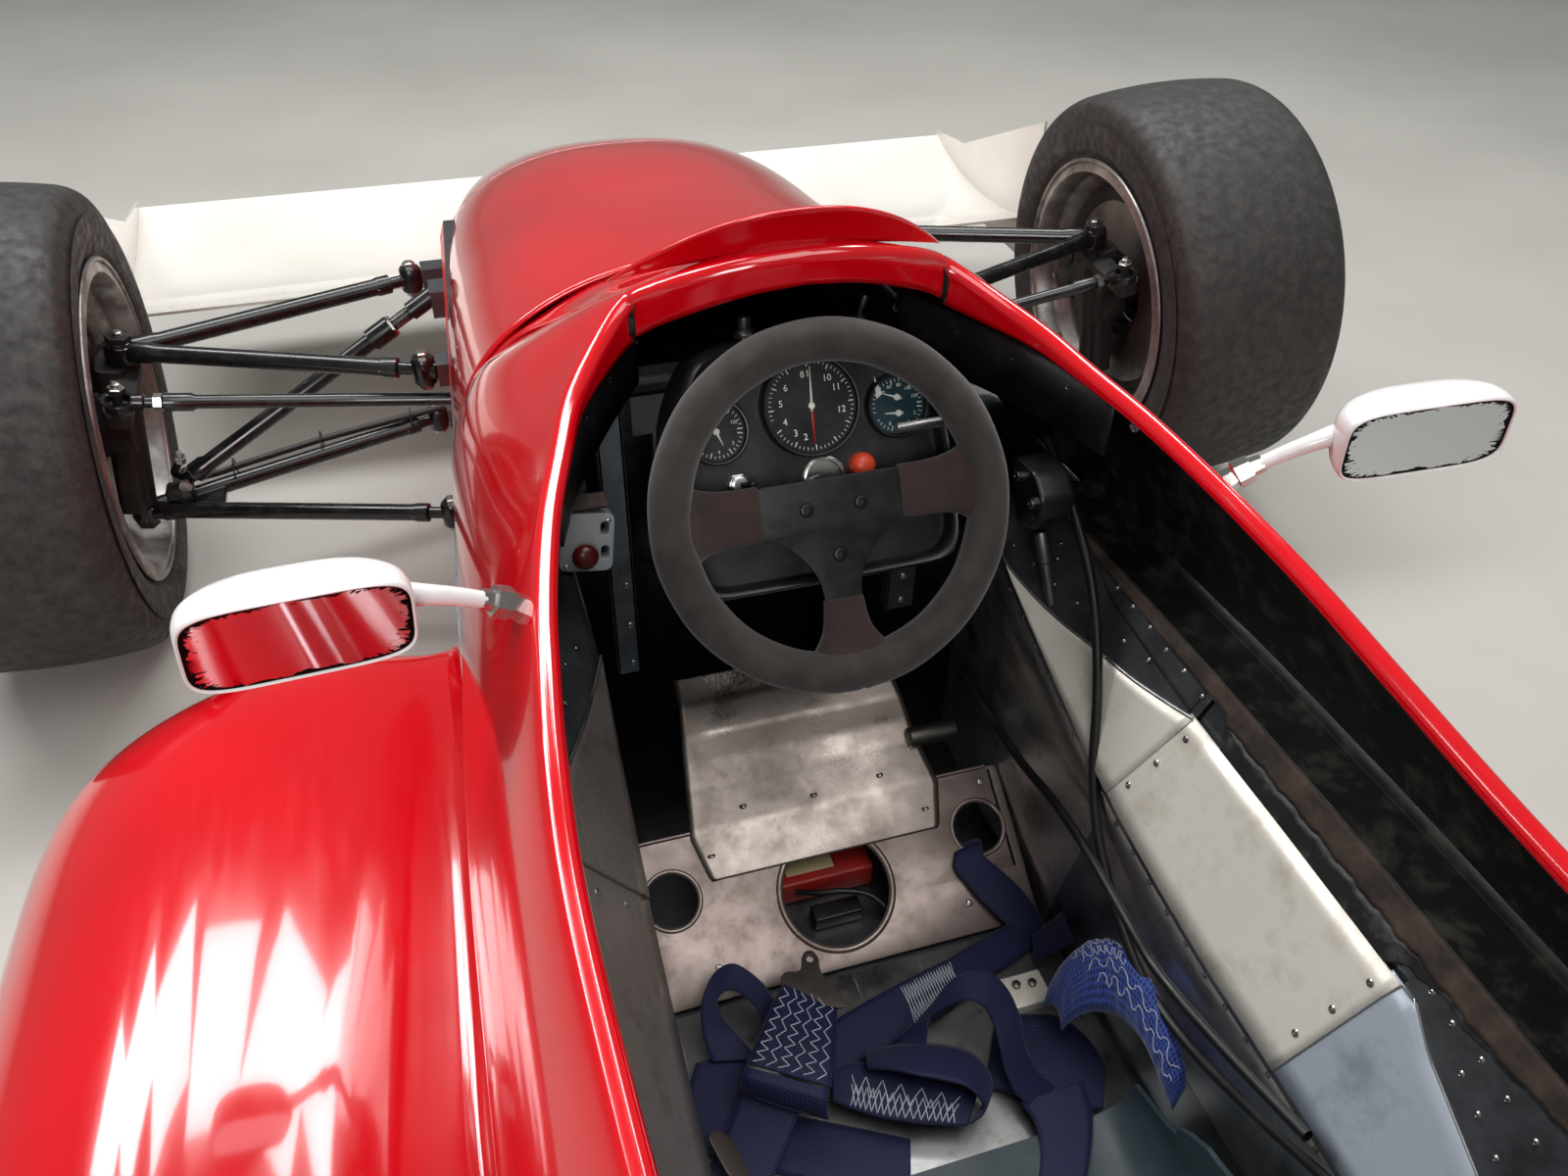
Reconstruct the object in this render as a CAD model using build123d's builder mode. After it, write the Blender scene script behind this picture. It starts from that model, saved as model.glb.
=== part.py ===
from build123d import *
import math
import os

# An open wheel racing car of the middle 1980s: a riveted aluminium tub with a composite nose and
# cockpit surround, pushrod front suspension, one large pod on the left and a slim one on the right.
# Millimetres. +Y is forward, +X is the driver's right, +Z is up and the ground is at Z 0.
# Columns called ahead are distances ahead of the front axle, so places behind it are negative.

# Length
wheelbase = 2560.0
nose_overhang = 800.0
tail_overhang = 750.0
front_axle_y = (wheelbase + tail_overhang - nose_overhang) / 2
rear_axle_y = front_axle_y - wheelbase

# Front wheels: half track, tyre, rim, camber with the tops inboard, and toe out
front_half_track = 712.0
front_tyre_radius = 262.0
front_tyre_width = 226.0
front_camber = 3.1
front_toe = 1.1

# Rear wheels
rear_half_track = 695.0
rear_tyre_radius = 279.0
rear_tyre_width = 262.0
rear_camber = 1.5

# Parts shared by the wheels
lip_radius = 182.0
bead_radius = 168.0
well_radius = 150.0
rim_wall = 6.0
tyre_wall = 13.0
crown_drop = 6.0
shoulder_radius = 26.0
hub_radius = 44.0
axle_radius = 20.0
running_clearance = 0.05
spoke_count = 8

# Kingpin, as (x, ahead, z) of the lower and upper ball joints on the right side
lower_ball = (625.0, 0.0, 140.0)
upper_ball = (587.0, -10.0, 350.0)
pin_radius = 8.0
eye_radius = 16.0
eye_height = 22.0
joint_gap = 1.0

# Suspension tubes
arm_radius = 10.0
pickup_half_width = 264.0

# Steering
arm_eye = (583.0, -100.0, 338.0)
rack_ahead = -120.0
rack_z = 296.0
rack_radius = 11.0
rack_half_length = 205.0
rod_radius = 9.0
rod_eye_gap = 7.0
rod_eye_height = 10.0
steer_centre = (0.0, -653.0, 477.0)
steer_tilt = 30.4
steer_radius = 137.0
grip_radius = 15.5
column_radius = 11.0
column_length = 300.0

# Body
seam_z = 385.0
seam_ahead = -360.0
front_bulkhead_ahead = 170.0
bulkhead_wall = 20.0
tub_end_ahead = -1600.0
seat_bulkhead_ahead = -1430.0
floor_top = 54.0
floor_level = 42.0
floor_thickness = 10.0
skin = 5.0
panel_gap = 2.0
bottom_corner = 22.0
fuel_bay_half = 200.0
fuel_bay_top = 530.0
pickup_block = 26.0

# Outer body sections: ahead, half width, bottom, side top, crown half width, shoulder height, top
nose_sections = [
    (nose_overhang, 62, 112, 148, 34, 180, 190),
    (735, 122, 88, 165, 70, 222, 236),
    (600, 172, 72, 220, 104, 290, 308),
    (400, 206, 60, 290, 132, 364, 386),
    (front_bulkhead_ahead, 236, 50, 345, 162, 436, 462),
    (seam_ahead, 260, 44, 375, 187, 500, 550),
]
surround_end_ahead = -1445.0
surround_sections = [
    (seam_ahead, 260, 44, 375, 187, 500, 550),
    (-455, 268, 43, 375, 178, 540, 596),
    (-548, 276, 42, 375, 150, 592, 640),
    (-700, 284, 42, 370, 206, 556, 610),
    (-950, 295, 42, 350, 238, 520, 575),
    (-1220, 300, 42, 350, 226, 530, 600),
    (surround_end_ahead, 296, 42, 355, 190, 565, 635),
]
cover_start_ahead = -1500.0
cover_end_ahead = -2620.0
cover_sections = [
    (cover_start_ahead, 292, 42, 358, 180, 580, 655),
    (-1850, 250, 42, 340, 150, 560, 640),
    (-2250, 190, 42, 320, 110, 470, 530),
    (cover_end_ahead, 152, 42, 345, 100, 445, 495),
]

# Cockpit opening in plan, right half: front middle, front corner, then back along the side
opening_front_middle = -566.0
opening_corner = (124.0, -530.0)
opening_side = [(187.0, -662.0), (223.0, -850.0), (231.0, -1000.0), (222.0, -1200.0)]
opening_back = (165.0, -1345.0)
opening_end = -1400.0
rim_height = 28.0

# Tub cavity: ahead, half width at the floor, height of the sill's inner edge, half width at the top
cavity_sections = [
    (-250, 212, 370, 225),
    (-520, 190, 368, 232),
    (-800, 184, 270, 242),
    (-950, 187, 250, 246),
    (seat_bulkhead_ahead, 187, 250, 246),
]
footwell_back_ahead = -250.0
footwell_half = 212.0
top_panel = 10.0

# Pods: ahead, outer half width, height where the corner starts, crown half width, crown height
left_pod_sections = [
    (-508, 400, 190, 340, 282),
    (-522, 470, 200, 370, 304),
    (-552, 536, 210, 395, 326),
    (-600, 582, 218, 415, 342),
    (-680, 608, 220, 430, 354),
    (-900, 620, 220, 440, 362),
    (-1500, 620, 210, 440, 350),
    (-1900, 560, 170, 400, 300),
]
right_pod_sections = [
    (-612, 370, 180, 330, 262),
    (-640, 415, 185, 340, 282),
    (-700, 446, 190, 350, 298),
    (-900, 462, 195, 360, 306),
    (-1500, 462, 190, 360, 300),
    (-1900, 430, 160, 340, 270),
]
pod_fall = 12.0

# Front wing
wing_half_span = 668.0
wing_lead = (684.0, 236.0)
wing_lower = (480.0, 196.0)
wing_tail = (296.0, 246.0)
wing_thickness = 16.0
plate_wall = 4.0

# Rear wing
rear_wing_half_span = 500.0
rear_wing_lead_ahead = -wheelbase - 420.0
rear_wing_z = 800.0
rear_wing_chord = 240.0
flap_chord = 110.0

fillet_small = 3.0


def ahead(distance):
    """Place along the car of a distance ahead of the front axle."""
    return front_axle_y + distance


def point(place):
    """Turn (x, ahead, z) into a point of the car."""
    return Vector(place[0], ahead(place[1]), place[2])


def body_section(row, inset=0.0):
    """Closed section of the body, from a row of the section tables, drawn in by inset."""
    place, half, low, side, crown_half, shoulder, top = row
    half, low, top = half - inset, low + inset, top - inset
    shoulder, crown_half = shoulder - inset * 0.9, crown_half - inset * 0.5
    corner = min(bottom_corner, half * 0.4)
    with BuildSketch(Plane.XZ.offset(-ahead(place))) as section:
        with BuildLine():
            Line((0, low), (half - corner, low))
            TangentArc((half - corner, low), (half, low + corner), tangent=(1, 0))
            Line((half, low + corner), (half, side))
            TangentArc((half, side), (crown_half, shoulder), tangent=(0, 1))
            TangentArc((0, top), (crown_half, shoulder), tangent=(1, 0))
            mirror(about=Plane.YZ)
        make_face()
    return section.sketch


def half_at(row, z):
    """Half width of a body section at a height on its shoulder arc."""
    across, rise = row[1] - row[4], row[5] - row[3]
    arc = (across ** 2 + rise ** 2) / (2 * across)
    return row[1] - arc + math.sqrt(arc ** 2 - max(z - row[3], 0.0) ** 2)


def body_loft(rows, inset=0.0):
    """Solid through the sections of one table."""
    with BuildPart() as solid:
        for row in rows:
            add(body_section(row, inset).face())
        loft()
    return solid.part


def wheel_axis(side, camber, toe):
    """Outward direction of a wheel's axle, for side +1 (right) or -1 (left)."""
    c, t = math.radians(camber), math.radians(toe)
    return Vector(side * math.cos(c) * math.cos(t), -math.cos(c) * math.sin(t), math.sin(c))


def crown_radius(width):
    """Radius of the tread's crown, which drops by crown_drop at the shoulders."""
    reach = width / 2 - shoulder_radius
    return (reach ** 2 + crown_drop ** 2) / (2 * crown_drop)


def wheel_centre(half_track, axle_y, radius, width, camber):
    """Centre of the right wheel when the tread's lowest point is on the ground."""
    crown = crown_radius(width)
    height = (radius - crown) * math.cos(math.radians(camber)) + crown
    return Vector(half_track, axle_y, height)


front_axis = wheel_axis(1, front_camber, front_toe)
rear_axis = wheel_axis(1, rear_camber, 0.0)
front_centre = wheel_centre(front_half_track, front_axle_y, front_tyre_radius, front_tyre_width,
                            front_camber)
rear_centre = wheel_centre(rear_half_track, rear_axle_y, rear_tyre_radius, rear_tyre_width, rear_camber)


def axle_plane(centre, axis):
    """Plane through the axle: its X runs outward along the axle and its Y is radial."""
    across = axis.cross(Vector(0, 0, 1)).normalized()
    return Plane(origin=centre, x_dir=axis, z_dir=across)


def along(centre, axis, distance):
    """Plane across the axle, at a distance outward from the wheel's centre."""
    return Plane(origin=centre + axis * distance, x_dir=(0, 1, 0), z_dir=axis)


def tube(start, end, radius):
    """Round bar between two points, added to the part being built."""
    start, end = Vector(*start), Vector(*end)
    run = end - start
    with BuildSketch(Plane(origin=start, z_dir=run.normalized())) as round_end:
        Circle(radius)
    extrude(round_end.sketch, amount=run.length)


def ball(centre, radius):
    """Sphere at a point, added to the part being built."""
    with Locations(Location(Vector(*centre))):
        Sphere(radius)


def block(low, high, mode=Mode.ADD):
    """Rectangular block between its lowest and highest corners."""
    with BuildSketch(Plane.XY.offset(low[2])) as base:
        with Locations(((low[0] + high[0]) / 2, (low[1] + high[1]) / 2)):
            Rectangle(high[0] - low[0], high[1] - low[1])
    extrude(base.sketch, amount=high[2] - low[2], mode=mode)


def finish(part, label):
    """Label a finished piece and write it."""
    part.label = label
    export_step(part, "parts/" + label + ".step")


def mirrored(part):
    """The same piece on the left side."""
    with BuildPart() as other:
        mirror(part, about=Plane.YZ)
    return other.part


os.makedirs("parts", exist_ok=True)

nose_outer = body_loft(nose_sections)
nose_inner = body_loft(nose_sections[1:], skin)
surround_outer = body_loft(surround_sections)
surround_inner = body_loft(surround_sections, skin)
far = 3000.0

# Rims, with hub, spokes and brake disc in one piece
def rim(centre, axis, half_width, disc_radius):
    """Rim of the right wheel: barrel, lips, spoked face, hub with its bore and the brake disc."""
    plane = axle_plane(centre, axis)
    spin = Axis(centre, axis)
    face_in, face_out = 30.0, 48.0
    inner_well = well_radius - rim_wall
    with BuildPart() as part:
        with BuildSketch(plane):
            with BuildLine():
                Polyline(
                    (-half_width, lip_radius), (-half_width, bead_radius - rim_wall),
                    (-half_width + 28, bead_radius - rim_wall), (-half_width + 44, inner_well),
                    (half_width - 44, inner_well), (half_width - 28, bead_radius - rim_wall),
                    (half_width, bead_radius - rim_wall), (half_width, lip_radius),
                    (half_width - rim_wall, lip_radius), (half_width - rim_wall, bead_radius),
                    (half_width - 32, bead_radius), (half_width - 48, well_radius),
                    (-half_width + 48, well_radius), (-half_width + 32, bead_radius),
                    (-half_width + rim_wall, bead_radius), (-half_width + rim_wall, lip_radius),
                    close=True)
            make_face()
            with BuildLine():
                Polyline((-66, axle_radius + running_clearance), (-66, disc_radius),
                         (-54, disc_radius), (-54, hub_radius + 10), (-40, hub_radius),
                         (face_in, hub_radius), (face_in, inner_well), (face_out - 8, inner_well),
                         (face_out + 10, hub_radius), (62, hub_radius - 12),
                         (62, axle_radius + running_clearance), close=True)
            make_face()
        revolve(axis=spin)
        window = (inner_well - hub_radius) / 2 - 12
        with BuildSketch(along(centre, axis, face_in - 5)):
            with PolarLocations((inner_well + hub_radius) / 2, spoke_count):
                Ellipse(window, window * 0.62)
        extrude(amount=face_out - face_in + 20, mode=Mode.SUBTRACT)
    return part.part


def tyre(centre, axis, radius, width, half_rim):
    """Slick of the right wheel: open C section from bead to bead, with a crowned tread."""
    plane = axle_plane(centre, axis)
    half = width / 2
    shoulder = radius - crown_drop
    bead = half_rim - rim_wall
    with BuildPart() as part:
        with BuildSketch(plane):
            with BuildLine():
                Line((bead, bead_radius), (bead, lip_radius))
                ThreePointArc((bead, lip_radius), (half, (lip_radius + shoulder) / 2),
                              (half - 4, shoulder - shoulder_radius))
                ThreePointArc((half - 4, shoulder - shoulder_radius),
                              (half - 10, shoulder - 9), (half - shoulder_radius, shoulder))
                Line((bead, bead_radius), (bead - tyre_wall, bead_radius))
                Line((bead - tyre_wall, bead_radius), (bead - tyre_wall, lip_radius + 8))
                Line((bead - tyre_wall, lip_radius + 8),
                     (half - tyre_wall - 8, shoulder - shoulder_radius))
                Line((half - tyre_wall - 8, shoulder - shoulder_radius),
                     (half - shoulder_radius - 8, shoulder - tyre_wall))
                ThreePointArc((half - shoulder_radius, shoulder), (0, radius),
                              (-half + shoulder_radius, shoulder))
                Line((half - shoulder_radius - 8, shoulder - tyre_wall),
                     (-half + shoulder_radius + 8, shoulder - tyre_wall))
                Line((-bead, bead_radius), (-bead, lip_radius))
                ThreePointArc((-bead, lip_radius), (-half, (lip_radius + shoulder) / 2),
                              (-half + 4, shoulder - shoulder_radius))
                ThreePointArc((-half + 4, shoulder - shoulder_radius),
                              (-half + 10, shoulder - 9), (-half + shoulder_radius, shoulder))
                Line((-bead, bead_radius), (-bead + tyre_wall, bead_radius))
                Line((-bead + tyre_wall, bead_radius), (-bead + tyre_wall, lip_radius + 8))
                Line((-bead + tyre_wall, lip_radius + 8),
                     (-half + tyre_wall + 8, shoulder - shoulder_radius))
                Line((-half + tyre_wall + 8, shoulder - shoulder_radius),
                     (-half + shoulder_radius + 8, shoulder - tyre_wall))
            make_face()
        revolve(axis=Axis(centre, axis))
    return part.part


front_rim_half = 110.0
rear_rim_half = 128.0
for name, centre, axis, radius, width, half_rim, disc in (
        ("front", front_centre, front_axis, front_tyre_radius, front_tyre_width, front_rim_half, 122.0),
        ("rear", rear_centre, rear_axis, rear_tyre_radius, rear_tyre_width, rear_rim_half, 122.0)):
    right_rim = rim(centre, axis, half_rim, disc)
    right_tyre = tyre(centre, axis, radius, width, half_rim)
    finish(right_rim, name + "_rim_right")
    finish(mirrored(right_rim), name + "_rim_left")
    finish(right_tyre, name + "_tyre_right")
    finish(mirrored(right_tyre), name + "_tyre_left")

# Front uprights, with stub axle, kingpin ends, steering arm and brake caliper
lower_point, upper_point = point(lower_ball), point(upper_ball)
king_direction = (upper_point - lower_point).normalized()
king_length = (upper_point - lower_point).length
king_plane = Plane(origin=lower_point, x_dir=(1, 0, king_direction.X / -king_direction.Z),
                   z_dir=king_direction)
arm_plane = Plane(origin=point(arm_eye) - king_direction * (rod_eye_height / 2 + rod_eye_gap),
                  x_dir=king_plane.x_dir, z_dir=king_direction)
with BuildPart() as front_upright_right:
    with BuildSketch(king_plane.offset(eye_height / 2 + joint_gap)):
        with Locations((10, 0)):
            RectangleRounded(28, 50, 8)
        Circle(13)
    extrude(amount=king_length - eye_height - 2 * joint_gap)
    with BuildSketch(king_plane.offset(-eye_height / 2 - joint_gap)):
        Circle(pin_radius)
    extrude(amount=king_length + eye_height + 2 * joint_gap)
    for level in (-eye_height / 2 - joint_gap - 8, king_length + eye_height / 2 + joint_gap):
        with BuildSketch(king_plane.offset(level)):
            RegularPolygon(13, 6)
        extrude(amount=8)
    with BuildSketch(along(front_centre, front_axis, -110)):
        Circle(36)
    extrude(amount=38)
    with BuildSketch(along(front_centre, front_axis, -90)):
        Circle(axle_radius)
    extrude(amount=90 + 64)
    with BuildSketch(along(front_centre, front_axis, 64)):
        RegularPolygon(24, 6)
    extrude(amount=16)
    with BuildSketch(arm_plane.offset(-12)):
        with Locations((2, 48)):
            RectangleRounded(26, 122, 8)
    extrude(amount=12)
    with BuildSketch(arm_plane):
        Circle(5)
    extrude(amount=rod_eye_height + 2 * rod_eye_gap + 6)
    with BuildSketch(arm_plane.offset(rod_eye_height + 2 * rod_eye_gap)):
        RegularPolygon(9, 6)
    extrude(amount=6)
    with BuildSketch(along(front_centre, front_axis, -92)):
        with Locations((96, 0)):
            RectangleRounded(52, 84, 10)
    extrude(amount=20)
    with BuildSketch(along(front_centre, front_axis, -92)):
        with Locations((55, 0)):
            Rectangle(60, 40)
    extrude(amount=16)
finish(front_upright_right.part, "front_upright_right")
finish(mirrored(front_upright_right.part), "front_upright_left")

# Front wishbones. Legs: which ball joint, then the pick-up on the tub as ahead and height
front_legs = [
    (upper_ball, 118, 340), (upper_ball, -118, 338),
    (lower_ball, 122, 140), (lower_ball, -122, 150),
]
pushrod_outer = (582.0, 2.0, 158.0)
pushrod_inner = (pickup_half_width - 24, 30.0, 358.0)
pushrod_seat_z = 164.0
with BuildPart() as wishbones_right:
    for joint, pickup_ahead, pickup_z in front_legs:
        hub = point(joint)
        pickup = point((pickup_half_width, pickup_ahead, pickup_z))
        inner = pickup + (pickup - hub).normalized() * 15
        tube(hub + (inner - hub).normalized() * 9, inner, arm_radius)
    for joint in (lower_ball, upper_ball):
        with BuildSketch(Plane(origin=point(joint) - king_direction * eye_height / 2,
                               z_dir=king_direction)):
            Circle(eye_radius)
        extrude(amount=eye_height)
    block((535, ahead(-26), lower_ball[2] - 5), (606, ahead(26), lower_ball[2] + 5))
    block((566, ahead(-12), lower_ball[2]), (598, ahead(14), pushrod_seat_z))
    with BuildSketch(king_plane.offset(-40)):
        Circle(pin_radius + running_clearance)
    extrude(amount=king_length + 80, mode=Mode.SUBTRACT)
    with BuildSketch(king_plane.offset(eye_height / 2)):
        Circle(24)
    extrude(amount=king_length - eye_height, mode=Mode.SUBTRACT)
    block((0, ahead(-200), 0), (pickup_half_width, ahead(200), 500), mode=Mode.SUBTRACT)
with BuildPart() as front_wishbones:
    add(wishbones_right.part)
    mirror(wishbones_right.part, about=Plane.YZ)
finish(front_wishbones.part, "front_wishbones")

# Pushrods, cut flat where they seat on the lower wishbone
with BuildPart() as pushrod_right:
    rod_start, rod_end = point(pushrod_outer), point(pushrod_inner)
    rod_run = (rod_end - rod_start).normalized()
    tube(rod_start - rod_run * 20, rod_end, arm_radius)
    tube(rod_end - rod_run * 95, rod_end - rod_run * 60, arm_radius + 4)
    tube(rod_start - rod_run * 20, rod_start + rod_run * 30, arm_radius + 3)
    block((400, ahead(-80), 0), (700, ahead(80), pushrod_seat_z), mode=Mode.SUBTRACT)
    block((0, ahead(-80), 200), (pickup_half_width - 6, ahead(120), 500), mode=Mode.SUBTRACT)
with BuildPart() as front_pushrods:
    add(pushrod_right.part)
    mirror(pushrod_right.part, about=Plane.YZ)
finish(front_pushrods.part, "front_pushrods")

# Rack bar and both track rods, which slide together
with BuildPart() as steering_rack:
    rack_y = ahead(rack_ahead)
    tube((-rack_half_length, rack_y, rack_z), (rack_half_length, rack_y, rack_z), rack_radius)
    for side in (1, -1):
        eye = point((side * arm_eye[0], arm_eye[1], arm_eye[2]))
        end = Vector(side * (rack_half_length + 6), rack_y, rack_z)
        run = (eye - end).normalized()
        tube((side * (rack_half_length - 12), rack_y, rack_z),
             (side * (rack_half_length + 14), rack_y, rack_z), 15)
        tube(end, eye - run * 16, rod_radius)
        tube(eye - run * 70, eye - run * 14, rod_radius + 2)
        lean = Vector(side * king_direction.X, king_direction.Y, king_direction.Z)
        with BuildSketch(Plane(origin=eye - lean * rod_eye_height / 2, z_dir=lean)):
            Circle(18)
        extrude(amount=rod_eye_height)
        with BuildSketch(Plane(origin=eye - lean * rod_eye_height / 2, z_dir=lean)):
            Circle(11.5)
        extrude(amount=rod_eye_height, mode=Mode.SUBTRACT)
finish(steering_rack.part, "steering_rack")

# Steering wheel and column
tilt = math.radians(steer_tilt)
to_driver = Vector(0, -math.cos(tilt), math.sin(tilt))
wheel_plane = Plane(origin=point(steer_centre), x_dir=(1, 0, 0), z_dir=to_driver)
hub_depth = 8.0
spoke_thickness = 4.0
wrap_depth, wrap_thickness = 11.0, 10.0
spoke_plate = [(-58, 23), (58, 23), (60, -15), (42, -19), (28, -34), (16, -50), (14, -74), (-14, -74),
               (-16, -50), (-28, -34), (-42, -19), (-60, -15)]
side_wrap = [(56, 24), (78, 24), (112, 32), (112, -22), (78, -16), (56, -15)]
lower_wrap = [(-15, -70), (15, -70), (26, -112), (-26, -112)]
with BuildPart() as steering_wheel:
    with BuildSketch(Plane(origin=point(steer_centre), x_dir=(1, 0, 0),
                           z_dir=Vector(0, -math.sin(tilt), -math.cos(tilt)))):
        with Locations((steer_radius - grip_radius, 0)):
            Circle(grip_radius)
    revolve(axis=Axis(point(steer_centre), to_driver))
    with BuildSketch(wheel_plane.offset(-hub_depth)):
        with BuildLine():
            Polyline(spoke_plate, close=True)
        make_face()
    extrude(amount=spoke_thickness)
    for outline in (side_wrap, [(-u, v) for u, v in side_wrap], lower_wrap):
        with BuildSketch(wheel_plane.offset(-wrap_depth)):
            with BuildLine():
                Polyline(outline, close=True)
            make_face()
        extrude(amount=wrap_thickness)
finish(steering_wheel.part, "steering_wheel")

with BuildPart() as steering_column:
    with BuildSketch(wheel_plane.offset(-hub_depth)):
        Circle(24)
    extrude(amount=-14)
    with BuildSketch(wheel_plane.offset(-hub_depth - 10)):
        Circle(column_radius)
    extrude(amount=-column_length)
finish(steering_column.part, "steering_column")

# Tub
with BuildPart() as cavity:
    for place, half, sill, edge in cavity_sections:
        with BuildSketch(Plane.XZ.offset(-ahead(place))):
            with BuildLine():
                Polyline((-half, floor_top), (half, floor_top), (half, sill), (edge, seam_z + 1),
                         (-edge, seam_z + 1), (-half, sill), close=True)
            make_face()
    loft(ruled=True)
tub_rows = [nose_sections[-2]] + [surround_sections[i] for i in (0, 2, 4, 6)]
with BuildPart() as tub:
    for row in tub_rows:
        half, low, top_half = row[1], row[2], half_at(row, seam_z)
        with BuildSketch(Plane.XZ.offset(-ahead(row[0]))):
            with BuildLine():
                Polyline((0, low), (half - bottom_corner, low), (half, low + bottom_corner),
                         (half, row[3]), (half_at(row, (row[3] + seam_z) / 2), (row[3] + seam_z) / 2),
                         (top_half, seam_z), (0, seam_z))
                mirror(about=Plane.YZ)
            make_face()
    loft(ruled=True)
    block((-fuel_bay_half, ahead(tub_end_ahead), floor_level),
          (fuel_bay_half, ahead(surround_end_ahead) + panel_gap, seam_z))
    block((-fuel_bay_half, ahead(tub_end_ahead), seam_z),
          (fuel_bay_half, ahead(surround_end_ahead) - panel_gap, fuel_bay_top))
    add(cavity.part, mode=Mode.SUBTRACT)
    block((-footwell_half, ahead(footwell_back_ahead), floor_top),
          (footwell_half, ahead(front_bulkhead_ahead) - bulkhead_wall, seam_z - top_panel),
          mode=Mode.SUBTRACT)
    for side in (1, -1):
        for joint, pickup_ahead, pickup_z in front_legs:
            low = pickup_half_width - 32
            x = sorted((side * low, side * pickup_half_width))
            half = pickup_block / 2
            block((x[0], ahead(pickup_ahead) - half, pickup_z - half),
                  (x[1], ahead(pickup_ahead) + half, pickup_z + half))
        x = sorted((side * (pickup_half_width - 40), side * (pickup_half_width - 6)))
        block((x[0], ahead(8), 336), (x[1], ahead(44), 368))
    for side in (1, -1):
        with BuildSketch(Plane.YZ.offset(side * (footwell_half - 20))):
            with Locations((ahead(rack_ahead) + 1, rack_z + 4)):
                Circle(22)
        extrude(amount=side * 80, mode=Mode.SUBTRACT)
    for x in (-120, 120):
        block((x - 12, ahead(rack_ahead) - 20, rack_z), (x + 12, ahead(rack_ahead) + 20, seam_z - top_panel))
    with BuildSketch(Plane.YZ.offset(-150)):
        with Locations((ahead(rack_ahead), rack_z)):
            Circle(rack_radius + 9)
    extrude(amount=300)
    with BuildSketch(Plane.YZ.offset(-160)):
        with Locations((ahead(rack_ahead), rack_z)):
            Circle(rack_radius + running_clearance)
    extrude(amount=320, mode=Mode.SUBTRACT)
finish(tub.part, "tub")

# Wing section, from the leading edge along the hollow upper side to the tail
def wing_face(lead, middle, tail, thickness, grow=0.0):
    """Curved plate section on the YZ plane, with points given as (ahead, z)."""
    top = [(lead[0] + grow, lead[1] + thickness / 2 + grow),
           (middle[0], middle[1] + thickness + grow), (tail[0] - grow, tail[1] + 2 + grow)]
    low = [(lead[0] + grow, lead[1] - thickness / 2 - grow),
           (middle[0], middle[1] - grow), (tail[0] - grow, tail[1] - 2 - grow)]
    place = [(front_axle_y + a, z) for a, z in top]
    under = [(front_axle_y + a, z) for a, z in low]
    with BuildLine() as outline:
        ThreePointArc(*place)
        ThreePointArc(*under)
        Line(place[2], under[2])
        ThreePointArc(place[0], (place[0][0] + thickness / 2, lead[1]), under[0])
    make_face(outline.line)


with BuildPart() as front_wing:
    with BuildSketch(Plane.YZ.offset(-wing_half_span)):
        wing_face(wing_lead, wing_lower, wing_tail, wing_thickness)
    extrude(amount=2 * wing_half_span)
finish(front_wing.part, "front_wing")

plate_points = [(692, 222), (692, 250), (574, 266), (306, 390), (306, 168), (640, 168)]
with BuildPart() as front_end_plates:
    for side in (1, -1):
        with BuildSketch(Plane.YZ.offset(side * wing_half_span)):
            with BuildLine():
                Polyline([(ahead(a), z) for a, z in plate_points], close=True)
            make_face()
        extrude(amount=side * plate_wall)
finish(front_end_plates.part, "front_end_plates")

# Nose cone: closed ahead of the bulkhead, a hood behind it, slotted for the wing
with BuildPart() as nose_cone:
    add(nose_outer)
    add(nose_inner, mode=Mode.SUBTRACT)
    block((-far, ahead(-far), -far), (far, ahead(front_bulkhead_ahead) + panel_gap, seam_z + panel_gap),
          mode=Mode.SUBTRACT)
    block((-far, ahead(-far), -far), (far, ahead(seam_ahead) + panel_gap, far), mode=Mode.SUBTRACT)
    with BuildSketch(Plane.YZ.offset(-400)):
        wing_face(wing_lead, wing_lower, wing_tail, wing_thickness, grow=1.0)
    extrude(amount=800, mode=Mode.SUBTRACT)
finish(nose_cone.part, "nose_cone")

# Cockpit surround, with the rolled rim round the opening
with BuildPart() as opening:
    with BuildSketch(Plane.XY.offset(seam_z - 20)):
        with BuildLine():
            ThreePointArc((-opening_corner[0], ahead(opening_corner[1])), (0, ahead(opening_front_middle)),
                          (opening_corner[0], ahead(opening_corner[1])))
            for side in (1, -1):
                path = [(side * opening_corner[0], ahead(opening_corner[1]))]
                path += [(side * x, ahead(a)) for x, a in opening_side]
                back = (side * opening_back[0], ahead(opening_back[1]))
                ThreePointArc(path[0], path[1], path[2])
                ThreePointArc(path[2], path[3], path[4])
                ThreePointArc(path[4], back, (side * opening_back[0] * 0.6, ahead(opening_end)))
            Line((-opening_back[0] * 0.6, ahead(opening_end)), (opening_back[0] * 0.6, ahead(opening_end)))
        make_face()
    extrude(amount=400)
with BuildPart() as rim_band:
    add(opening.part)
    offset(amount=8.0, kind=Kind.INTERSECTION)
    add(opening.part, mode=Mode.SUBTRACT)
with BuildPart() as under_rim:
    add(surround_outer.moved(Location((0, 0, -rim_height))))
with BuildPart() as rolled_rim:
    add(surround_outer)
    add(rim_band.part, mode=Mode.INTERSECT)
    add(under_rim.part, mode=Mode.SUBTRACT)
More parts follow.
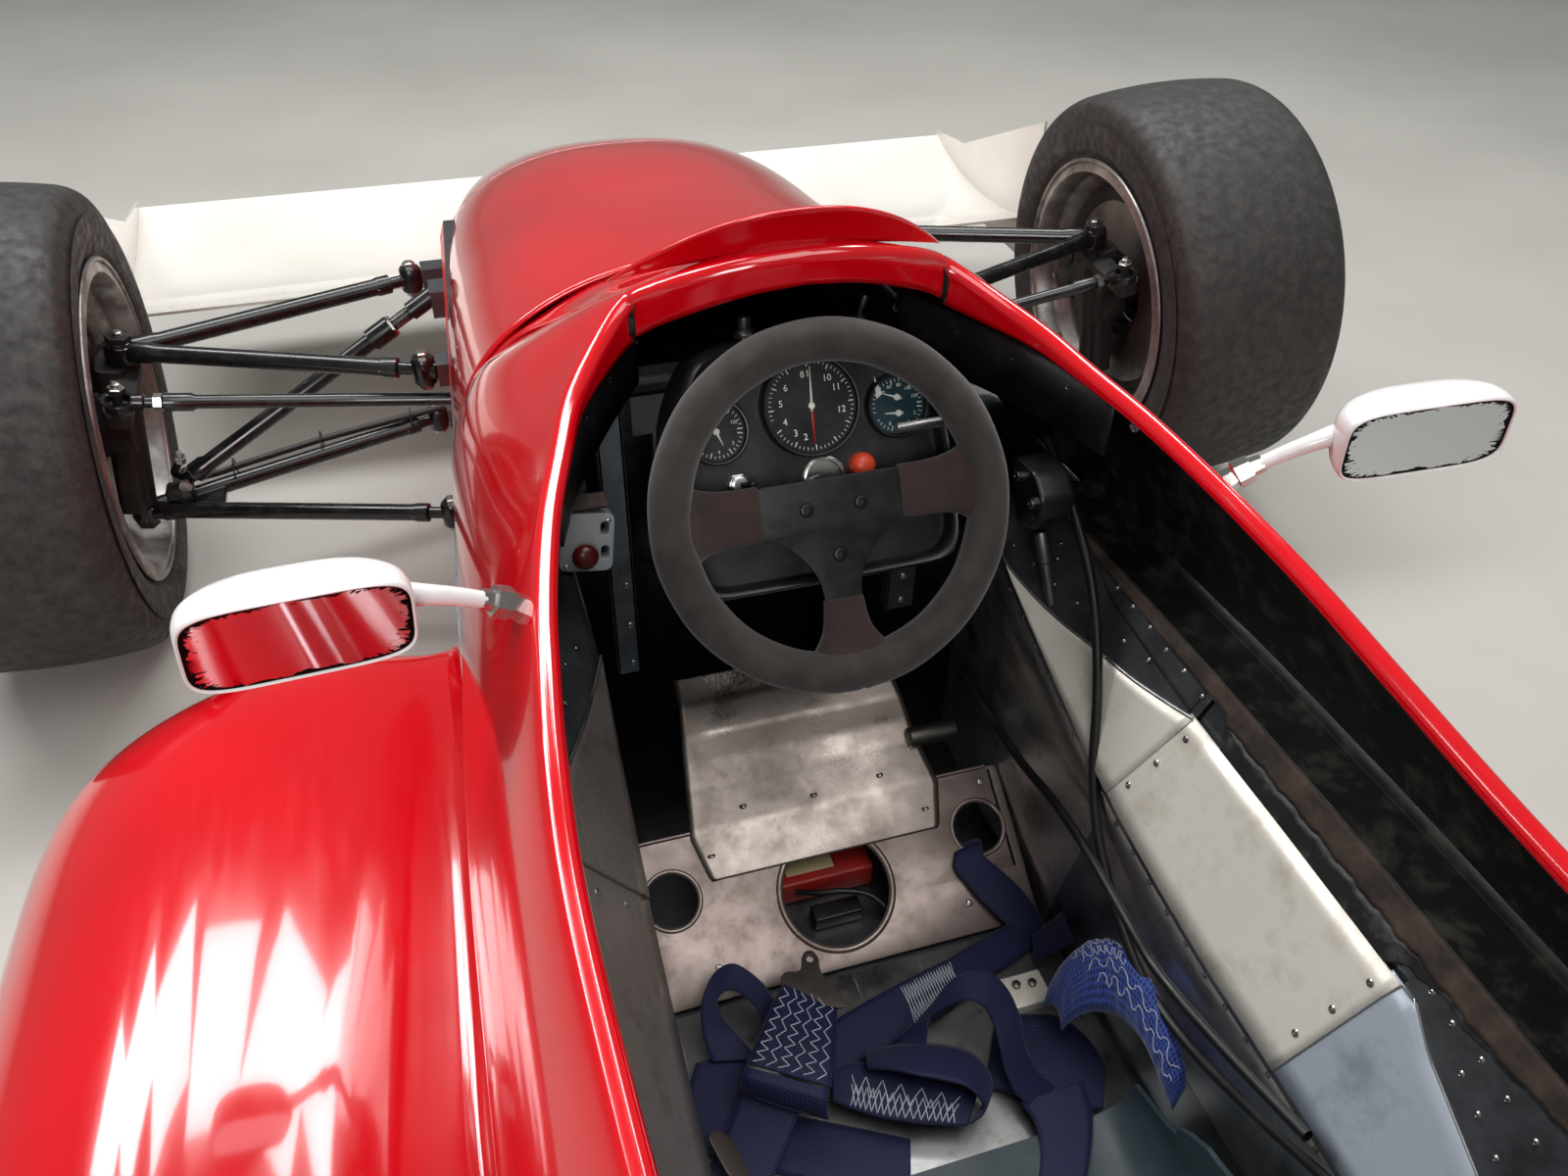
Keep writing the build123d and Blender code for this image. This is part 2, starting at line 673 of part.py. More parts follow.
with BuildPart() as cockpit_surround:
    add(surround_outer)
    add(surround_inner, mode=Mode.SUBTRACT)
    block((-far, ahead(-far), -far), (far, ahead(far), seam_z + panel_gap), mode=Mode.SUBTRACT)
    add(rolled_rim.part)
    add(opening.part, mode=Mode.SUBTRACT)
finish(cockpit_surround.part, "cockpit_surround")

# Windscreen lip: a thin crescent that stands on the scuttle ahead of the opening
lip_ahead = -546.0
lip_half = 128.0
lip_top = 666.0
with BuildPart() as windscreen_lip:
    with BuildSketch(Plane.XZ.offset(-ahead(lip_ahead))):
        with BuildLine():
            ThreePointArc((-lip_half, 596), (0, lip_top), (lip_half, 596))
            Line((-lip_half, 596), (lip_half, 596))
        make_face()
    extrude(amount=-4)
    add(surround_outer, mode=Mode.SUBTRACT)
finish(windscreen_lip.part, "windscreen_lip")

# Engine cover: shell open below and behind, cleared for the roll hoop's stays
cover_outer = body_loft(cover_sections)
cover_inner = body_loft(cover_sections, skin)
cover_bottom = 360.0
hoop_half, hoop_top, hoop_radius = 165.0, 890.0, 19.0
hoop_ahead = -1472.0
stay_foot = (150.0, -1800.0, 430.0)
stay_head = (70.0, hoop_ahead, 840.0)
head_bar_z, head_bar_radius = 730.0, 12.0
with BuildPart() as engine_cover:
    add(cover_outer)
    add(cover_inner, mode=Mode.SUBTRACT)
    block((-far, ahead(-far), -far), (far, ahead(far), cover_bottom), mode=Mode.SUBTRACT)
    for side in (1, -1):
        head = point((side * stay_head[0], stay_head[1], stay_head[2]))
        foot = point((side * stay_foot[0], stay_foot[1], stay_foot[2]))
        with BuildSketch(Plane(origin=head, z_dir=(foot - head).normalized())) as hole:
            Circle(hoop_radius + 8)
        extrude(hole.sketch, amount=(foot - head).length, mode=Mode.SUBTRACT)
finish(engine_cover.part, "engine_cover")

# Roll hoop: bent tube with two stays and a cross tube for the headrest
with BuildPart() as roll_hoop:
    hoop_y = ahead(hoop_ahead)
    with BuildLine() as hoop_line:
        FilletPolyline((-hoop_half, hoop_y, fuel_bay_top), (-hoop_half + 25, hoop_y, hoop_top),
                       (hoop_half - 25, hoop_y, hoop_top), (hoop_half, hoop_y, fuel_bay_top), radius=90)
    with BuildSketch(Plane(origin=hoop_line.line @ 0, z_dir=hoop_line.line % 0)):
        Circle(hoop_radius)
    sweep(path=hoop_line.line)
    tube((-hoop_half + 10, hoop_y, head_bar_z), (hoop_half - 10, hoop_y, head_bar_z), head_bar_radius)
    for side in (1, -1):
        tube(point((side * stay_head[0], stay_head[1], hoop_top - 10)),
             point((side * stay_foot[0], stay_foot[1], stay_foot[2])), 14)
    add(tub.part, mode=Mode.SUBTRACT)
finish(roll_hoop.part, "roll_hoop")

# Pods: shells open in front and behind, closed to the tub and the floor pan
def pod_face(side, row, inset=0.0, inner=150.0, low=0.0):
    """Section of one pod with a rounded outer shoulder and a crown that falls to the crease."""
    place, outer, corner_z, crown_half, crown_z = row
    outer, crown_z = outer - inset, crown_z - inset
    with BuildSketch(Plane.XZ.offset(-ahead(place))) as section:
        with BuildLine():
            Line((side * inner, low), (side * outer, low))
            Line((side * outer, low), (side * outer, corner_z))
            TangentArc((side * outer, corner_z), (side * crown_half, crown_z), tangent=(0, 1))
            Line((side * crown_half, crown_z), (side * inner, crown_z - pod_fall))
            Line((side * inner, crown_z - pod_fall), (side * inner, low))
        make_face()
    return section.sketch.face()


with BuildPart() as beside_body:
    for row in surround_sections:
        with BuildSketch(Plane.XZ.offset(-ahead(row[0]))):
            with Locations((0, far / 2)):
                Rectangle(2 * row[1] + 2 * panel_gap, far)
    loft(ruled=True)
    block((-fuel_bay_half - 60, ahead(-far), 0), (fuel_bay_half + 60, ahead(surround_end_ahead), far))
for label, side, rows in (("sidepod_left", -1, left_pod_sections),
                          ("sidepod_right", 1, right_pod_sections)):
    with BuildPart() as pod_inner:
        for row in rows:
            add(pod_face(side, row, inset=skin, inner=140.0, low=floor_level - 20))
        loft(ruled=True)
    with BuildPart() as pod:
        for row in rows:
            add(pod_face(side, row, low=floor_level))
        loft(ruled=True)
        add(pod_inner.part, mode=Mode.SUBTRACT)
        add(beside_body.part, mode=Mode.SUBTRACT)
    finish(pod.part, label)

# Floor pan under tub, pods and engine
pan_front, pan_back = -500.0, -1960.0
pan_left, pan_right = -612.0, 456.0
with BuildPart() as floor_pan:
    with BuildSketch(Plane.XY.offset(floor_level - floor_thickness)):
        with BuildLine():
            Polyline((pan_left + 150, ahead(pan_front)), (-200, ahead(pan_front)),
                     (-200, ahead(pan_front) + 40), (200, ahead(pan_front) + 40),
                     (200, ahead(pan_front) - 60), (pan_right - 90, ahead(pan_front) - 120),
                     (pan_right, ahead(pan_front) - 200), (pan_right, ahead(pan_back) + 120),
                     (260, ahead(pan_back)), (-260, ahead(pan_back)),
                     (pan_left + 60, ahead(pan_back) + 60), (pan_left, ahead(pan_back) + 160),
                     (pan_left, ahead(pan_front) - 150), close=True)
        make_face()
    extrude(amount=floor_thickness)
finish(floor_pan.part, "floor_pan")

# Radiator core, upright and slanted in the left pod
with BuildPart() as radiator:
    block((-560, ahead(-1180), floor_level), (-330, ahead(-1120), 300))
finish(radiator.part, "radiator")

# Engine, gearbox, exhaust
gearbox_half = 95.0
axle_z = rear_centre.Z
engine_end_ahead = -2080.0
with BuildPart() as engine:
    block((-150, ahead(engine_end_ahead), 85), (150, ahead(tub_end_ahead), 330))
    block((-115, ahead(engine_end_ahead) + 20, 330), (95, ahead(tub_end_ahead) - 20, 470))
    block((-85, ahead(engine_end_ahead) + 30, 470), (65, ahead(tub_end_ahead) - 30, 530))
finish(engine.part, "engine")

gearbox_end_ahead = -2860.0
jack_tube_half, jack_tube_bore = 60.0, 11.0
with BuildPart() as gearbox:
    with BuildSketch(Plane.XZ.offset(-ahead(engine_end_ahead))):
        with Locations((0, 230)):
            RectangleRounded(290, 280, 60)
    with BuildSketch(Plane.XZ.offset(-ahead(-2300))):
        with Locations((0, 245)):
            RectangleRounded(2 * gearbox_half, 200, 40)
    loft()
    block((-gearbox_half, ahead(gearbox_end_ahead), 150), (gearbox_half, ahead(-2299), 340))
    with BuildSketch(Plane.YZ.offset(-130)):
        with Locations((rear_axle_y, axle_z)):
            Circle(70)
    extrude(amount=260)
    block((-jack_tube_half, ahead(gearbox_end_ahead) - 42, 150), (jack_tube_half, ahead(gearbox_end_ahead), 194))
    with BuildSketch(Plane.YZ.offset(-jack_tube_half)):
        with Locations((ahead(gearbox_end_ahead) - 20, 172)):
            Circle(jack_tube_bore)
    extrude(amount=2 * jack_tube_half, mode=Mode.SUBTRACT)
finish(gearbox.part, "gearbox")

with BuildPart() as exhaust:
    with BuildLine() as pipe_line:
        FilletPolyline((-190, ahead(-1650), 387), (-176, ahead(-2010), 399), (-92, ahead(-2260), 404),
                       (-92, ahead(-2960), 388), radius=160)
    with BuildSketch(Plane(origin=pipe_line.line @ 0, z_dir=pipe_line.line % 0)):
        Circle(27)
    sweep(path=pipe_line.line)
    for back in (-1670, -1770, -1870, -1970):
        tube((-100, ahead(back), 420), (-178, ahead(back), 388), 18)
    add(engine.part, mode=Mode.SUBTRACT)
finish(exhaust.part, "exhaust")

# Rear suspension: wishbones, uprights with stub axles, driveshafts, dampers
rear_lower = (600.0, 0.0, 162.0)
rear_upper = (585.0, 0.0, 385.0)
rear_legs = [
    (rear_lower, 130, 176), (rear_lower, -190, 176), (rear_upper, 150, 330), (rear_upper, -150, 330),
]
with BuildPart() as rear_upright_right:
    block((rear_lower[0] - 22, rear_axle_y - 26, rear_lower[2] - 14),
          (rear_lower[0] + 20, rear_axle_y + 26, rear_upper[2] + 14))
    with BuildSketch(along(rear_centre, rear_axis, -108)):
        Circle(50)
    extrude(amount=36)
    with BuildSketch(along(rear_centre, rear_axis, -90)):
        Circle(axle_radius)
    extrude(amount=90 + 64)
    with BuildSketch(along(rear_centre, rear_axis, 64)):
        RegularPolygon(24, 6)
    extrude(amount=16)
    with BuildSketch(along(rear_centre, rear_axis, -92)):
        with Locations((96, 0)):
            RectangleRounded(52, 84, 10)
    extrude(amount=20)
    with BuildSketch(along(rear_centre, rear_axis, -92)):
        with Locations((55, 0)):
            Rectangle(60, 40)
    extrude(amount=16)
with BuildPart() as rear_uprights:
    add(rear_upright_right.part)
    mirror(rear_upright_right.part, about=Plane.YZ)
finish(rear_uprights.part, "rear_uprights")

with BuildPart() as rear_wishbones_right:
    for joint, pickup_ahead, pickup_z in rear_legs:
        outer = Vector(joint[0] - 22, rear_axle_y, joint[2])
        inner = Vector(gearbox_half - 5, rear_axle_y + pickup_ahead, pickup_z)
        tube(outer, inner, arm_radius + 1)
    block((490, rear_axle_y + 8, 158), (512, rear_axle_y + 46, 178))
    block((0, ahead(-far), 0), (gearbox_half, ahead(far), 600), mode=Mode.SUBTRACT)
    block((rear_lower[0] - 22, ahead(-far), 0), (800, ahead(far), 600), mode=Mode.SUBTRACT)
with BuildPart() as rear_wishbones:
    add(rear_wishbones_right.part)
    mirror(rear_wishbones_right.part, about=Plane.YZ)
finish(rear_wishbones.part, "rear_wishbones")

with BuildPart() as driveshafts:
    for side in (1, -1):
        tube((side * 130, rear_axle_y, axle_z), (side * (rear_lower[0] - 22), rear_axle_y, axle_z), 14)
        tube((side * 130, rear_axle_y, axle_z), (side * 190, rear_axle_y, axle_z), 48)
        tube((side * 520, rear_axle_y, axle_z), (side * (rear_lower[0] - 22), rear_axle_y, axle_z), 44)
finish(driveshafts.part, "driveshafts")

with BuildPart() as rear_dampers:
    for side in (1, -1):
        top = Vector(side * (gearbox_half - 4), rear_axle_y + 94, 300)
        foot = Vector(side * 500, rear_axle_y + 34, 188)
        run = (foot - top).normalized()
        tube(top, foot, 12)
        tube(top + run * 70, top + run * 90, 30)
        tube(top + run * 90, foot - run * 100, 24)
        tube(foot - run * 100, foot - run * 84, 30)
        tube(foot - run * 14, foot, 16)
    add(gearbox.part, mode=Mode.SUBTRACT)
    add(rear_wishbones.part, mode=Mode.SUBTRACT)
finish(rear_dampers.part, "rear_dampers")

# Rear wing on its post, with end plates
flap_lead_ahead = rear_wing_lead_ahead - rear_wing_chord - 4.0
with BuildPart() as rear_wing:
    with BuildSketch(Plane.YZ.offset(-rear_wing_half_span)):
        wing_face((rear_wing_lead_ahead, rear_wing_z), (rear_wing_lead_ahead - 120, rear_wing_z - 26),
                  (rear_wing_lead_ahead - rear_wing_chord, rear_wing_z + 14), 20.0)
    extrude(amount=2 * rear_wing_half_span)
    with BuildSketch(Plane.YZ.offset(-rear_wing_half_span)):
        wing_face((flap_lead_ahead, rear_wing_z + 24), (flap_lead_ahead - 45, rear_wing_z + 28),
                  (-wheelbase - tail_overhang + 4, rear_wing_z + 78), 10.0)
    extrude(amount=2 * rear_wing_half_span)
finish(rear_wing.part, "rear_wing")
with BuildPart() as rear_end_plates:
    for side in (1, -1):
        x = sorted((side * rear_wing_half_span, side * (rear_wing_half_span + plate_wall)))
        block((x[0], ahead(-wheelbase - tail_overhang), rear_wing_z - 110),
              (x[1], ahead(rear_wing_lead_ahead) + 40, rear_wing_z + 90))
finish(rear_end_plates.part, "rear_end_plates")
with BuildPart() as wing_post:
    for side in (1, -1):
        x = sorted((side * 40, side * 46))
        with BuildSketch(Plane.YZ.offset(x[0])):
            with BuildLine():
                Polyline((ahead(gearbox_end_ahead) + 10, 200), (ahead(gearbox_end_ahead) + 10, 340),
                         (ahead(rear_wing_lead_ahead) - 10, rear_wing_z - 20),
                         (ahead(rear_wing_lead_ahead) - 150, rear_wing_z - 28),
                         (ahead(gearbox_end_ahead) - 60, 200), close=True)
            make_face()
        extrude(amount=6)
    add(gearbox.part, mode=Mode.SUBTRACT)
    add(rear_wing.part, mode=Mode.SUBTRACT)
finish(wing_post.part, "wing_post")

# Seat: a U shaped shell swept from the front of the cushion up the back
seat_half, seat_side, seat_wall = 165.0, 92.0, 5.0
with BuildPart() as seat:
    with BuildLine() as seat_line:
        FilletPolyline((0, ahead(-900), floor_top + 12), (0, ahead(-1130), floor_top + 6),
                       (0, ahead(-1345), 425), radius=170)
    with BuildSketch(Plane(origin=seat_line.line @ 0, x_dir=(1, 0, 0), z_dir=seat_line.line % 0)):
        with Locations((0, seat_side / 2)):
            Rectangle(2 * seat_half, seat_side)
        with Locations((0, seat_side / 2 + seat_wall)):
            Rectangle(2 * (seat_half - seat_wall), seat_side, mode=Mode.SUBTRACT)
    sweep(path=seat_line.line)
finish(seat.part, "seat")

# Headrest pad on the hoop's cross tube
with BuildPart() as headrest:
    with BuildSketch(Plane.XZ.offset(-ahead(hoop_ahead) - head_bar_radius)):
        with Locations((0, head_bar_z)):
            RectangleRounded(190, 110, 24)
    extrude(amount=-38)
    fillet(headrest.faces().sort_by(Axis.Y)[-1].edges(), 12)
finish(headrest.part, "headrest")

# Aluminium panel in front of the seat, sloping down to the floor, with three lightening holes
panel_top = (-645.0, 136.0)
panel_foot = (-770.0, floor_top)
panel_wall = 3.0
panel_half = 181.0
centre_hole, centre_hole_down = 49.0, 78.0
side_hole, side_hole_half, side_hole_down = 23.0, 146.0, 54.0
panel_run = Vector(0, panel_foot[0] - panel_top[0], panel_foot[1] - panel_top[1])
panel_plane = Plane(origin=point((0, panel_top[0], panel_top[1])), x_dir=(1, 0, 0),
                    z_dir=Vector(0, panel_run.Z, -panel_run.Y).normalized() * -1)
if panel_plane.z_dir.Z < 0:
    panel_plane = Plane(origin=panel_plane.origin, x_dir=(1, 0, 0), z_dir=panel_plane.z_dir * -1)
panel_down = panel_run.length - 4
panel_sign = 1 if panel_plane.y_dir.Z < 0 else -1
with BuildPart() as seat_bulkhead:
    with BuildSketch(panel_plane):
        with Locations((0, panel_sign * panel_down / 2)):
            Rectangle(2 * panel_half, panel_down)
        with Locations((0, panel_sign * centre_hole_down)):
            Circle(centre_hole, mode=Mode.SUBTRACT)
        with Locations((side_hole_half, panel_sign * side_hole_down),
                       (-side_hole_half, panel_sign * side_hole_down)):
            Circle(side_hole, mode=Mode.SUBTRACT)
    extrude(amount=panel_wall)
    with BuildSketch(panel_plane.offset(panel_wall)):
        with Locations((0, panel_sign * centre_hole_down)):
            Circle(centre_hole + 4)
            Circle(centre_hole, mode=Mode.SUBTRACT)
    extrude(amount=3)
finish(seat_bulkhead.part, "seat_bulkhead")

# Shin plate: bent sheet from under the dash down to the panel
shin_half = 112.0
with BuildPart() as shin_plate:
    with BuildSketch(Plane.YZ.offset(-shin_half)):
        with BuildLine() as shin_line:
            FilletPolyline((ahead(-520), 208), (ahead(-622), 190), (ahead(-690), 116), radius=40)
        trace(shin_line.line, line_width=2.0)
    extrude(amount=2 * shin_half)
    add(seat_bulkhead.part, mode=Mode.SUBTRACT)
finish(shin_plate.part, "shin_plate")

# Dash: a moulded hood parallel to the steering wheel, with a sunk face and a hole for the column
dash_gap, dash_front, dash_depth = 40.0, 25.0, 62.0
dash_plane = wheel_plane.offset(-dash_gap)
dash_outline = [(-112, -62), (112, -62), (112, 70), (82, 130), (-82, 130), (-112, 70)]
dash_face = [(-102, -52), (102, -52), (102, 66), (76, 116), (-76, 116), (-102, 66)]
with BuildPart() as dash_panel:
    with BuildSketch(wheel_plane.offset(-dash_front)):
        with BuildLine():
            Polyline(dash_outline, close=True)
        make_face()
    extrude(amount=-dash_depth)
    fillet(dash_panel.faces().sort_by(Axis(point(steer_centre), to_driver))[-1].edges(), 8)
    with BuildSketch(wheel_plane.offset(-dash_front)):
        with BuildLine():
            Polyline(dash_face, close=True)
        make_face()
    extrude(amount=dash_front - dash_gap, mode=Mode.SUBTRACT)
    with BuildSketch(dash_plane):
        Circle(column_radius + 7)
    extrude(amount=-dash_depth, mode=Mode.SUBTRACT)
finish(dash_panel.part, "dash_panel")

# Instruments on the dash face: x, up, radius, height; buttons and the toggle stand lower
dials = [(1, 75, 38, 14), (70, 66, 25, 9), (-72, 66, 25, 9)]
knobs = [(37, 26, 9, 12), (-60, 25, 6, 10), (82, 26, 10, 5)]
with BuildPart() as instruments:
    for x, up, radius, height in dials:
        with BuildSketch(dash_plane):
            with Locations((x, up)):
                Circle(radius)
        extrude(amount=height)
        with BuildSketch(dash_plane.offset(height)):
            with Locations((x, up)):
                Circle(radius - 3)
        extrude(amount=-3, mode=Mode.SUBTRACT)
    for x, up, radius, height in knobs:
        with BuildSketch(dash_plane):
            with Locations((x, up)):
                Circle(radius)
        extrude(amount=height)
finish(instruments.part, "instruments")

# Switch box with its knob, on the left wall of the cockpit
with BuildPart() as switch_box:
    block((-214, ahead(-640), 400), (-178, ahead(-560), 450))
    with BuildSketch(Plane.YZ.offset(-178)):
        with Locations((ahead(-615), 425)):
            Circle(9)
    extrude(amount=14)
finish(switch_box.part, "switch_box")

# Gear lever on the right
with BuildPart() as gear_lever:
    tube(point((200, -668, 318)), point((189, -628, 404)), 6)
    ball(point((188, -622, 417)), 17)
    add(tub.part, mode=Mode.SUBTRACT)
finish(gear_lever.part, "gear_lever")

# Pedals: three pads on their arms
with BuildPart() as pedals:
    for x, width in ((-110, 60), (0, 70), (105, 50)):
        block((x - width / 2, ahead(20), 130), (x + width / 2, ahead(26), 230))
        block((x - 7, ahead(26), floor_top), (x + 7, ahead(44), 220))
finish(pedals.part, "pedals")

# Box under the panel's centre hole
with BuildPart() as ignition_box:
    block((-55, ahead(-690), floor_top), (50, ahead(-640), 84))
finish(ignition_box.part, "ignition_box")

# Harness webbing where it lies on the panel and the seat, as plain closed solids
webs = [
    ((-158, -892, 56), (40, -792, 104)), ((42, -892, 56), (154, -800, 96)),
    ((-150, -985, 73), (92, -902, 100)),
]
web_up_panel = [(118, -46), (146, -50), (168, -112), (138, -116)]
with BuildPart() as harness:
    for low, high in webs:
        block((low[0], ahead(low[1]), low[2]), (high[0], ahead(high[1]), high[2]))
    with BuildSketch(panel_plane.offset(panel_wall + 1)):
        with BuildLine():
            Polyline([(x, -panel_sign * down) for x, down in web_up_panel], close=True)
        make_face()
    extrude(amount=8)
    add(seat.part, mode=Mode.SUBTRACT)
finish(harness.part, "harness")

# Shoulder pad lying over the side of the seat
with BuildPart() as shoulder_pad:
    with BuildLine() as pad_line:
        Spline([point((142, -852, 112)), point((142, -885, 150)), point((142, -940, 160)),
                point((142, -1000, 128))])
    with BuildSketch(Plane(origin=pad_line.line @ 0, x_dir=(1, 0, 0), z_dir=pad_line.line % 0)):
        RectangleRounded(32, 18, 8)
    sweep(path=pad_line.line)
    add(harness.part, mode=Mode.SUBTRACT)
finish(shoulder_pad.part, "shoulder_pad")

# Two control cables along the right sill, held whole
cable_radius = 4.0
cable_routes = [
    [(200, -600, 470), (200, -680, 430), (196, -740, 352), (176, -796, 258), (172, -860, 205),
     (172, -930, 178), (174, -1020, 206), (176, -1110, 256)],
    [(160, -600, 214), (164, -690, 207), (168, -780, 226), (160, -880, 236), (162, -950, 226),
     (168, -1080, 272)],
]
with BuildPart() as control_cables:
    for route in cable_routes:
        with BuildLine() as cable_line:
            FilletPolyline([point(place) for place in route], radius=40)
        with BuildSketch(Plane(origin=cable_line.line @ 0, z_dir=cable_line.line % 0)) as cable_end:
            Circle(cable_radius)
        sweep(cable_end.sketch, path=cable_line.line)
finish(control_cables.part, "control_cables")

# Mirrors: housings on stalks, and their glasses
mirror_inner, mirror_outer = (292.0, -806.0, 572.0), (402.0, -822.0, 582.0)
with BuildPart() as mirror_right:
    base = point((238, -769, 520))
    tube(base, point((258, -775, 552)), 9)
    tube(point((258, -775, 552)), point((300, -794, 574)), 6)
    across = (Vector(*mirror_outer) - Vector(*mirror_inner))
    face = Plane(origin=point(((mirror_inner[0] + mirror_outer[0]) / 2, (mirror_inner[1] + mirror_outer[1]) / 2,
                               (mirror_inner[2] + mirror_outer[2]) / 2)),
                 x_dir=(across.X, across.Y, across.Z), z_dir=Vector(across.Y, -across.X, 0).normalized())
    with BuildSketch(face):
        RectangleRounded(118, 56, 12)
    with BuildSketch(face.offset(-34)):
        RectangleRounded(92, 40, 12)
    loft()
    with BuildSketch(face):
        RectangleRounded(108, 46, 9)
    extrude(amount=-4, mode=Mode.SUBTRACT)
    add(cockpit_surround.part, mode=Mode.SUBTRACT)
with BuildPart() as mirror_housings:
    add(mirror_right.part)
    mirror(mirror_right.part, about=Plane.YZ)
finish(mirror_housings.part, "mirror_housings")
with BuildPart() as glass_right:
    with BuildSketch(face.offset(-4)):
        RectangleRounded(107, 45, 8.5)
    extrude(amount=3)
with BuildPart() as mirror_glasses:
    add(glass_right.part)
    mirror(glass_right.part, about=Plane.YZ)
finish(mirror_glasses.part, "mirror_glasses")
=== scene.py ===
import math
import bpy
import bmesh
import numpy as np
from mathutils import Matrix, Vector


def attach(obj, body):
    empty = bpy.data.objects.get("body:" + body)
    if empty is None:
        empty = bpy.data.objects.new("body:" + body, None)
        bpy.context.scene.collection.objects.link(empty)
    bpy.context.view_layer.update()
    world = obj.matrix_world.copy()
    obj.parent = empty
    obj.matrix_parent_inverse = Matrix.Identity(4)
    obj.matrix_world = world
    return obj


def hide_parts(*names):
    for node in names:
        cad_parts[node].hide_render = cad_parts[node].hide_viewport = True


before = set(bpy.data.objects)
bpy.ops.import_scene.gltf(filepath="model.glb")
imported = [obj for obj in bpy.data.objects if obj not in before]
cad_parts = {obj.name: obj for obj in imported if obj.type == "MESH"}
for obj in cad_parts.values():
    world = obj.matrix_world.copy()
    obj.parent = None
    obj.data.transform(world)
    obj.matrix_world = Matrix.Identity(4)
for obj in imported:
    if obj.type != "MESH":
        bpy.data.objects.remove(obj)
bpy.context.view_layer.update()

# Open wheel racing car. Places are written as (x, ahead, z) in millimetres: x to the
# driver's right, ahead measured forward from the front axle, z up from the ground.
frontAxleY = 1.255
wheelbase = 2560.0


# Millimetres ahead of the front axle to metres in the frame of the model.
def place(points):
    return np.asarray(points, float) * 0.001 + np.array([0.0, frontAxleY, 0.0])


# A direction made one long.
def unit(vector):
    return np.asarray(vector, float) / np.linalg.norm(vector)


# A power that keeps the sign of its base, which squares the corners of a circle.
def squared(value, power):
    return np.sign(value) * np.abs(value) ** power


# Matrix that carries X, Y and Z to three directions at a centre given in metres.
def axesMatrix(across, up, out, centre):
    turn = Matrix((Vector(across), Vector(up), Vector(out))).transposed().to_4x4()
    turn.translation = Vector(centre)
    return turn


# Smooth curve through the rows of a table: each cubic
# piece takes its slope from the rows either side.
def through(table, count):
    table = np.asarray(table, float)
    spot = np.linspace(0, len(table) - 1, count)
    first = np.minimum(spot.astype(int), len(table) - 2)
    t = (spot - first)[:, None]
    slope = np.gradient(table, axis=0)
    a, b = table[first], table[first + 1]
    ma, mb = slope[first], slope[first + 1]
    return ((2 * t**3 - 3 * t**2 + 1) * a + (t**3 - 2 * t**2 + t) * ma
            + (-2 * t**3 + 3 * t**2) * b + (t**3 - t**2) * mb)


# Quads between the rows and columns of a grid of points, joined round where the grid closes.
def grid(points, wrapRows=False, wrapColumns=False, capStart=False, capEnd=False):
    points = np.asarray(points, float)
    rows, columns = points.shape[:2]
    index = np.arange(rows * columns).reshape(rows, columns)
    a = np.vstack([index, index[:1]]) if wrapRows else index
    a = np.hstack([a, a[:, :1]]) if wrapColumns else a
    quads = np.stack([a[:-1, :-1], a[1:, :-1], a[1:, 1:], a[:-1, 1:]], -1).reshape(-1, 4)
    faces = [quads]
    if capStart:
        faces.append(index[0][None, :])
    if capEnd:
        faces.append(index[-1][None, ::-1])
    return points.reshape(-1, 3), faces


# Several shapes as one, with the point numbers of each moved past those before it.
def join(shapes):
    vertices, faces, start = [], [], 0
    for points, groups in shapes:
        vertices.append(points)
        faces += [group + start for group in groups]
        start += len(points)
    return np.vstack(vertices), faces


# The same shape on the other side of the car.
def otherSide(shape):
    points, groups = shape
    return points * np.array([-1.0, 1.0, 1.0]), [group[:, ::-1] for group in groups]


def bothSides(shape):
    return join([shape, otherSide(shape)])


# Frames along a path: sideways is across both the run and the given up direction.
def frames(path, up=(0, 0, 1)):
    path = np.asarray(path, float)
    run = np.gradient(path, axis=0)
    run /= np.linalg.norm(run, axis=1)[:, None]
    side = np.cross(run, np.asarray(up, float))
    side /= np.linalg.norm(side, axis=1)[:, None]
    return run, side, np.cross(side, run)


# A closed profile of (sideways, upward) offsets
# carried along a path; scale sizes it at each station.
def carry(path, profile, up=(0, 0, 1), scale=None, caps=True):
    path, profile = np.asarray(path, float), np.asarray(profile, float)
    _, side, rise = frames(path, up)
    size = np.ones(len(path)) if scale is None else np.asarray(scale, float)
    rings = (path[:, None, :] + size[:, None, None] * (profile[None, :, :1] * side[:, None, :]
             + profile[None, :, 1:] * rise[:, None, :]))
    return grid(rings, wrapColumns=True, capStart=caps, capEnd=caps)


# Circle of offsets.
def roundProfile(radius, count=16):
    angle = np.linspace(0, 2 * math.pi, count, endpoint=False)
    return np.stack([radius * np.cos(angle), radius * np.sin(angle)], -1)


# Rectangle of offsets with rounded corners: each quarter circle is pushed out to its corner.
def boxProfile(width, height, radius, count=4):
    angle = np.concatenate([np.linspace(q, q + 1, count) for q in range(4)]) * math.pi / 2
    middle = (np.repeat(np.arange(4), count) + 0.5) * math.pi / 2
    return np.stack([np.sign(np.cos(middle)) * (width / 2 - radius) + radius * np.cos(angle),
                     np.sign(np.sin(middle)) * (height / 2 - radius) + radius * np.sin(angle)], -1)


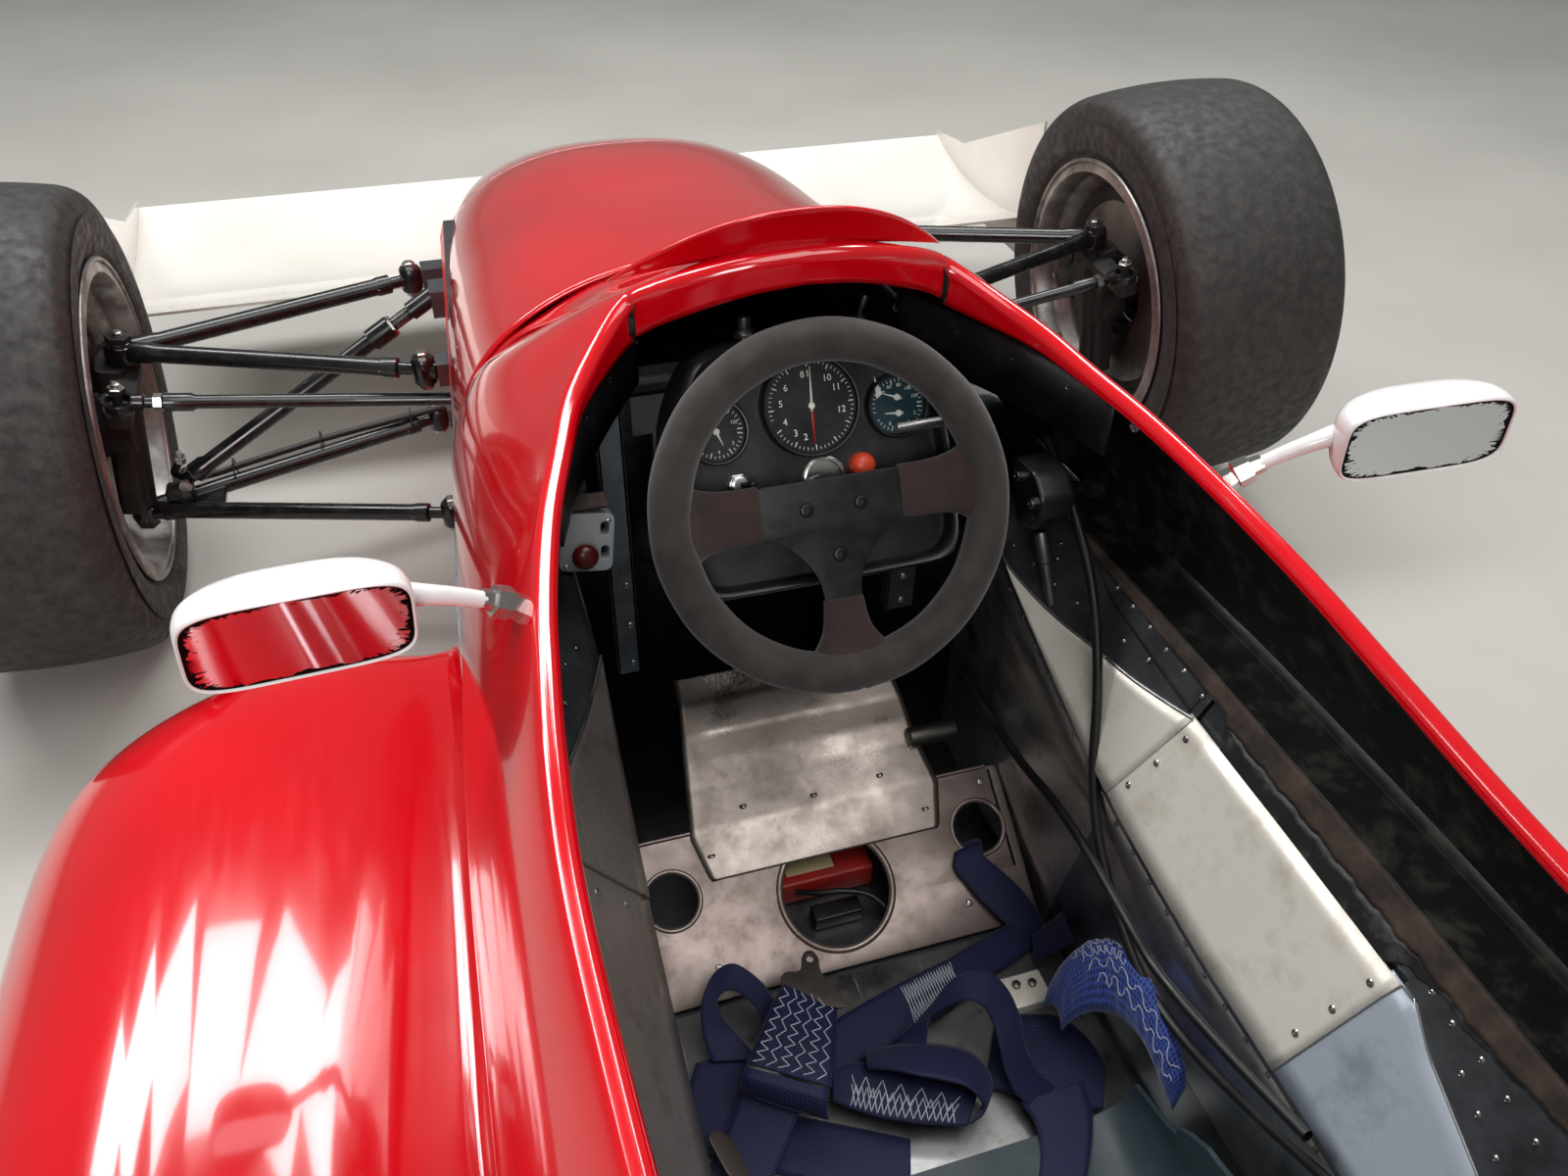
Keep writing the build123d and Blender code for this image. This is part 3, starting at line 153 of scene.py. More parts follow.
# Rod between two places, with its radius given at fractions of its length.
def rod(start, end, steps, count=16, up=(0.123, 0.2, 0.97)):
    start, end = place(start), place(end)
    steps = np.asarray(steps, float)
    path = start + (end - start) * steps[:, :1]
    path = path + (end - start) * np.arange(len(steps))[:, None] * 1e-6
    run = unit(end - start)
    side = unit(np.cross(run, up))
    rise = np.cross(side, run)
    ring = roundProfile(0.001, count)
    rings = path[:, None, :] + steps[:, 1][:, None, None] * (
        ring[None, :, :1] * side + ring[None, :, 1:] * rise)
    return grid(rings, wrapColumns=True, capStart=True, capEnd=True)


# Rod whose stations are (distance along it, radius), both in millimetres.
def steppedRod(start, end, length, steps, count):
    return rod(start, end, [(away / length, radius) for away, radius in steps], count)


# A profile of (along, radius) turned about an axis through the centre; all in metres.
def lathe(profile, centre, axis, count=48, closed=False):
    axis = unit(axis)
    side = unit(np.cross(axis, (0.0, 0.0, 1.0) if abs(axis[2]) < 0.9 else (0.0, 1.0, 0.0)))
    rise = np.cross(axis, side)
    angle = np.linspace(0, 2 * math.pi, count, endpoint=False)
    radial = np.cos(angle)[:, None] * side + np.sin(angle)[:, None] * rise
    profile = np.asarray(profile, float)
    rings = (np.asarray(centre, float) + profile[:, None, :1] * axis
             + profile[:, None, 1:] * radial[None, :, :])
    return grid(rings, wrapRows=closed, wrapColumns=True)


# Box with rounded edges: a sphere's points pushed out to the corners of the box.
def roundedBox(low, high, radius, count=4):
    low, high = place(low), place(high)
    middle, half = (low + high) / 2, np.abs(high - low) / 2
    radius = radius * 0.001
    turn = np.concatenate([np.linspace(q, q + 1, count) for q in range(4)]) * math.pi / 2
    lift = np.concatenate([np.linspace(-1, 0, count), np.linspace(0, 1, count)]) * math.pi / 2
    turnMiddle = (np.repeat(np.arange(4), count) + 0.5) * math.pi / 2
    liftSign = np.repeat([-1.0, 1.0], count)
    ball = np.stack(np.broadcast_arrays(np.cos(lift)[:, None] * np.cos(turn)[None, :],
                                        np.cos(lift)[:, None] * np.sin(turn)[None, :],
                                        np.sin(lift)[:, None]), -1)
    sign = np.stack(np.broadcast_arrays(np.sign(np.cos(turnMiddle))[None, :],
                                        np.sign(np.sin(turnMiddle))[None, :],
                                        liftSign[:, None]), -1)
    return grid(middle + sign * (half - radius) + ball * radius, wrapColumns=True,
                capStart=True, capEnd=True)


# Makes an object of a shape: doubles merged, faces turned outwards, then thickness and smoothing.
def piece(name, shape, materials, body="chassis", smooth=40, thick=None, inner=0, rim=0, bevel=None,
          subdivide=0, weld=1e-5, turn=True, replaces=(), uv=None, even=True):
    points, groups = shape
    mesh = bpy.data.meshes.new(name)
    mesh.vertices.add(len(points))
    mesh.vertices.foreach_set("co", np.ascontiguousarray(points, np.float32).ravel())
    loops = np.concatenate([group.ravel() for group in groups]).astype(np.int32)
    totals = np.concatenate([np.full(len(group), group.shape[1]) for group in groups])
    starts = np.concatenate([[0], np.cumsum(totals)[:-1]]).astype(np.int32)
    mesh.loops.add(len(loops))
    mesh.loops.foreach_set("vertex_index", loops)
    mesh.polygons.add(len(totals))
    mesh.polygons.foreach_set("loop_start", starts)
    if uv is not None:
        layer = mesh.uv_layers.new(name="UVMap")
        layer.data.foreach_set("uv", np.asarray(uv, np.float32)[loops].ravel())
    mesh.update(calc_edges=True)
    mesh.validate()
    work = bmesh.new()
    work.from_mesh(mesh)
    bmesh.ops.remove_doubles(work, verts=work.verts, dist=weld)
    bmesh.ops.dissolve_degenerate(work, edges=work.edges, dist=weld)
    if turn:
        bmesh.ops.recalc_face_normals(work, faces=work.faces)
    work.to_mesh(mesh)
    work.free()
    mesh.polygons.foreach_set("use_smooth", np.ones(len(mesh.polygons), bool))
    obj = bpy.data.objects.new(name, mesh)
    bpy.context.scene.collection.objects.link(obj)
    for material in materials if isinstance(materials, (list, tuple)) else [materials]:
        mesh.materials.append(material)
    if thick:
        wall = obj.modifiers.new("wall", "SOLIDIFY")
        wall.thickness = thick * 0.001
        wall.offset = -1
        wall.use_even_offset = even
        wall.material_offset = inner
        wall.material_offset_rim = rim
    if bevel:
        edge = obj.modifiers.new("edge", "BEVEL")
        edge.width = bevel * 0.001
        edge.segments = 2
        edge.angle_limit = math.radians(35)
    if subdivide:
        finer = obj.modifiers.new("finer", "SUBSURF")
        finer.levels = finer.render_levels = subdivide
    bpy.context.view_layer.objects.active = obj
    obj.select_set(True)
    bpy.ops.object.shade_smooth_by_angle(angle=math.radians(smooth))
    obj.select_set(False)
    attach(obj, body)
    if replaces:
        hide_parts(*([replaces] if isinstance(replaces, str) else replaces))
    return obj


print("stage: materials")


# Turns an sRGB hex colour into the linear values that the shaders take.
def colour(hexCode, alpha=1.0):
    part = np.array([int(hexCode[i:i + 2], 16) for i in (1, 3, 5)]) / 255
    linear = np.where(part <= 0.04045, part / 12.92, ((part + 0.055) / 1.055) ** 2.4)
    return (*[float(c) for c in linear], alpha)


# Adds one node; settings are its own values, inputs
# are sockets' values or the sockets they link from.
def addNode(tree, kind, settings=None, inputs=None):
    made = tree.nodes.new(kind)
    for key, value in (settings or {}).items():
        setattr(made, key, value)
    for key, value in (inputs or {}).items():
        if isinstance(value, bpy.types.NodeSocket):
            tree.links.new(value, made.inputs[key])
        else:
            made.inputs[key].default_value = value
    return made


# A material with its Principled shader's plain values, and the coordinates that its patterns read.
def startMaterial(name, base, roughness, metallic=0.0, coords="Object", **sockets):
    material = bpy.data.materials.new(name)
    material.use_nodes = True
    tree = material.node_tree
    shader = tree.nodes["Principled BSDF"]
    shader.inputs["Base Color"].default_value = colour(base)
    shader.inputs["Roughness"].default_value = roughness
    shader.inputs["Metallic"].default_value = metallic
    for key, value in sockets.items():
        shader.inputs[key.replace("_", " ")].default_value = value
    return material, tree, shader, addNode(tree, "ShaderNodeTexCoord").outputs[coords]


# Pattern scale for grains of a size in millimetres, since the coordinates are metres.
def grain(size):
    return 1000.0 / size


# Noise of a grain size, stretched along an axis by squeezing its coordinates.
def speckle(tree, coords, size, detail=4.0, rough=0.5, squeeze=(1, 1, 1)):
    spread = addNode(tree, "ShaderNodeMapping", inputs={"Vector": coords, "Scale": squeeze})
    return addNode(tree, "ShaderNodeTexNoise", inputs={
        "Vector": spread.outputs["Vector"], "Scale": grain(size), "Detail": detail,
        "Roughness": rough}).outputs["Fac"]


# Ramp from one value or colour to another between two levels of a pattern.
def between(tree, fac, low, high, first, second):
    ramp = addNode(tree, "ShaderNodeValToRGB", inputs={"Fac": fac})
    ramp.color_ramp.elements[0].position = low
    ramp.color_ramp.elements[1].position = high
    for element, value in zip(ramp.color_ramp.elements, (first, second)):
        element.color = colour(value) if isinstance(value, str) else (value, value, value, 1)
    return ramp.outputs["Color"]


# Bump of a pattern, with its height in millimetres, laid over the bump before it.
def bump(tree, height, depth, before=None, strength=1.0):
    inputs = {"Height": height, "Distance": depth * 0.001, "Strength": strength}
    if before is not None:
        inputs["Normal"] = before
    return addNode(tree, "ShaderNodeBump", inputs=inputs).outputs["Normal"]


# Mixes two colours by a factor.
def blendColours(tree, fac, first, second, mode="MIX"):
    made = addNode(tree, "ShaderNodeMix", {"data_type": "RGBA", "blend_type": mode})
    for index, value in ((0, fac), (6, first), (7, second)):
        if isinstance(value, bpy.types.NodeSocket):
            tree.links.new(value, made.inputs[index])
        else:
            made.inputs[index].default_value = colour(value) if isinstance(value, str) else value
    return made.outputs[2]


# One operation on values.
def calculate(tree, operation, *values):
    made = addNode(tree, "ShaderNodeMath", {"operation": operation})
    for index, value in enumerate(values):
        if isinstance(value, bpy.types.NodeSocket):
            tree.links.new(value, made.inputs[index])
        else:
            made.inputs[index].default_value = value
    return made.outputs[0]


# Polyester gelcoat on glass fibre: deep, glossy red with faint hand-laid waviness, fine wipe marks.
def makeGelcoat(name, base, deep):
    material, tree, shader, coords = startMaterial(name, base, 0.2, Coat_Weight=1.0,
                                                   Coat_Roughness=0.05)
    tone = between(tree, speckle(tree, coords, 180, 3), 0.35, 0.7, deep, base)
    wipes = speckle(tree, coords, 9, 6, 0.65, (1, 0.12, 1))
    shaderRough = between(tree, wipes, 0.45, 0.75, 0.13, 0.21)
    tree.links.new(tone, shader.inputs["Base Color"])
    tree.links.new(shaderRough, shader.inputs["Roughness"])
    waves = bump(tree, speckle(tree, coords, 70, 2), 0.35, strength=0.35)
    tree.links.new(bump(tree, speckle(tree, coords, 2.5, 3), 0.02, waves, 0.5),
                   shader.inputs["Normal"])
    tree.links.new(waves, shader.inputs["Coat Normal"])
    return material


redGelcoat = makeGelcoat("redGelcoat", "#D20014", "#C20010")
redInside = makeGelcoat("redInside", "#B4000C", "#9C000A")
whitePaint = makeGelcoat("whitePaint", "#E4E1DB", "#D9D5CD")


# Moulded slick rubber, scrubbed by the road: dull brown grey, torn grain, pick-up and dried dust.
def makeRubber():
    material, tree, shader, coords = startMaterial("slickRubber", "#2A2827", 0.72)
    dust = between(tree, speckle(tree, coords, 16, 6, 0.7), 0.42, 0.72, "#201F1E", "#464340")
    fine = between(tree, speckle(tree, coords, 3, 5, 0.7), 0.35, 0.75, "#1A1918", "#3C3936")
    tone = blendColours(tree, 0.5, dust, fine)
    tree.links.new(tone, shader.inputs["Base Color"])
    tree.links.new(between(tree, speckle(tree, coords, 12, 5), 0.35, 0.7, 0.5, 0.85),
                   shader.inputs["Roughness"])
    torn = bump(tree, speckle(tree, coords, 1.6, 5, 0.7), 0.5, strength=0.6)
    clots = addNode(tree, "ShaderNodeTexVoronoi", {"feature": "SMOOTH_F1"},
                    {"Vector": coords, "Scale": grain(7), "Smoothness": 0.6}).outputs["Distance"]
    tree.links.new(bump(tree, clots, 0.6, torn, 0.35), shader.inputs["Normal"])
    return material


slickRubber = makeRubber()


# Metal with the marks of its making and use: scratches one way, blotches of dirt, uneven roughness.
def makeMetal(name, base, dirt, roughness, scratch=0.3, squeeze=(0.08, 1, 1), metallic=1.0,
              grit=0.7,
              dirtLevel=(0.52, 0.75)):
    material, tree, shader, coords = startMaterial(name, base, roughness, metallic)
    lines = speckle(tree, coords, grit, 3, 0.6, squeeze)
    blotch = speckle(tree, coords, 45, 5, 0.65)
    dirty = between(tree, blotch, dirtLevel[0], dirtLevel[1], base, dirt)
    tree.links.new(dirty, shader.inputs["Base Color"])
    spread = between(tree, blotch, 0.3, 0.7, max(roughness - 0.1, 0.05), roughness + 0.14)
    scored = between(tree, speckle(tree, coords, 2.2, 6, 0.75, (1, 0.05, 1)), 0.6, 0.68, 0.0, 0.25)
    tree.links.new(calculate(tree, "ADD", spread, scored), shader.inputs["Roughness"])
    tree.links.new(bump(tree, lines, 0.05, strength=scratch), shader.inputs["Normal"])
    return material


# Sheet aluminium, rolled and left bare: silvery, scratched by boots and hands, grey where dirty.
sheetAluminium = makeMetal("sheetAluminium", "#C6C7C6", "#8B8580", 0.34)
# The same sheet where a hand has polished it less: blue grey and flatter.
dullAluminium = makeMetal("dullAluminium", "#8C9298", "#5F6468", 0.42)
# Cast magnesium wheels with brake dust baked on.
castRim = makeMetal("castRim", "#A6A39E", "#66625E", 0.42, 0.5, (1, 1, 1), 0.85, 1.4, (0.4, 0.7))
# Cast and shot-blasted alloy of the gearbox and engine.
castAlloy = makeMetal("castAlloy", "#8E8D8A", "#5A5752", 0.55, 0.8, (1, 1, 1), 0.9, 1.1)
engineAlloy = makeMetal("engineAlloy", "#55565A", "#2A2A2C", 0.6, 0.8, (1, 1, 1), 0.8, 1.1)
# Machined and plated steel of nuts, discs and shafts.
brightSteel = makeMetal("brightSteel", "#C9C8C4", "#7D7871", 0.24, 0.3, (1, 1, 1), 1.0, 0.5)
discSteel = makeMetal("discSteel", "#7E7A75", "#55504B", 0.36, 0.5, (1, 1, 1), 1.0, 0.6)
# Exhaust pipe: brushed steel that heat has turned straw and blue.
exhaustSteel = makeMetal("exhaustSteel", "#9C8468", "#4A4C5C", 0.38, 0.3, (1, 1, 1), 1.0, 0.8,
                         (0.4, 0.62))
# Dark cast magnesium of uprights and calipers, oily and dusty.
darkCasting = makeMetal("darkCasting", "#2C2B2B", "#47423D", 0.55, 0.7, (1, 1, 1), 0.4, 1.2)


# Enamel, moulded plastic and painted parts: one
# colour, a little dust in the roughness, a fine skin.
def makeCoating(name, base, dusty, roughness, grit=1.2, relief=0.05, level=(0.5, 0.8), **sockets):
    material, tree, shader, coords = startMaterial(name, base, roughness, **sockets)
    cloud = speckle(tree, coords, 30, 5, 0.65)
    tree.links.new(between(tree, cloud, level[0], level[1], base, dusty),
                   shader.inputs["Base Color"])
    tree.links.new(between(tree, cloud, 0.35, 0.75, max(roughness - 0.06, 0.03), roughness + 0.16),
                   shader.inputs["Roughness"])
    tree.links.new(bump(tree, speckle(tree, coords, grit, 4, 0.6), relief, strength=0.5),
                   shader.inputs["Normal"])
    return material


# Stoved black enamel on the suspension tubes: glossy, with clouds of road dust.
blackEnamel = makeCoating("blackEnamel", "#0D0D0E", "#24211F", 0.26, Coat_Weight=0.4)
# Black glass fibre inside the cockpit surround: dull, with a scuffed dusty cloud.
blackComposite = makeCoating("blackComposite", "#141413", "#4A4840", 0.5, 3.0, 0.25, (0.5, 0.78))
# Vacuum-formed black dash: satin leather grain.
blackMoulding = makeCoating("blackMoulding", "#131315", "#232224", 0.38, 1.5, 0.12)
# Rubber edging and dried glue along the sill: brown, crumbly.
brownTrim = makeCoating("brownTrim", "#302723", "#5A4A40", 0.8, 3.5, 0.9, (0.4, 0.7))
# Flexible sheath of the control cables.
cableSheath = makeCoating("cableSheath", "#111112", "#232323", 0.42)
# Plain grey of the switch box.
greyBox = makeCoating("greyBox", "#8A8C8D", "#6E6D6B", 0.5)
# Glossy mouldings: white mirror housings, red box, red and orange caps, black floor laminate.
mirrorWhite = makeCoating("mirrorWhite", "#E6E3E2", "#D2CDCA", 0.2, 2.0, 0.02, Coat_Weight=0.6)
redMoulding = makeCoating("redMoulding", "#9E1F1A", "#6A2A22", 0.45)
knobRed = makeCoating("knobRed", "#4A0E10", "#5C1A18", 0.3)
orangeCap = makeCoating("orangeCap", "#D0452A", "#B03A24", 0.35)
floorLaminate = makeCoating("floorLaminate", "#1A1A1B", "#2B2927", 0.5)
radiatorCore = makeCoating("radiatorCore", "#17181A", "#2E2C2A", 0.5)
anodisedBlack = makeCoating("anodisedBlack", "#0C0D10", "#16171A", 0.36, 0.8, 0.03)
blankLabel = makeCoating("blankLabel", "#C9B98A", "#A89A72", 0.5)
blackLabel = makeCoating("blackLabel", "#08080A", "#151515", 0.35)
dialBlack = makeCoating("dialBlack", "#08090B", "#101114", 0.35)
dialBlue = makeCoating("dialBlue", "#12313B", "#183A44", 0.35)
dialWhite = makeCoating("dialWhite", "#D8D8CE", "#C8C8BC", 0.5)
needleRed = makeCoating("needleRed", "#C02A22", "#A02018", 0.45)


# Suede on the steering wheel: a short nap that fades and goes dark where hands hold it.
def makeSuede(name, base, worn, nap):
    material, tree, shader, coords = startMaterial(name, base, 0.92, Sheen_Weight=0.25,
                                                   Sheen_Roughness=0.5)
    patch = between(tree, speckle(tree, coords, 28, 5, 0.6), 0.38, 0.66, base, worn)
    hair = between(tree, speckle(tree, coords, 1.3, 4, 0.7), 0.3, 0.75, "#000000", nap)
    tree.links.new(blendColours(tree, 0.3, patch, hair, "ADD"), shader.inputs["Base Color"])
    tree.links.new(bump(tree, speckle(tree, coords, 1.2, 4, 0.7), 0.35, strength=0.7),
                   shader.inputs["Normal"])
    return material


gripSuede = makeSuede("gripSuede", "#352E2B", "#231D1B", "#332D2A")
spokeSuede = makeSuede("spokeSuede", "#33211E", "#221715", "#281C1A")
headrestVinyl = makeCoating("headrestVinyl", "#121213", "#1E1D1D", 0.5, 1.6, 0.2)


# Woven nylon webbing: ribs across the width and twill
# along it, on the strap's own UV in millimetres.
def makeWebbing():
    material, tree, shader, coords = startMaterial("navyShadedWebbing", "#141B52", 0.62, coords="UV",
                                                   Sheen_Weight=0.12, Sheen_Roughness=0.4)
    ribs = addNode(tree, "ShaderNodeTexWave", {"bands_direction": "X"},
                   {"Vector": coords, "Scale": 0.16, "Distortion": 0.4, "Detail Scale": 0.5})
    twill = addNode(tree, "ShaderNodeTexWave", {"bands_direction": "DIAGONAL"},
                    {"Vector": coords, "Scale": 0.22, "Distortion": 0.2})
    weave = calculate(tree, "MULTIPLY", ribs.outputs["Fac"], twill.outputs["Fac"])
    # The navy is darkened to the shade that the straps lie in: navy webbing with painted shade.
    tree.links.new(between(tree, weave, 0.0, 0.7, "#070B2C", "#161F5E"),
                   shader.inputs["Base Color"])
    tree.links.new(bump(tree, weave, 0.35, strength=0.8), shader.inputs["Normal"])
    return material


# Knitted mesh over foam: round holes 3 mm apart between
# lighter threads, on the pad's UV in millimetres.
def makeMeshCloth():
    material, tree, shader, coords = startMaterial("blueMesh", "#24398A", 0.75, coords="UV",
                                                   Sheen_Weight=0.5, Sheen_Roughness=0.4)
    holes = addNode(tree, "ShaderNodeTexVoronoi", {"feature": "F1", "voronoi_dimensions": "2D"},
                    {"Vector": coords, "Scale": 0.3, "Randomness": 0.15}).outputs["Distance"]
    tree.links.new(between(tree, holes, 0.15, 0.5, "#0A1238", "#3A55AE"),
                   shader.inputs["Base Color"])
    tree.links.new(bump(tree, holes, 0.8, strength=0.7), shader.inputs["Normal"])
    return material


navyShadedWebbing = makeWebbing()
blueMesh = makeMeshCloth()
whiteThread = makeCoating("whiteThread", "#C9CBD6", "#A8AABB", 0.8)

print("stage: bodywork")

# Nose: ahead, half width, top, height of the greatest width, bottom; squareness above and below it.
nose = {
    "stations": [(-358, 260, 550, 345, 44), (-100, 250, 508, 330, 46), (170, 236, 462, 300, 50),
                 (400, 206, 386, 255, 58), (600, 172, 308, 202, 70), (720, 132, 246, 170, 90),
                 (775, 86, 211, 155, 116), (800, 4, 178, 150, 142)],
    "upperPower": 2.4, "lowerPower": 4.5, "hoodEdge": 388.0, "hoodEnd": 174.0, "wall": 4.0,
}


# Half section of the body: a superellipse from the top centre out to the widest height, then down.
def noseHalf(station, heights):
    _, half, top, widest, bottom = station
    up = np.clip((heights - widest) / (top - widest), 0, 1)
    down = np.clip((widest - heights) / (widest - bottom), 0, 1)
    above = (1 - up ** nose["upperPower"]) ** (1 / nose["upperPower"])
    below = (1 - down ** nose["lowerPower"]) ** (1 / nose["lowerPower"])
    return half * np.where(heights > widest, above, below)


# Half ring at a station, from the top down to the lowest height or to the bottom.
def noseRing(station, lowest, count):
    turn = np.linspace(0, math.pi / 2, count)
    _, half, top, widest, bottom = station
    upper = widest + (top - widest) * np.cos(turn) ** (2 / nose["upperPower"])
    if lowest > bottom:
        heights = lowest + (top - lowest) * np.cos(turn) ** (2 / nose["upperPower"])
    else:
        lower = widest - (widest - bottom) * np.sin(turn) ** (2 / nose["lowerPower"])
        heights = np.concatenate([upper, lower[1:]])
    x = noseHalf(station, heights)
    x[0] = 0.0
    if lowest <= bottom:
        x[-1] = 0.0
    return np.stack([x, np.full(len(x), station[0]), heights], -1)


# Half rings evenly spaced between two places ahead.
def noseRings(first, last, lowest, count, rows):
    table = through(nose["stations"], 200)
    spots = np.linspace(first, last, rows)
    return [noseRing([a] + [np.interp(a, table[:, 0], table[:, k]) for k in range(1, 5)], lowest,
                     count)
            for a in spots]


# The hood over the driver's legs ends at the seam; the cone in front of it is closed below.
def buildNose():
    hood = place(noseRings(-358, nose["hoodEnd"], nose["hoodEdge"], 41, 60))
    hood = np.concatenate([otherRing(hood)[:, ::-1], hood[:, 1:]], 1)
    cone = place(noseRings(nose["hoodEnd"], 800, -1, 24, 70))
    cone = np.concatenate([otherRing(cone)[:, ::-1], cone[:, 1:]], 1)
    piece("noseHood", grid(hood), [redGelcoat, redInside], thick=nose["wall"], inner=1,
          replaces="nose_cone")
    piece("noseConeShell", grid(cone), [redGelcoat, redInside], thick=nose["wall"], inner=1,
          weld=1e-4)


# Points mirrored to the other side of the car.
def otherRing(points):
    return points * np.array([-1.0, 1.0, 1.0])


buildNose()

# Cockpit surround. Each row ties a place on the rim's crest to the
# place on the hem that it flows to: crest x, ahead, z; hem x, ahead,
# z; crest fall; hem direction ahead and up; depth of the red flange.
surround = {
    "rows": [
        (0, -564, 639, 0, -362, 549, 0.16, 1.0, -0.17, 24),
        (40, -561, 636, 56, -362, 546, 0.17, 1.0, -0.17, 26),
        (84, -551, 625, 118, -362, 534, 0.22, 1.0, -0.17, 30),
        (112, -539, 613, 165, -362, 512, 0.32, 0.98, -0.2, 34),
        (126, -538, 604, 206, -362, 486, 0.45, 0.9, -0.4, 33),
        (148, -562, 591, 238, -364, 444, 0.7, 0.6, -0.75, 26),
        (175, -605, 576, 262, -400, 389, 0.95, 0.2, -0.98, 16),
        (192, -653, 565, 270, -520, 388, 1.1, 0.03, -1.0, 11),
        (208, -707, 556, 278, -650, 388, 1.2, 0.0, -1.0, 9),
        (221, -771, 546, 286, -750, 388, 1.2, 0.0, -1.0, 8),
        (228, -823, 539, 290, -815, 388, 1.2, 0.0, -1.0, 8),
        (234, -880, 531, 293, -878, 388, 1.2, 0.0, -1.0, 8),
        (238, -953, 521, 295, -953, 388, 1.2, 0.0, -1.0, 8),
        (236, -1045, 516, 297, -1045, 388, 1.2, 0.0, -1.0, 8),
        (231, -1140, 518, 299, -1140, 388, 1.2, 0.0, -1.0, 8),
        (219, -1235, 527, 300, -1240, 388, 1.1, 0.0, -1.0, 10),
        (196, -1320, 543, 299, -1350, 388, 0.9, -0.1, -1.0, 12),
        (158, -1376, 562, 292, -1436, 410, 0.6, -0.6, -0.7, 14),
        (96, -1406, 582, 205, -1443, 560, 0.2, -1.0, 0.1, 16),
        (0, -1414, 590, 0, -1443, 632, 0.0, -1.0, 0.2, 18),
    ],
    "rollRadius": 8.0, "wall": 4.0, "crestPull": 0.75, "hemPull": 0.95,
}


# The crest's roll is a quarter circle inwards, then the flange drops; outwards a cubic runs to
# the hem with the crest's outward fall as its first slope and the hem's direction as its last.
def surroundGrid():
    table = through(surround["rows"], 150)
    table[0, 0] = table[0, 3] = table[-1, 0] = table[-1, 3] = 0.0
    crest, hem = place(table[:, 0:3]), place(table[:, 3:6])
    run = np.gradient(crest, axis=0)
    run[0, 1:] = run[-1, 1:] = 0.0
    out = np.stack([-run[:, 1], run[:, 0], np.zeros(len(run))], -1)
    out /= np.linalg.norm(out, axis=1)[:, None]
    out[0], out[-1] = (0, 1, 0), (0, -1, 0)
    fall = table[:, 6:7]
    first = out + fall * np.array([0.0, 0.0, -1.0])
    first /= np.linalg.norm(first, axis=1)[:, None]
    last = np.stack([np.zeros(len(table)), table[:, 7], table[:, 8]], -1)
    last /= np.linalg.norm(last, axis=1)[:, None]
    reach = np.linalg.norm(hem - crest, axis=1)[:, None]
    radius = surround["rollRadius"] * 0.001
    up = np.array([0.0, 0.0, 1.0])
    middle = crest - up * radius
    lines = []
    depth = table[:, 9:10] * 0.001
    for share in np.linspace(1, 0, 5)[:-1]:
        lines.append(middle - out * radius - up * np.maximum(depth - radius, 0.0004) * share)
    for angle in np.linspace(math.pi, math.pi / 2, 7):
        lines.append(middle + radius * (math.cos(angle) * out + math.sin(angle) * up))
    # the roll carries on outwards until it meets the slope of the fall
    for share in np.linspace(0.15, 1, 6):
        angle = math.pi / 2 - share * np.arctan(fall)
        lines.append(middle + radius * (np.cos(angle) * out + np.sin(angle) * up))
    start = lines[-1]
    for t in np.linspace(0, 1, 26)[1:]:
        lines.append((2 * t**3 - 3 * t**2 + 1) * start + (t**3 - 2 * t**2 + t) * first * reach
                     * surround["crestPull"] + (-2 * t**3 + 3 * t**2) * hem
                     + (t**3 - t**2) * last * reach * surround["hemPull"])
    half = np.stack(lines, 1)
    return np.concatenate([otherRing(half)[1:-1][::-1], half], 0)


# One skin right round the opening: red outside and on its edge, black inside.
def buildSurround():
    lines = surroundGrid()
    piece("cockpitSurround", grid(lines, wrapRows=True), [redGelcoat, blackComposite, redGelcoat],
          thick=surround["wall"], inner=1, rim=2, even=False, replaces="cockpit_surround")


buildSurround()

# Windscreen lip: half width, how far ahead of the
# crest it stands, its height in the middle, its lean.
lip = {"half": 130.0, "ahead": -540.0, "sweep": 34.0, "base": 633.0, "drop": 26.0, "height": 34.0,
       "lean": 9.0, "wall": 2.6}


# The base follows the scuttle in a parabola; the top edge rises over it as one minus the square.
def buildLip():
    x = np.linspace(-1, 1, 81)
    rise = np.linspace(0, 1, 9)[:, None]
    height = lip["height"] * (1 - np.abs(x) ** 2.2)
    z = lip["base"] - lip["drop"] * x**2 + rise * height - 3
    ahead = lip["ahead"] + lip["sweep"] * x**2 - lip["lean"] * rise ** 1.5 * (1 - x**2) * 1.6
    points = np.stack(np.broadcast_arrays(lip["half"] * x, ahead, z), -1)
    piece("windscreenLip", grid(place(points)), redGelcoat, thick=lip["wall"],
          replaces="windscreen_lip")


buildLip()

# Pods: ahead, outer half width, shoulder height,
# crown half width, crown height, height at the body.
pods = {
    "left": [(-512, 410, 268, 372, 288, 282), (-520, 470, 262, 400, 303, 290),
             (-545, 530, 258, 430, 322, 297), (-590, 580, 250, 455, 339, 302),
             (-650, 606, 240, 470, 350, 306), (-760, 618, 232, 476, 358, 308),
             (-950, 624, 228, 476, 362, 308), (-1250, 624, 226, 470, 358, 306),
             (-1600, 612, 210, 450, 338, 296), (-1900, 562, 175, 405, 302, 276)],
    "right": [(-614, 380, 238, 350, 268, 262), (-626, 414, 232, 366, 282, 270),
              (-650, 438, 228, 380, 296, 280), (-700, 454, 222, 390, 306, 290),
              (-900, 465, 216, 394, 312, 292), (-1500, 465, 206, 390, 302, 286),
              (-1900, 432, 170, 365, 272, 262)],
    "bottom": 44.0, "wall": 4.0, "filletReach": 26.0,
}


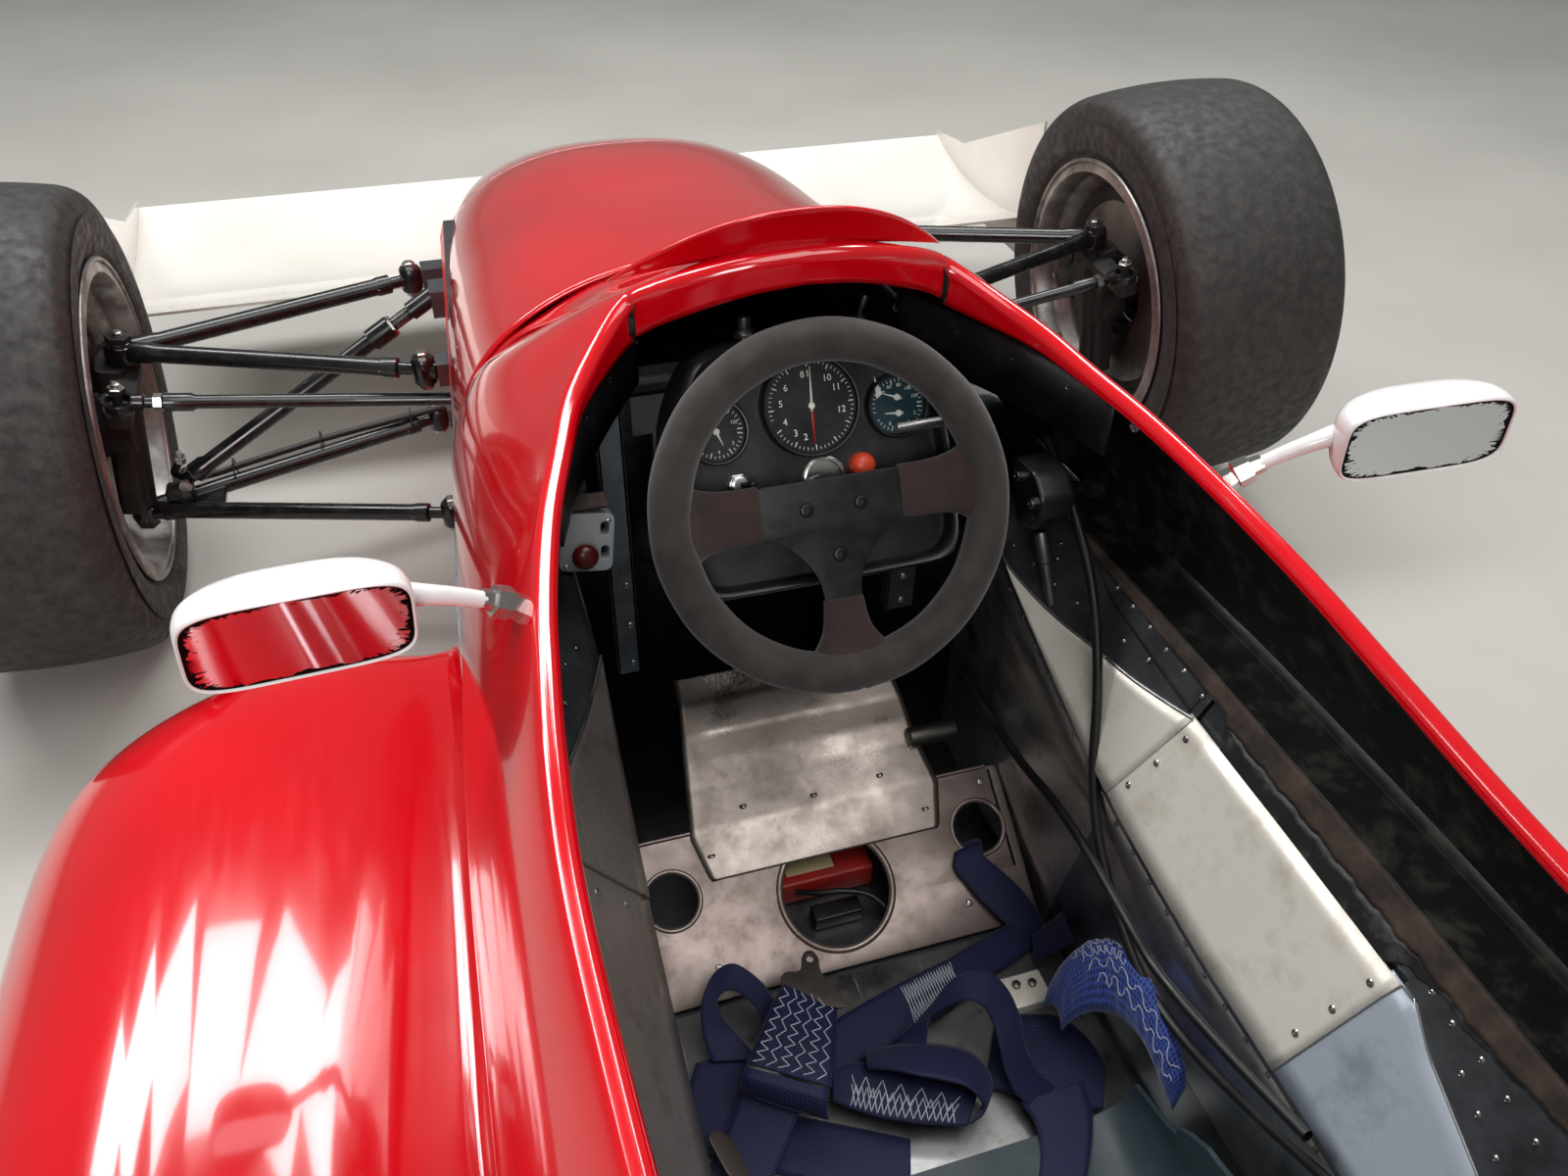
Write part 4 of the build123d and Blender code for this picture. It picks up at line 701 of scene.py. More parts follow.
# Section of a pod: a fillet out of the body side, a
# crowned top, a rounded shoulder and a plumb side.
def podSection(row, side):
    ahead, outer, shoulder, crownHalf, crown, crease = row
    inner = np.interp(-ahead, [300, 760, 950, 1300, 1900], [274, 284, 293, 297, 250])
    reach = pods["filletReach"]
    keys = [(inner - 6, crease + reach * 1.25), (inner, crease + reach * 0.62),
            (inner + reach * 0.42, crease + reach * 0.14), (inner + reach * 1.2, crease + 1),
            (inner + (crownHalf - inner) * 0.62, crease + (crown - crease) * 0.72),
            (crownHalf, crown),
            (crownHalf + (outer - crownHalf) * 0.42, crown - (crown - shoulder) * 0.13),
            (crownHalf + (outer - crownHalf) * 0.76, crown - (crown - shoulder) * 0.40),
            (crownHalf + (outer - crownHalf) * 0.94, crown - (crown - shoulder) * 0.74),
            (outer, crown - (crown - shoulder) * 1.12), (outer, shoulder * 0.6),
            (outer, pods["bottom"])]
    line = through(keys, 66)
    return np.stack([side * line[:, 0], np.full(len(line), ahead), line[:, 1]], -1)


# A pod is its sections smoothed along the car.
def buildPod(name, side, node):
    table = through(pods[name], 110)
    sections = np.array([podSection(row, side) for row in table])
    piece(name + "Pod", grid(place(sections)), [redGelcoat, redInside], thick=pods["wall"], inner=1,
          replaces=node)


buildPod("left", -1, "sidepod_left")
buildPod("right", 1, "sidepod_right")


# Tub: bare riveted sheet inside and below, red gelcoat where a face looks outwards at the sides.
def makeTubSkin():
    material, tree, shader, coords = startMaterial("tubSkin", "#8C9298", 0.42, 1.0)
    normal = addNode(tree, "ShaderNodeNewGeometry").outputs["Normal"]
    face = addNode(tree, "ShaderNodeSeparateXYZ", inputs={"Vector": normal})
    spot = addNode(tree, "ShaderNodeSeparateXYZ", inputs={"Vector": coords})
    outward = calculate(tree, "MULTIPLY", face.outputs["X"],
                        calculate(tree, "SIGN", spot.outputs["X"]))
    painted = calculate(tree, "GREATER_THAN", outward, 0.25)
    blotch = speckle(tree, coords, 45, 5, 0.65)
    bare = between(tree, blotch, 0.45, 0.75, "#84888C", "#53575A")
    tree.links.new(blendColours(tree, painted, bare, "#D90F1B"), shader.inputs["Base Color"])
    tree.links.new(calculate(tree, "SUBTRACT", 1.0, painted), shader.inputs["Metallic"])
    tree.links.new(between(tree, blotch, 0.3, 0.7, 0.28, 0.42), shader.inputs["Roughness"])
    tree.links.new(bump(tree, speckle(tree, coords, 0.8, 3, 0.6, (1, 0.08, 1)), 0.05, strength=0.3),
                   shader.inputs["Normal"])
    return material


tubSkin = makeTubSkin()

print("stage: steering wheel and dash")

# Plane of the steering wheel: its centre, then across, up and towards the driver.
wheelTilt = math.radians(30.4)
wheelCentre = place((0, -653, 477))
wheelAcross = np.array([1.0, 0.0, 0.0])
wheelUp = np.array([0.0, math.sin(wheelTilt), math.cos(wheelTilt)])
wheelOut = np.array([0.0, -math.cos(wheelTilt), math.sin(wheelTilt)])


# Places given in millimetres as (across, up, towards the driver) in the wheel's plane.
def onWheel(points):
    points = np.asarray(points, float) * 0.001
    u, v, depth = points[..., :1], points[..., 1:2], points[..., 2:]
    return wheelCentre + u * wheelAcross + v * wheelUp + depth * wheelOut


# Matrix from flat shapes to the wheel's plane, at a depth behind or before it.
def wheelMatrix(depth=0.0):
    return axesMatrix(wheelAcross, wheelUp, wheelOut, onWheel((0, 0, depth)))


# Plate cut from sheet: outlines in millimetres, the first is its edge and the rest are holes.
def cutPlate(name, outlines, thickness, matrix, material, body="chassis", edge=0.3, **options):
    curve = bpy.data.curves.new(name, "CURVE")
    curve.dimensions = "2D"
    curve.fill_mode = "BOTH"
    curve.extrude = max(thickness / 2 - edge, 0.01) * 0.001
    curve.bevel_depth = edge * 0.001
    curve.offset = -edge * 0.001
    for outline in outlines:
        spline = curve.splines.new("POLY")
        spline.points.add(len(outline) - 1)
        spline.points.foreach_set("co", np.hstack([np.asarray(outline, float) * 0.001,
                                                   np.tile([0.0, 1.0], (len(outline), 1))]).ravel())
        spline.use_cyclic_u = True
    return curvePiece(name, curve, matrix, material, body, **options)


# A flat curve or text as a mesh piece, set in place by a matrix.
def curvePiece(name, curve, matrix, material, body="chassis", smooth=35, replaces=(), slot=None):
    return piece(name, meshedCurve(curve, matrix), material, body, smooth=smooth, weld=2e-6,
                 replaces=replaces)


# The points and faces of a curve or text, moved by a matrix if one is given.
def meshedCurve(curve, matrix=None):
    source = bpy.data.objects.new("curveSource", curve)
    bpy.context.scene.collection.objects.link(source)
    bpy.context.view_layer.update()
    shown = source.evaluated_get(bpy.context.evaluated_depsgraph_get())
    mesh = bpy.data.meshes.new_from_object(shown)
    bpy.data.objects.remove(source)
    if matrix is not None:
        mesh.transform(matrix)
    points = np.zeros(len(mesh.vertices) * 3, np.float32)
    mesh.vertices.foreach_get("co", points)
    groups = facesOf(mesh)
    bpy.data.meshes.remove(mesh)
    return points.reshape(-1, 3).astype(float), groups


# The faces of a mesh as arrays, one for each number of corners.
def facesOf(mesh):
    totals = np.zeros(len(mesh.polygons), np.int32)
    starts = np.zeros(len(mesh.polygons), np.int32)
    loops = np.zeros(len(mesh.loops), np.int32)
    mesh.polygons.foreach_get("loop_total", totals)
    mesh.polygons.foreach_get("loop_start", starts)
    mesh.loops.foreach_get("vertex_index", loops)
    return [loops[starts[totals == size][:, None] + np.arange(size)] for size in np.unique(totals)]


# Circular outline for a plate, in millimetres.
def ringOutline(radius, centre=(0, 0), count=40):
    return roundProfile(radius, count) + np.asarray(centre, float)


# Corners of an outline rounded: each corner is a quadratic curve between points set back from it.
def roundedOutline(corners, radius, count=5):
    corners = np.asarray(corners, float)
    before, after = np.roll(corners, 1, 0) - corners, np.roll(corners, -1, 0) - corners
    lengthBefore = np.linalg.norm(before, axis=1)[:, None]
    lengthAfter = np.linalg.norm(after, axis=1)[:, None]
    reach = np.minimum(radius, 0.45 * np.minimum(lengthBefore, lengthAfter))
    first, last = corners + before / lengthBefore * reach, corners + after / lengthAfter * reach
    t = np.linspace(0, 1, count)[None, :, None]
    return ((1 - t) ** 2 * first[:, None] + 2 * t * (1 - t) * corners[:, None]
            + t**2 * last[:, None]).reshape(-1, 2)


# Solid turned from a profile of (along, radius) in millimetres, closed at both ends.
def turned(profile, centre, axis, count=32):
    points, faces = lathe(np.asarray(profile, float) * 0.001, centre, axis, count)
    last = len(points)
    return points, faces + [np.arange(count)[None, ::-1], np.arange(last - count, last)[None, :]]


steeringWheel = {"ring": 121.5, "grip": 15.6, "plateThick": 4.0, "waver": 0.35}


# Grip: a torus with a slight lengthwise waver where the suede is drawn round it.
def buildGrip():
    turn = np.linspace(0, 2 * math.pi, 240, endpoint=False)[:, None]
    angle = np.linspace(0, 2 * math.pi, 40, endpoint=False)[None, :]
    radius = steeringWheel["grip"] + steeringWheel["waver"] * np.sin(9 * turn + 2 * angle) \
        * np.sin(5 * turn + 1.3)
    seam = np.exp(-(((turn - 1.5 * math.pi - 0.03) * 130) / 1.2) ** 2)
    radius = radius - 0.9 * seam + 0.5 * np.exp(-(((turn - 1.5 * math.pi - 0.05) * 130) / 1.4) ** 2)
    away = steeringWheel["ring"] + radius * np.cos(angle)
    points = np.stack([away * np.cos(turn), away * np.sin(turn), radius * np.sin(angle)], -1)
    piece("steeringGrip", grid(onWheel(points), True, True), gripSuede, "hand_wheel", smooth=60,
          replaces="steering_wheel")


buildGrip()

# Suede wraps at the spokes: stations from the plate outwards, as distance out, low edge, high edge,
# thickness and how far its middle lies behind the wheel's plane.
wraps = {
    "side": [(54, -15, 24, 6.4, -6), (57, -15.5, 24.5, 7.4, -6), (72, -16, 24.5, 8.4, -6),
             (88, -17, 26, 10.5, -5.5), (100, -20, 29, 14, -4), (109, -26, 35, 20, -1.5),
             (118, -33, 42, 25, 0)],
    "lower": [(67, -15, 15, 6.4, -6), (70, -15.5, 15.5, 7.4, -6), (82, -17, 17, 8.6, -6),
              (93, -20, 20, 11, -5), (103, -26, 26, 15, -3), (111, -33, 33, 20, -1.5),
              (118, -40, 40, 25, 0)],
}


# Each station is a flat oval between its edges; the last ones swell to meet the grip.
def wrapShape(rows, turn):
    rows = through(rows, 30)
    angle = np.linspace(0, 2 * math.pi, 36, endpoint=False)
    oval = np.stack([squared(np.cos(angle), 0.55), squared(np.sin(angle), 0.55)], -1)
    middle, half = (rows[:, 1] + rows[:, 2]) / 2, (rows[:, 2] - rows[:, 1]) / 2
    across = middle[:, None] + half[:, None] * oval[None, :, 0]
    lift = rows[:, 4][:, None] + rows[:, 3][:, None] / 2 * oval[None, :, 1]
    out = np.broadcast_to(rows[:, 0][:, None], across.shape)
    out = np.sqrt(np.maximum(out**2 - np.where(rows[:, 0][:, None] > 92, across**2 * 0.5, 0), 1))
    c, s = math.cos(turn), math.sin(turn)
    points = np.stack([c * out - s * across, s * out + c * across, lift], -1)
    return grid(onWheel(points), wrapColumns=True, capStart=True, capEnd=True)


# Two wraps at the sides and one on the lower spoke, joined as one piece.
def buildWraps():
    right = wrapShape(wraps["side"], 0)
    left = otherSide(wrapShape(wraps["side"], 0))
    lower = wrapShape(wraps["lower"], -math.pi / 2)
    piece("spokeWraps", join([right, left, lower]), spokeSuede, "hand_wheel", smooth=50)


buildWraps()

spokePlate = [(-57, 23), (57, 23), (60, -15), (46, -17), (34, -26), (24, -38), (17, -50), (15, -60),
              (14, -74), (-14, -74), (-15, -60), (-17, -50), (-24, -38), (-34, -26), (-46, -17),
              (-60, -15)]
plateScrews = [(-20, 2), (22, 2), (1, -34)]
cutPlate("spokePlate", [roundedOutline(spokePlate, 7)], steeringWheel["plateThick"],
         wheelMatrix(-6),
         anodisedBlack, "hand_wheel", edge=0.4)


# Socket screws: a rounded head with a hexagon sunk in it.
def buildPlateScrews():
    shapes = []
    for u, v in plateScrews:
        base = onWheel((u, v, -4.2))
        shapes.append(turned([(0, 5.2), (1.2, 5.4), (2.2, 4.6), (2.5, 3.0), (1.0, 2.4), (0.9, 0.3)],
                             base, wheelOut, 24))
    piece("plateScrews", join(shapes), anodisedBlack, "hand_wheel")
    piece("wheelBoss", turned([(-30, 22), (-28, 24), (-11, 24), (-9, 26), (-8.2, 26)],
                              wheelCentre, wheelOut, 40), blackEnamel, "hand_wheel")


buildPlateScrews()

# Dash moulding: outline of its hood in the wheel's plane; stations inwards
# give the rolled front edge: scale of the outline, depth towards the driver.
dash = {
    "outline": [(-111, -60), (-40, -61), (40, -61), (111, -60), (112, 20), (108, 78), (84, 120),
                (60, 129),
                (0, 130), (-60, 129), (-84, 120), (-108, 78), (-112, 20)],
    "stations": [(1.0, -86), (1.0, -60), (0.995, -44), (0.985, -34), (0.965, -27.5), (0.945, -25.2),
                 (0.925, -26), (0.905, -29), (0.895, -34), (0.89, -39.5), (0.6, -40), (0.3, -40)],
    "middle": (0.0, 35.0),
}


# The outline shrinks towards its middle from station to station.
def buildDash():
    outline = roundedOutline(dash["outline"], 26, 7)
    middle = np.array(dash["middle"])
    stations = np.array(dash["stations"])
    flat = middle + stations[:, 0][:, None, None] * (outline - middle)[None]
    depth = np.broadcast_to(stations[:, 1][:, None, None], (*flat.shape[:2], 1))
    piece("dashMoulding", grid(onWheel(np.concatenate([flat, depth], -1)), wrapColumns=True,
                               capStart=True, capEnd=True), blackMoulding, smooth=50,
          replaces="dash_panel")


buildDash()

# Dials: across, up, outer radius, face finish, figures
# as (text, clock angle), needle angles, ticks.
dials = {
    "tachometer": (1, 75, 38, "black", [("1", 90), ("10", 52), ("11", 28), ("12", -14), ("2", -108),
                                         ("3", -128), ("4", -156), ("5", 170), ("6", 140),
                                        ("8", 100)],
                   (-92, 86), 60, 7.0),
    "rightGauge": (70, 66, 25, "blue",
                   [("40", 135), ("60", 110), ("80", 80), ("100", 50), ("120", 20),
                    ("2", -30), ("4", -60), ("6", -90), ("8", -120)],
                   (175, 160), 36, 3.6),
    "leftGauge": (-72, 66, 25, "black",
                  [("60", 150), ("80", 110), ("100", 60), ("120", 20), ("40", -150),
                   ("2", -40), ("4", -90)], (-70,), 36, 3.6),
}


# Text as a flat curve, made a mesh in the plane of the wheel.
def dialText(word, size, u, v, depth):
    curve = bpy.data.curves.new("figure", "FONT")
    curve.body = word
    curve.size = size * 0.001
    curve.align_x = curve.align_y = "CENTER"
    curve.extrude = 0.00008
    curve.resolution_u = 3
    points, groups = meshedCurve(curve)
    return onWheel(points * 1000 + np.array([u, v, depth])), groups


# Bezel, face, ticks, figures and needles of each dial; every fifth tick is longer and wider.
def buildDials():
    bezels, marks = [], []
    faces = {"black": [], "blue": []}
    needles, red = [], []
    for u, v, radius, face, figures, hands, ticks, size in dials.values():
        height = 14 if radius > 30 else 9
        top = -40 + height
        bezels.append(lathe(np.array([(top - height, radius), (top - 1.5, radius),
                                      (top, radius - 1),
                                      (top - 0.2, radius - 2.4), (top - 3.4, radius - 3.4),
                                      (top - 3.6, 0.4)]) * 0.001, onWheel((u, v, 0)), wheelOut, 64))
        spot = top - 3.2
        faces[face].append(turned([(spot - 0.5, radius - 3.2), (spot, radius - 3.2), (spot, 0.3)],
                                  onWheel((u, v, 0)), wheelOut, 48))
        turn = np.linspace(0, 2 * math.pi, ticks, endpoint=False)
        for number, angle in enumerate(turn):
            if -1.35 < (angle - 1.5 * math.pi) < -1.1:
                continue
            long = 4.2 if number % 5 == 0 else 2.2
            out = np.array([math.cos(angle), math.sin(angle)])
            side = np.array([-out[1], out[0]]) * (0.42 if number % 5 == 0 else 0.26)
            ends = np.array([out * (radius - 5) - side, out * (radius - 5 - long) - side,
                             out * (radius - 5 - long) + side, out * (radius - 5) + side])
            flat = np.hstack([ends + (u, v), np.full((4, 1), spot + 0.15)])
            marks.append((onWheel(flat), [np.array([[0, 1, 2, 3]])]))
        for word, angle in figures:
            reach = radius - 5 - size * 1.35
            marks.append(dialText(word, size, u + reach * math.cos(math.radians(angle)),
                                  v + reach * math.sin(math.radians(angle)), spot + 0.2))
        for number, angle in enumerate(hands):
            centre = np.array([u, v if len(hands) < 2 or radius > 30
                               else v + (6 if number else -6)])
            out = np.array([math.cos(math.radians(angle)), math.sin(math.radians(angle))])
            side = np.array([-out[1], out[0]])
            length = (radius - 9) * (1.0 if radius > 30 else 0.7)
            ends = np.array([centre - out * 4 - side * 1.1, centre - out * 4 + side * 1.1,
                             centre + out * length + side * 0.35,
                             centre + out * length - side * 0.35])
            hand = (onWheel(np.hstack([ends, np.full((4, 1), spot + 0.9)])),
                    [np.array([[0, 1, 2, 3]])])
            (red if radius > 30 and number == 0 else needles).append(hand)
            needles.append(turned([(spot, 2.6), (spot + 1.6, 2.4), (spot + 1.8, 0.3)],
                                  onWheel((centre[0], centre[1], 0)), wheelOut, 16))
    piece("dialBezels", join(bezels), blackMoulding, replaces="instruments")
    piece("dialFacesBlack", join(faces["black"]), dialBlack)
    piece("dialFaceBlue", join(faces["blue"]), dialBlue)
    piece("dialFigures", join(marks), dialWhite, thick=0.1, turn=False, weld=1e-7)
    piece("dialNeedles", join(needles), dialWhite, thick=0.2, weld=1e-7)
    piece("tachNeedle", join(red), needleRed, thick=0.3, weld=1e-7)


buildDials()


# Buttons and toggles: a hexagon nut, a plated collar, then the button or lever.
def buildSwitches():
    plated, black, orange, nuts = [], [], [], []
    hood = unit(wheelOut * 0.35 + wheelUp * 0.94)
    for u, v, w, axis in ((-39, 131, -42, hood), (49, 130, -46, hood), (-60, 25, -40, wheelOut)):
        base = onWheel((u, v, w))
        nuts.append(turned([(0, 8.4), (3, 8.4), (3.4, 7.6)], base, axis, 6))
        plated.append(turned([(3.2, 6.4), (6.2, 6.4), (6.6, 5.8), (6.6, 3.0)], base, axis, 28))
        if u == -39:
            black.append(turned([(5, 5.2), (13, 5.2), (15.5, 4.4), (16.2, 0.4)], base, axis, 24))
        else:
            lean = unit(axis + wheelAcross * 0.35)
            black.append(turned([(5, 2.0), (12, 2.2), (20, 3.2), (22.5, 2.6), (23.4, 0.3)], base,
                                lean, 16))
    orange.append(turned([(0, 10), (6, 10), (9, 9), (11.5, 6.4), (12.4, 3), (12.6, 0.3)],
                         onWheel((37, 25, -40)), wheelOut, 32))
    plated.append(turned([(0, 17), (2.2, 17), (3, 15.6), (3, 13.6), (1, 13), (1, 0.4)],
                         onWheel((7, 20, -40)), wheelOut, 40))
    piece("switchNuts", join(nuts), brightSteel, smooth=25)
    piece("switchCollars", join(plated), brightSteel)
    piece("switchButtons", join(black), blackMoulding)
    piece("orangeButton", join(orange), orangeCap)
    piece("dashBracket", roundedBox((62, -612, 505), (100, -606, 512), 1.2), sheetAluminium)


buildSwitches()
print("stage: cockpit sheet metal")

# Sill of the tub: ahead, inner x, inner z, outer x
# of the slope; its outer edge is level with the top.
sill = {
    "rows": [(-1430, 185.5, 252.5, 243.5), (-1040, 185.5, 252.5, 243.5),
             (-944, 185.5, 253.5, 243.5),
             (-887, 184.5, 260, 242), (-826, 183.5, 269.5, 240.5), (-766, 182.5, 286, 238.5),
             (-697, 181, 312, 236), (-623, 178, 344, 233), (-603, 178.5, 352, 232.5),
             (-560, 180, 366, 231), (-520, 182, 372, 229)],
    "top": 388.0, "sheet": 1.2, "lip": 8.0, "floor": 57.0, "rivetPitch": 25.5, "rivetDrop": 11.0,
}


# Places on the sill from (ahead, share of the way out), lifted off the slope in millimetres.
def onSill(spots, lift=0.0, side=1):
    spots = np.asarray(spots, float)
    rows = np.array(sill["rows"])
    innerX, innerZ, outerX = (np.interp(spots[..., 0], rows[:, 0], rows[:, k]) for k in (1, 2, 3))
    across, rise = outerX - innerX, sill["top"] - innerZ
    length = np.hypot(across, rise)
    share = spots[..., 1]
    return np.stack([side * (innerX + share * across - lift * rise / length), spots[..., 0],
                     innerZ + share * rise + lift * across / length], -1)


# Direction out of the slope, square to its section.
def sillNormal(ahead, side=1):
    rows = np.array(sill["rows"])
    across = np.interp(ahead, rows[:, 0], rows[:, 3]) - np.interp(ahead, rows[:, 0], rows[:, 1])
    rise = sill["top"] - np.interp(ahead, rows[:, 0], rows[:, 2])
    return np.array([-side * rise, 0, across]) / np.hypot(across, rise)


# Share of the way out for a place on the slope known by its x.
def sillShare(x, ahead):
    rows = np.array(sill["rows"])
    inner = np.interp(ahead, rows[:, 0], rows[:, 1])
    return (abs(x) - inner) / (np.interp(ahead, rows[:, 0], rows[:, 3]) - inner)


# Even stations along a table with straight runs between its rows.
def straight(table, count):
    table = np.asarray(table, float)
    spot = np.linspace(0, len(table) - 1, count)
    return np.stack([np.interp(spot, np.arange(len(table)), table[:, k])
                     for k in range(table.shape[1])], -1)


# Sheet lying on the slope between an inner and an
# outer edge, given as ahead and share for each row.
def sillSheet(rows, lift, side=1, count=40, across=8):
    rows = straight(rows, count)[:, None, :]
    t = np.linspace(0, 1, across)[None, :]
    spots = np.stack([rows[..., 0] + (rows[..., 2] - rows[..., 0]) * t,
                      rows[..., 1] + (rows[..., 3] - rows[..., 1]) * t], -1)
    return grid(place(onSill(spots, lift, side)))


# Blind rivets: a flat dome with the pit of its pulled pin in the middle.
def rivets(places, normals, radius=2.7, height=1.1, count=14):
    profile = np.array([(-0.3, radius), (height * 0.35, radius * 0.97),
                        (height * 0.8, radius * 0.72),
                        (height, radius * 0.42), (height * 0.9, radius * 0.32),
                        (height * 0.2, radius * 0.26)])
    shapes = []
    for spot, normal in zip(places, normals):
        points, faces = lathe(profile * 0.001, spot, normal, count)
        shapes.append((points, faces + [np.arange(len(points) - count, len(points))[None, :]]))
    return join(shapes)


# Rivets standing on the sill, from a list of (x, ahead); the side follows the sign of x.
def sillRivets(spots, lift, radius=2.7):
    places = [place(onSill((ahead, sillShare(x, ahead)), lift, np.sign(x))) for x, ahead in spots]
    return rivets(places, [sillNormal(ahead, np.sign(x)) for x, ahead in spots], radius)


# Panels of the sills: rows of (inner ahead, inner share, outer ahead, outer share), lift, side,
# finish. The right gusset and strip carry a painted highlight, the left ones painted shade.
# Near white, warm aluminium for the right gusset, strip and strap bracket: a painted highlight
# where the sheet catches the light.
paintedHighlightAluminium = makeMetal("paintedHighlightAluminium", "#FAF4E8", "#D2CABC", 0.36, 0.5, (1, 0.08, 1), 0.3, 0.8)
lidAluminium = makeMetal("lidAluminium", "#63666A", "#3F4144", 0.42, 0.4, (1, 0.1, 1), 0.7, 0.8,
                         (0.4, 0.66))
# Darker pinkish grey aluminium for the left gusset and strip: painted shade.
paintedShadeAluminium = makeMetal("paintedShadeAluminium", "#A09690", "#786E68", 0.3, 0.5, (1, 0.08, 1), 0.7, 0.8)
blueAluminium = makeMetal("blueAluminium", "#C2CCD8", "#96A0AD", 0.34, 0.35, (1, 0.06, 1), 0.35,
                          0.8)
sillPanels = {
    "rightLid": ([(-545, 0, -545, 1), (-603, 0, -603, 1), (-700, 0, -700, 1), (-822, 0, -822, 1)],
                 0.4, 1,
                 lidAluminium),
    "rightOverlay": ([(-640, 0.97, -640, 1.0), (-672, 0.88, -672, 1.0), (-700, 0.8, -700, 1.0),
                      (-815, 0.77, -815, 1.0)], 1.6, 1, lidAluminium),
    "rightGusset": ([(-603, 0, -603.5, 0.004), (-659, 0, -659, 0.22), (-708, 0, -708, 0.43),
                     (-740, 0, -740, 0.53), (-806, 0, -822, 0.77)], 2.6, 1, paintedHighlightAluminium),
    "rightStrip": ([(-800, 0, -818, 0.78), (-900, 0, -915, 0.78), (-1031, 0, -1045, 0.77)], 1.4, 1,
                   paintedHighlightAluminium),
    "rightPanel": ([(-1022, 0, -1036, 0.78), (-1045, 0, -1059, 0.77), (-1070, 0, -1084, 0.67),
                    (-1130, 0, -1141, 0.53), (-1230, 0, -1240, 0.28), (-1325, 0, -1330, 0.05)], 0.6,
                   1,
                   blueAluminium),
    "rightSide": ([(-1046, 0.77, -1046, 1.0), (-1084, 0.6, -1084, 1.0), (-1141, 0.46, -1141, 1.0),
                   (-1240, 0.2, -1240, 1.0), (-1330, 0.0, -1330, 1.0), (-1425, 0, -1425, 1.0)], 0.2,
                  1,
                  lidAluminium),
    "leftLid": ([(-545, 0, -545, 1), (-603, 0, -603, 1), (-790, 0, -790, 1)], 0.4, -1,
                lidAluminium),
    "leftGusset": ([(-621, 0, -621.5, 0.004), (-660, 0, -660, 0.24), (-724, 0, -724, 0.62),
                    (-790, 0, -790, 1.0), (-803, 0, -831, 1.0)], 2.6, -1, paintedShadeAluminium),
    "leftStrip": ([(-796, 0, -824, 1.0), (-1031, 0, -1045, 1.0)], 1.4, -1, paintedShadeAluminium),
    "leftPanel": ([(-1022, 0, -1036, 1.0), (-1425, 0, -1425, 1.0)], 0.6, -1, blueAluminium),
}
gussetEdges = {1: [(-603, 0.0), (-659, 0.22), (-708, 0.43), (-740, 0.53), (-822, 0.77)],
               -1: [(-621, 0.0), (-660, 0.24), (-724, 0.62), (-790, 1.0)]}
panelJoints = {1: [[(-806, 0.0), (-822, 0.77)], [(-1031, 0.0), (-1045, 0.77), (-1059, 0.77),
                                                 (-1084, 0.67), (-1141, 0.53), (-1240, 0.28)]],
               -1: [[(-803, 0.0), (-831, 1.0)], [(-1031, 0.0), (-1045, 1.0)]]}
lidRivets = [(189, -596), (204, -608), (196, -622), (211, -632), (202, -649), (209, -676),
             (230, -644),
             (218, -622), (216, -596), (231, -693), (232, -717), (233, -742), (233, -766),
             (234, -790),
             (234, -815), (220, -732), (225, -760), (-195, -620), (-213, -679), (-206, -640)]
jointRivets = [(193, -816), (207, -822), (221, -828), (-201, -824), (-220, -837), (198, -1024),
               (211, -1029), (224, -1033), (-201, -1030), (-220, -1036)]
sideRivets = [(235, -1059), (234, -1078), (234, -1101), (233, -1123), (232, -1146), (228, -1100),
              (225, -1120), (222, -1141), (231, -1172), (230, -1198), (229, -1226)]


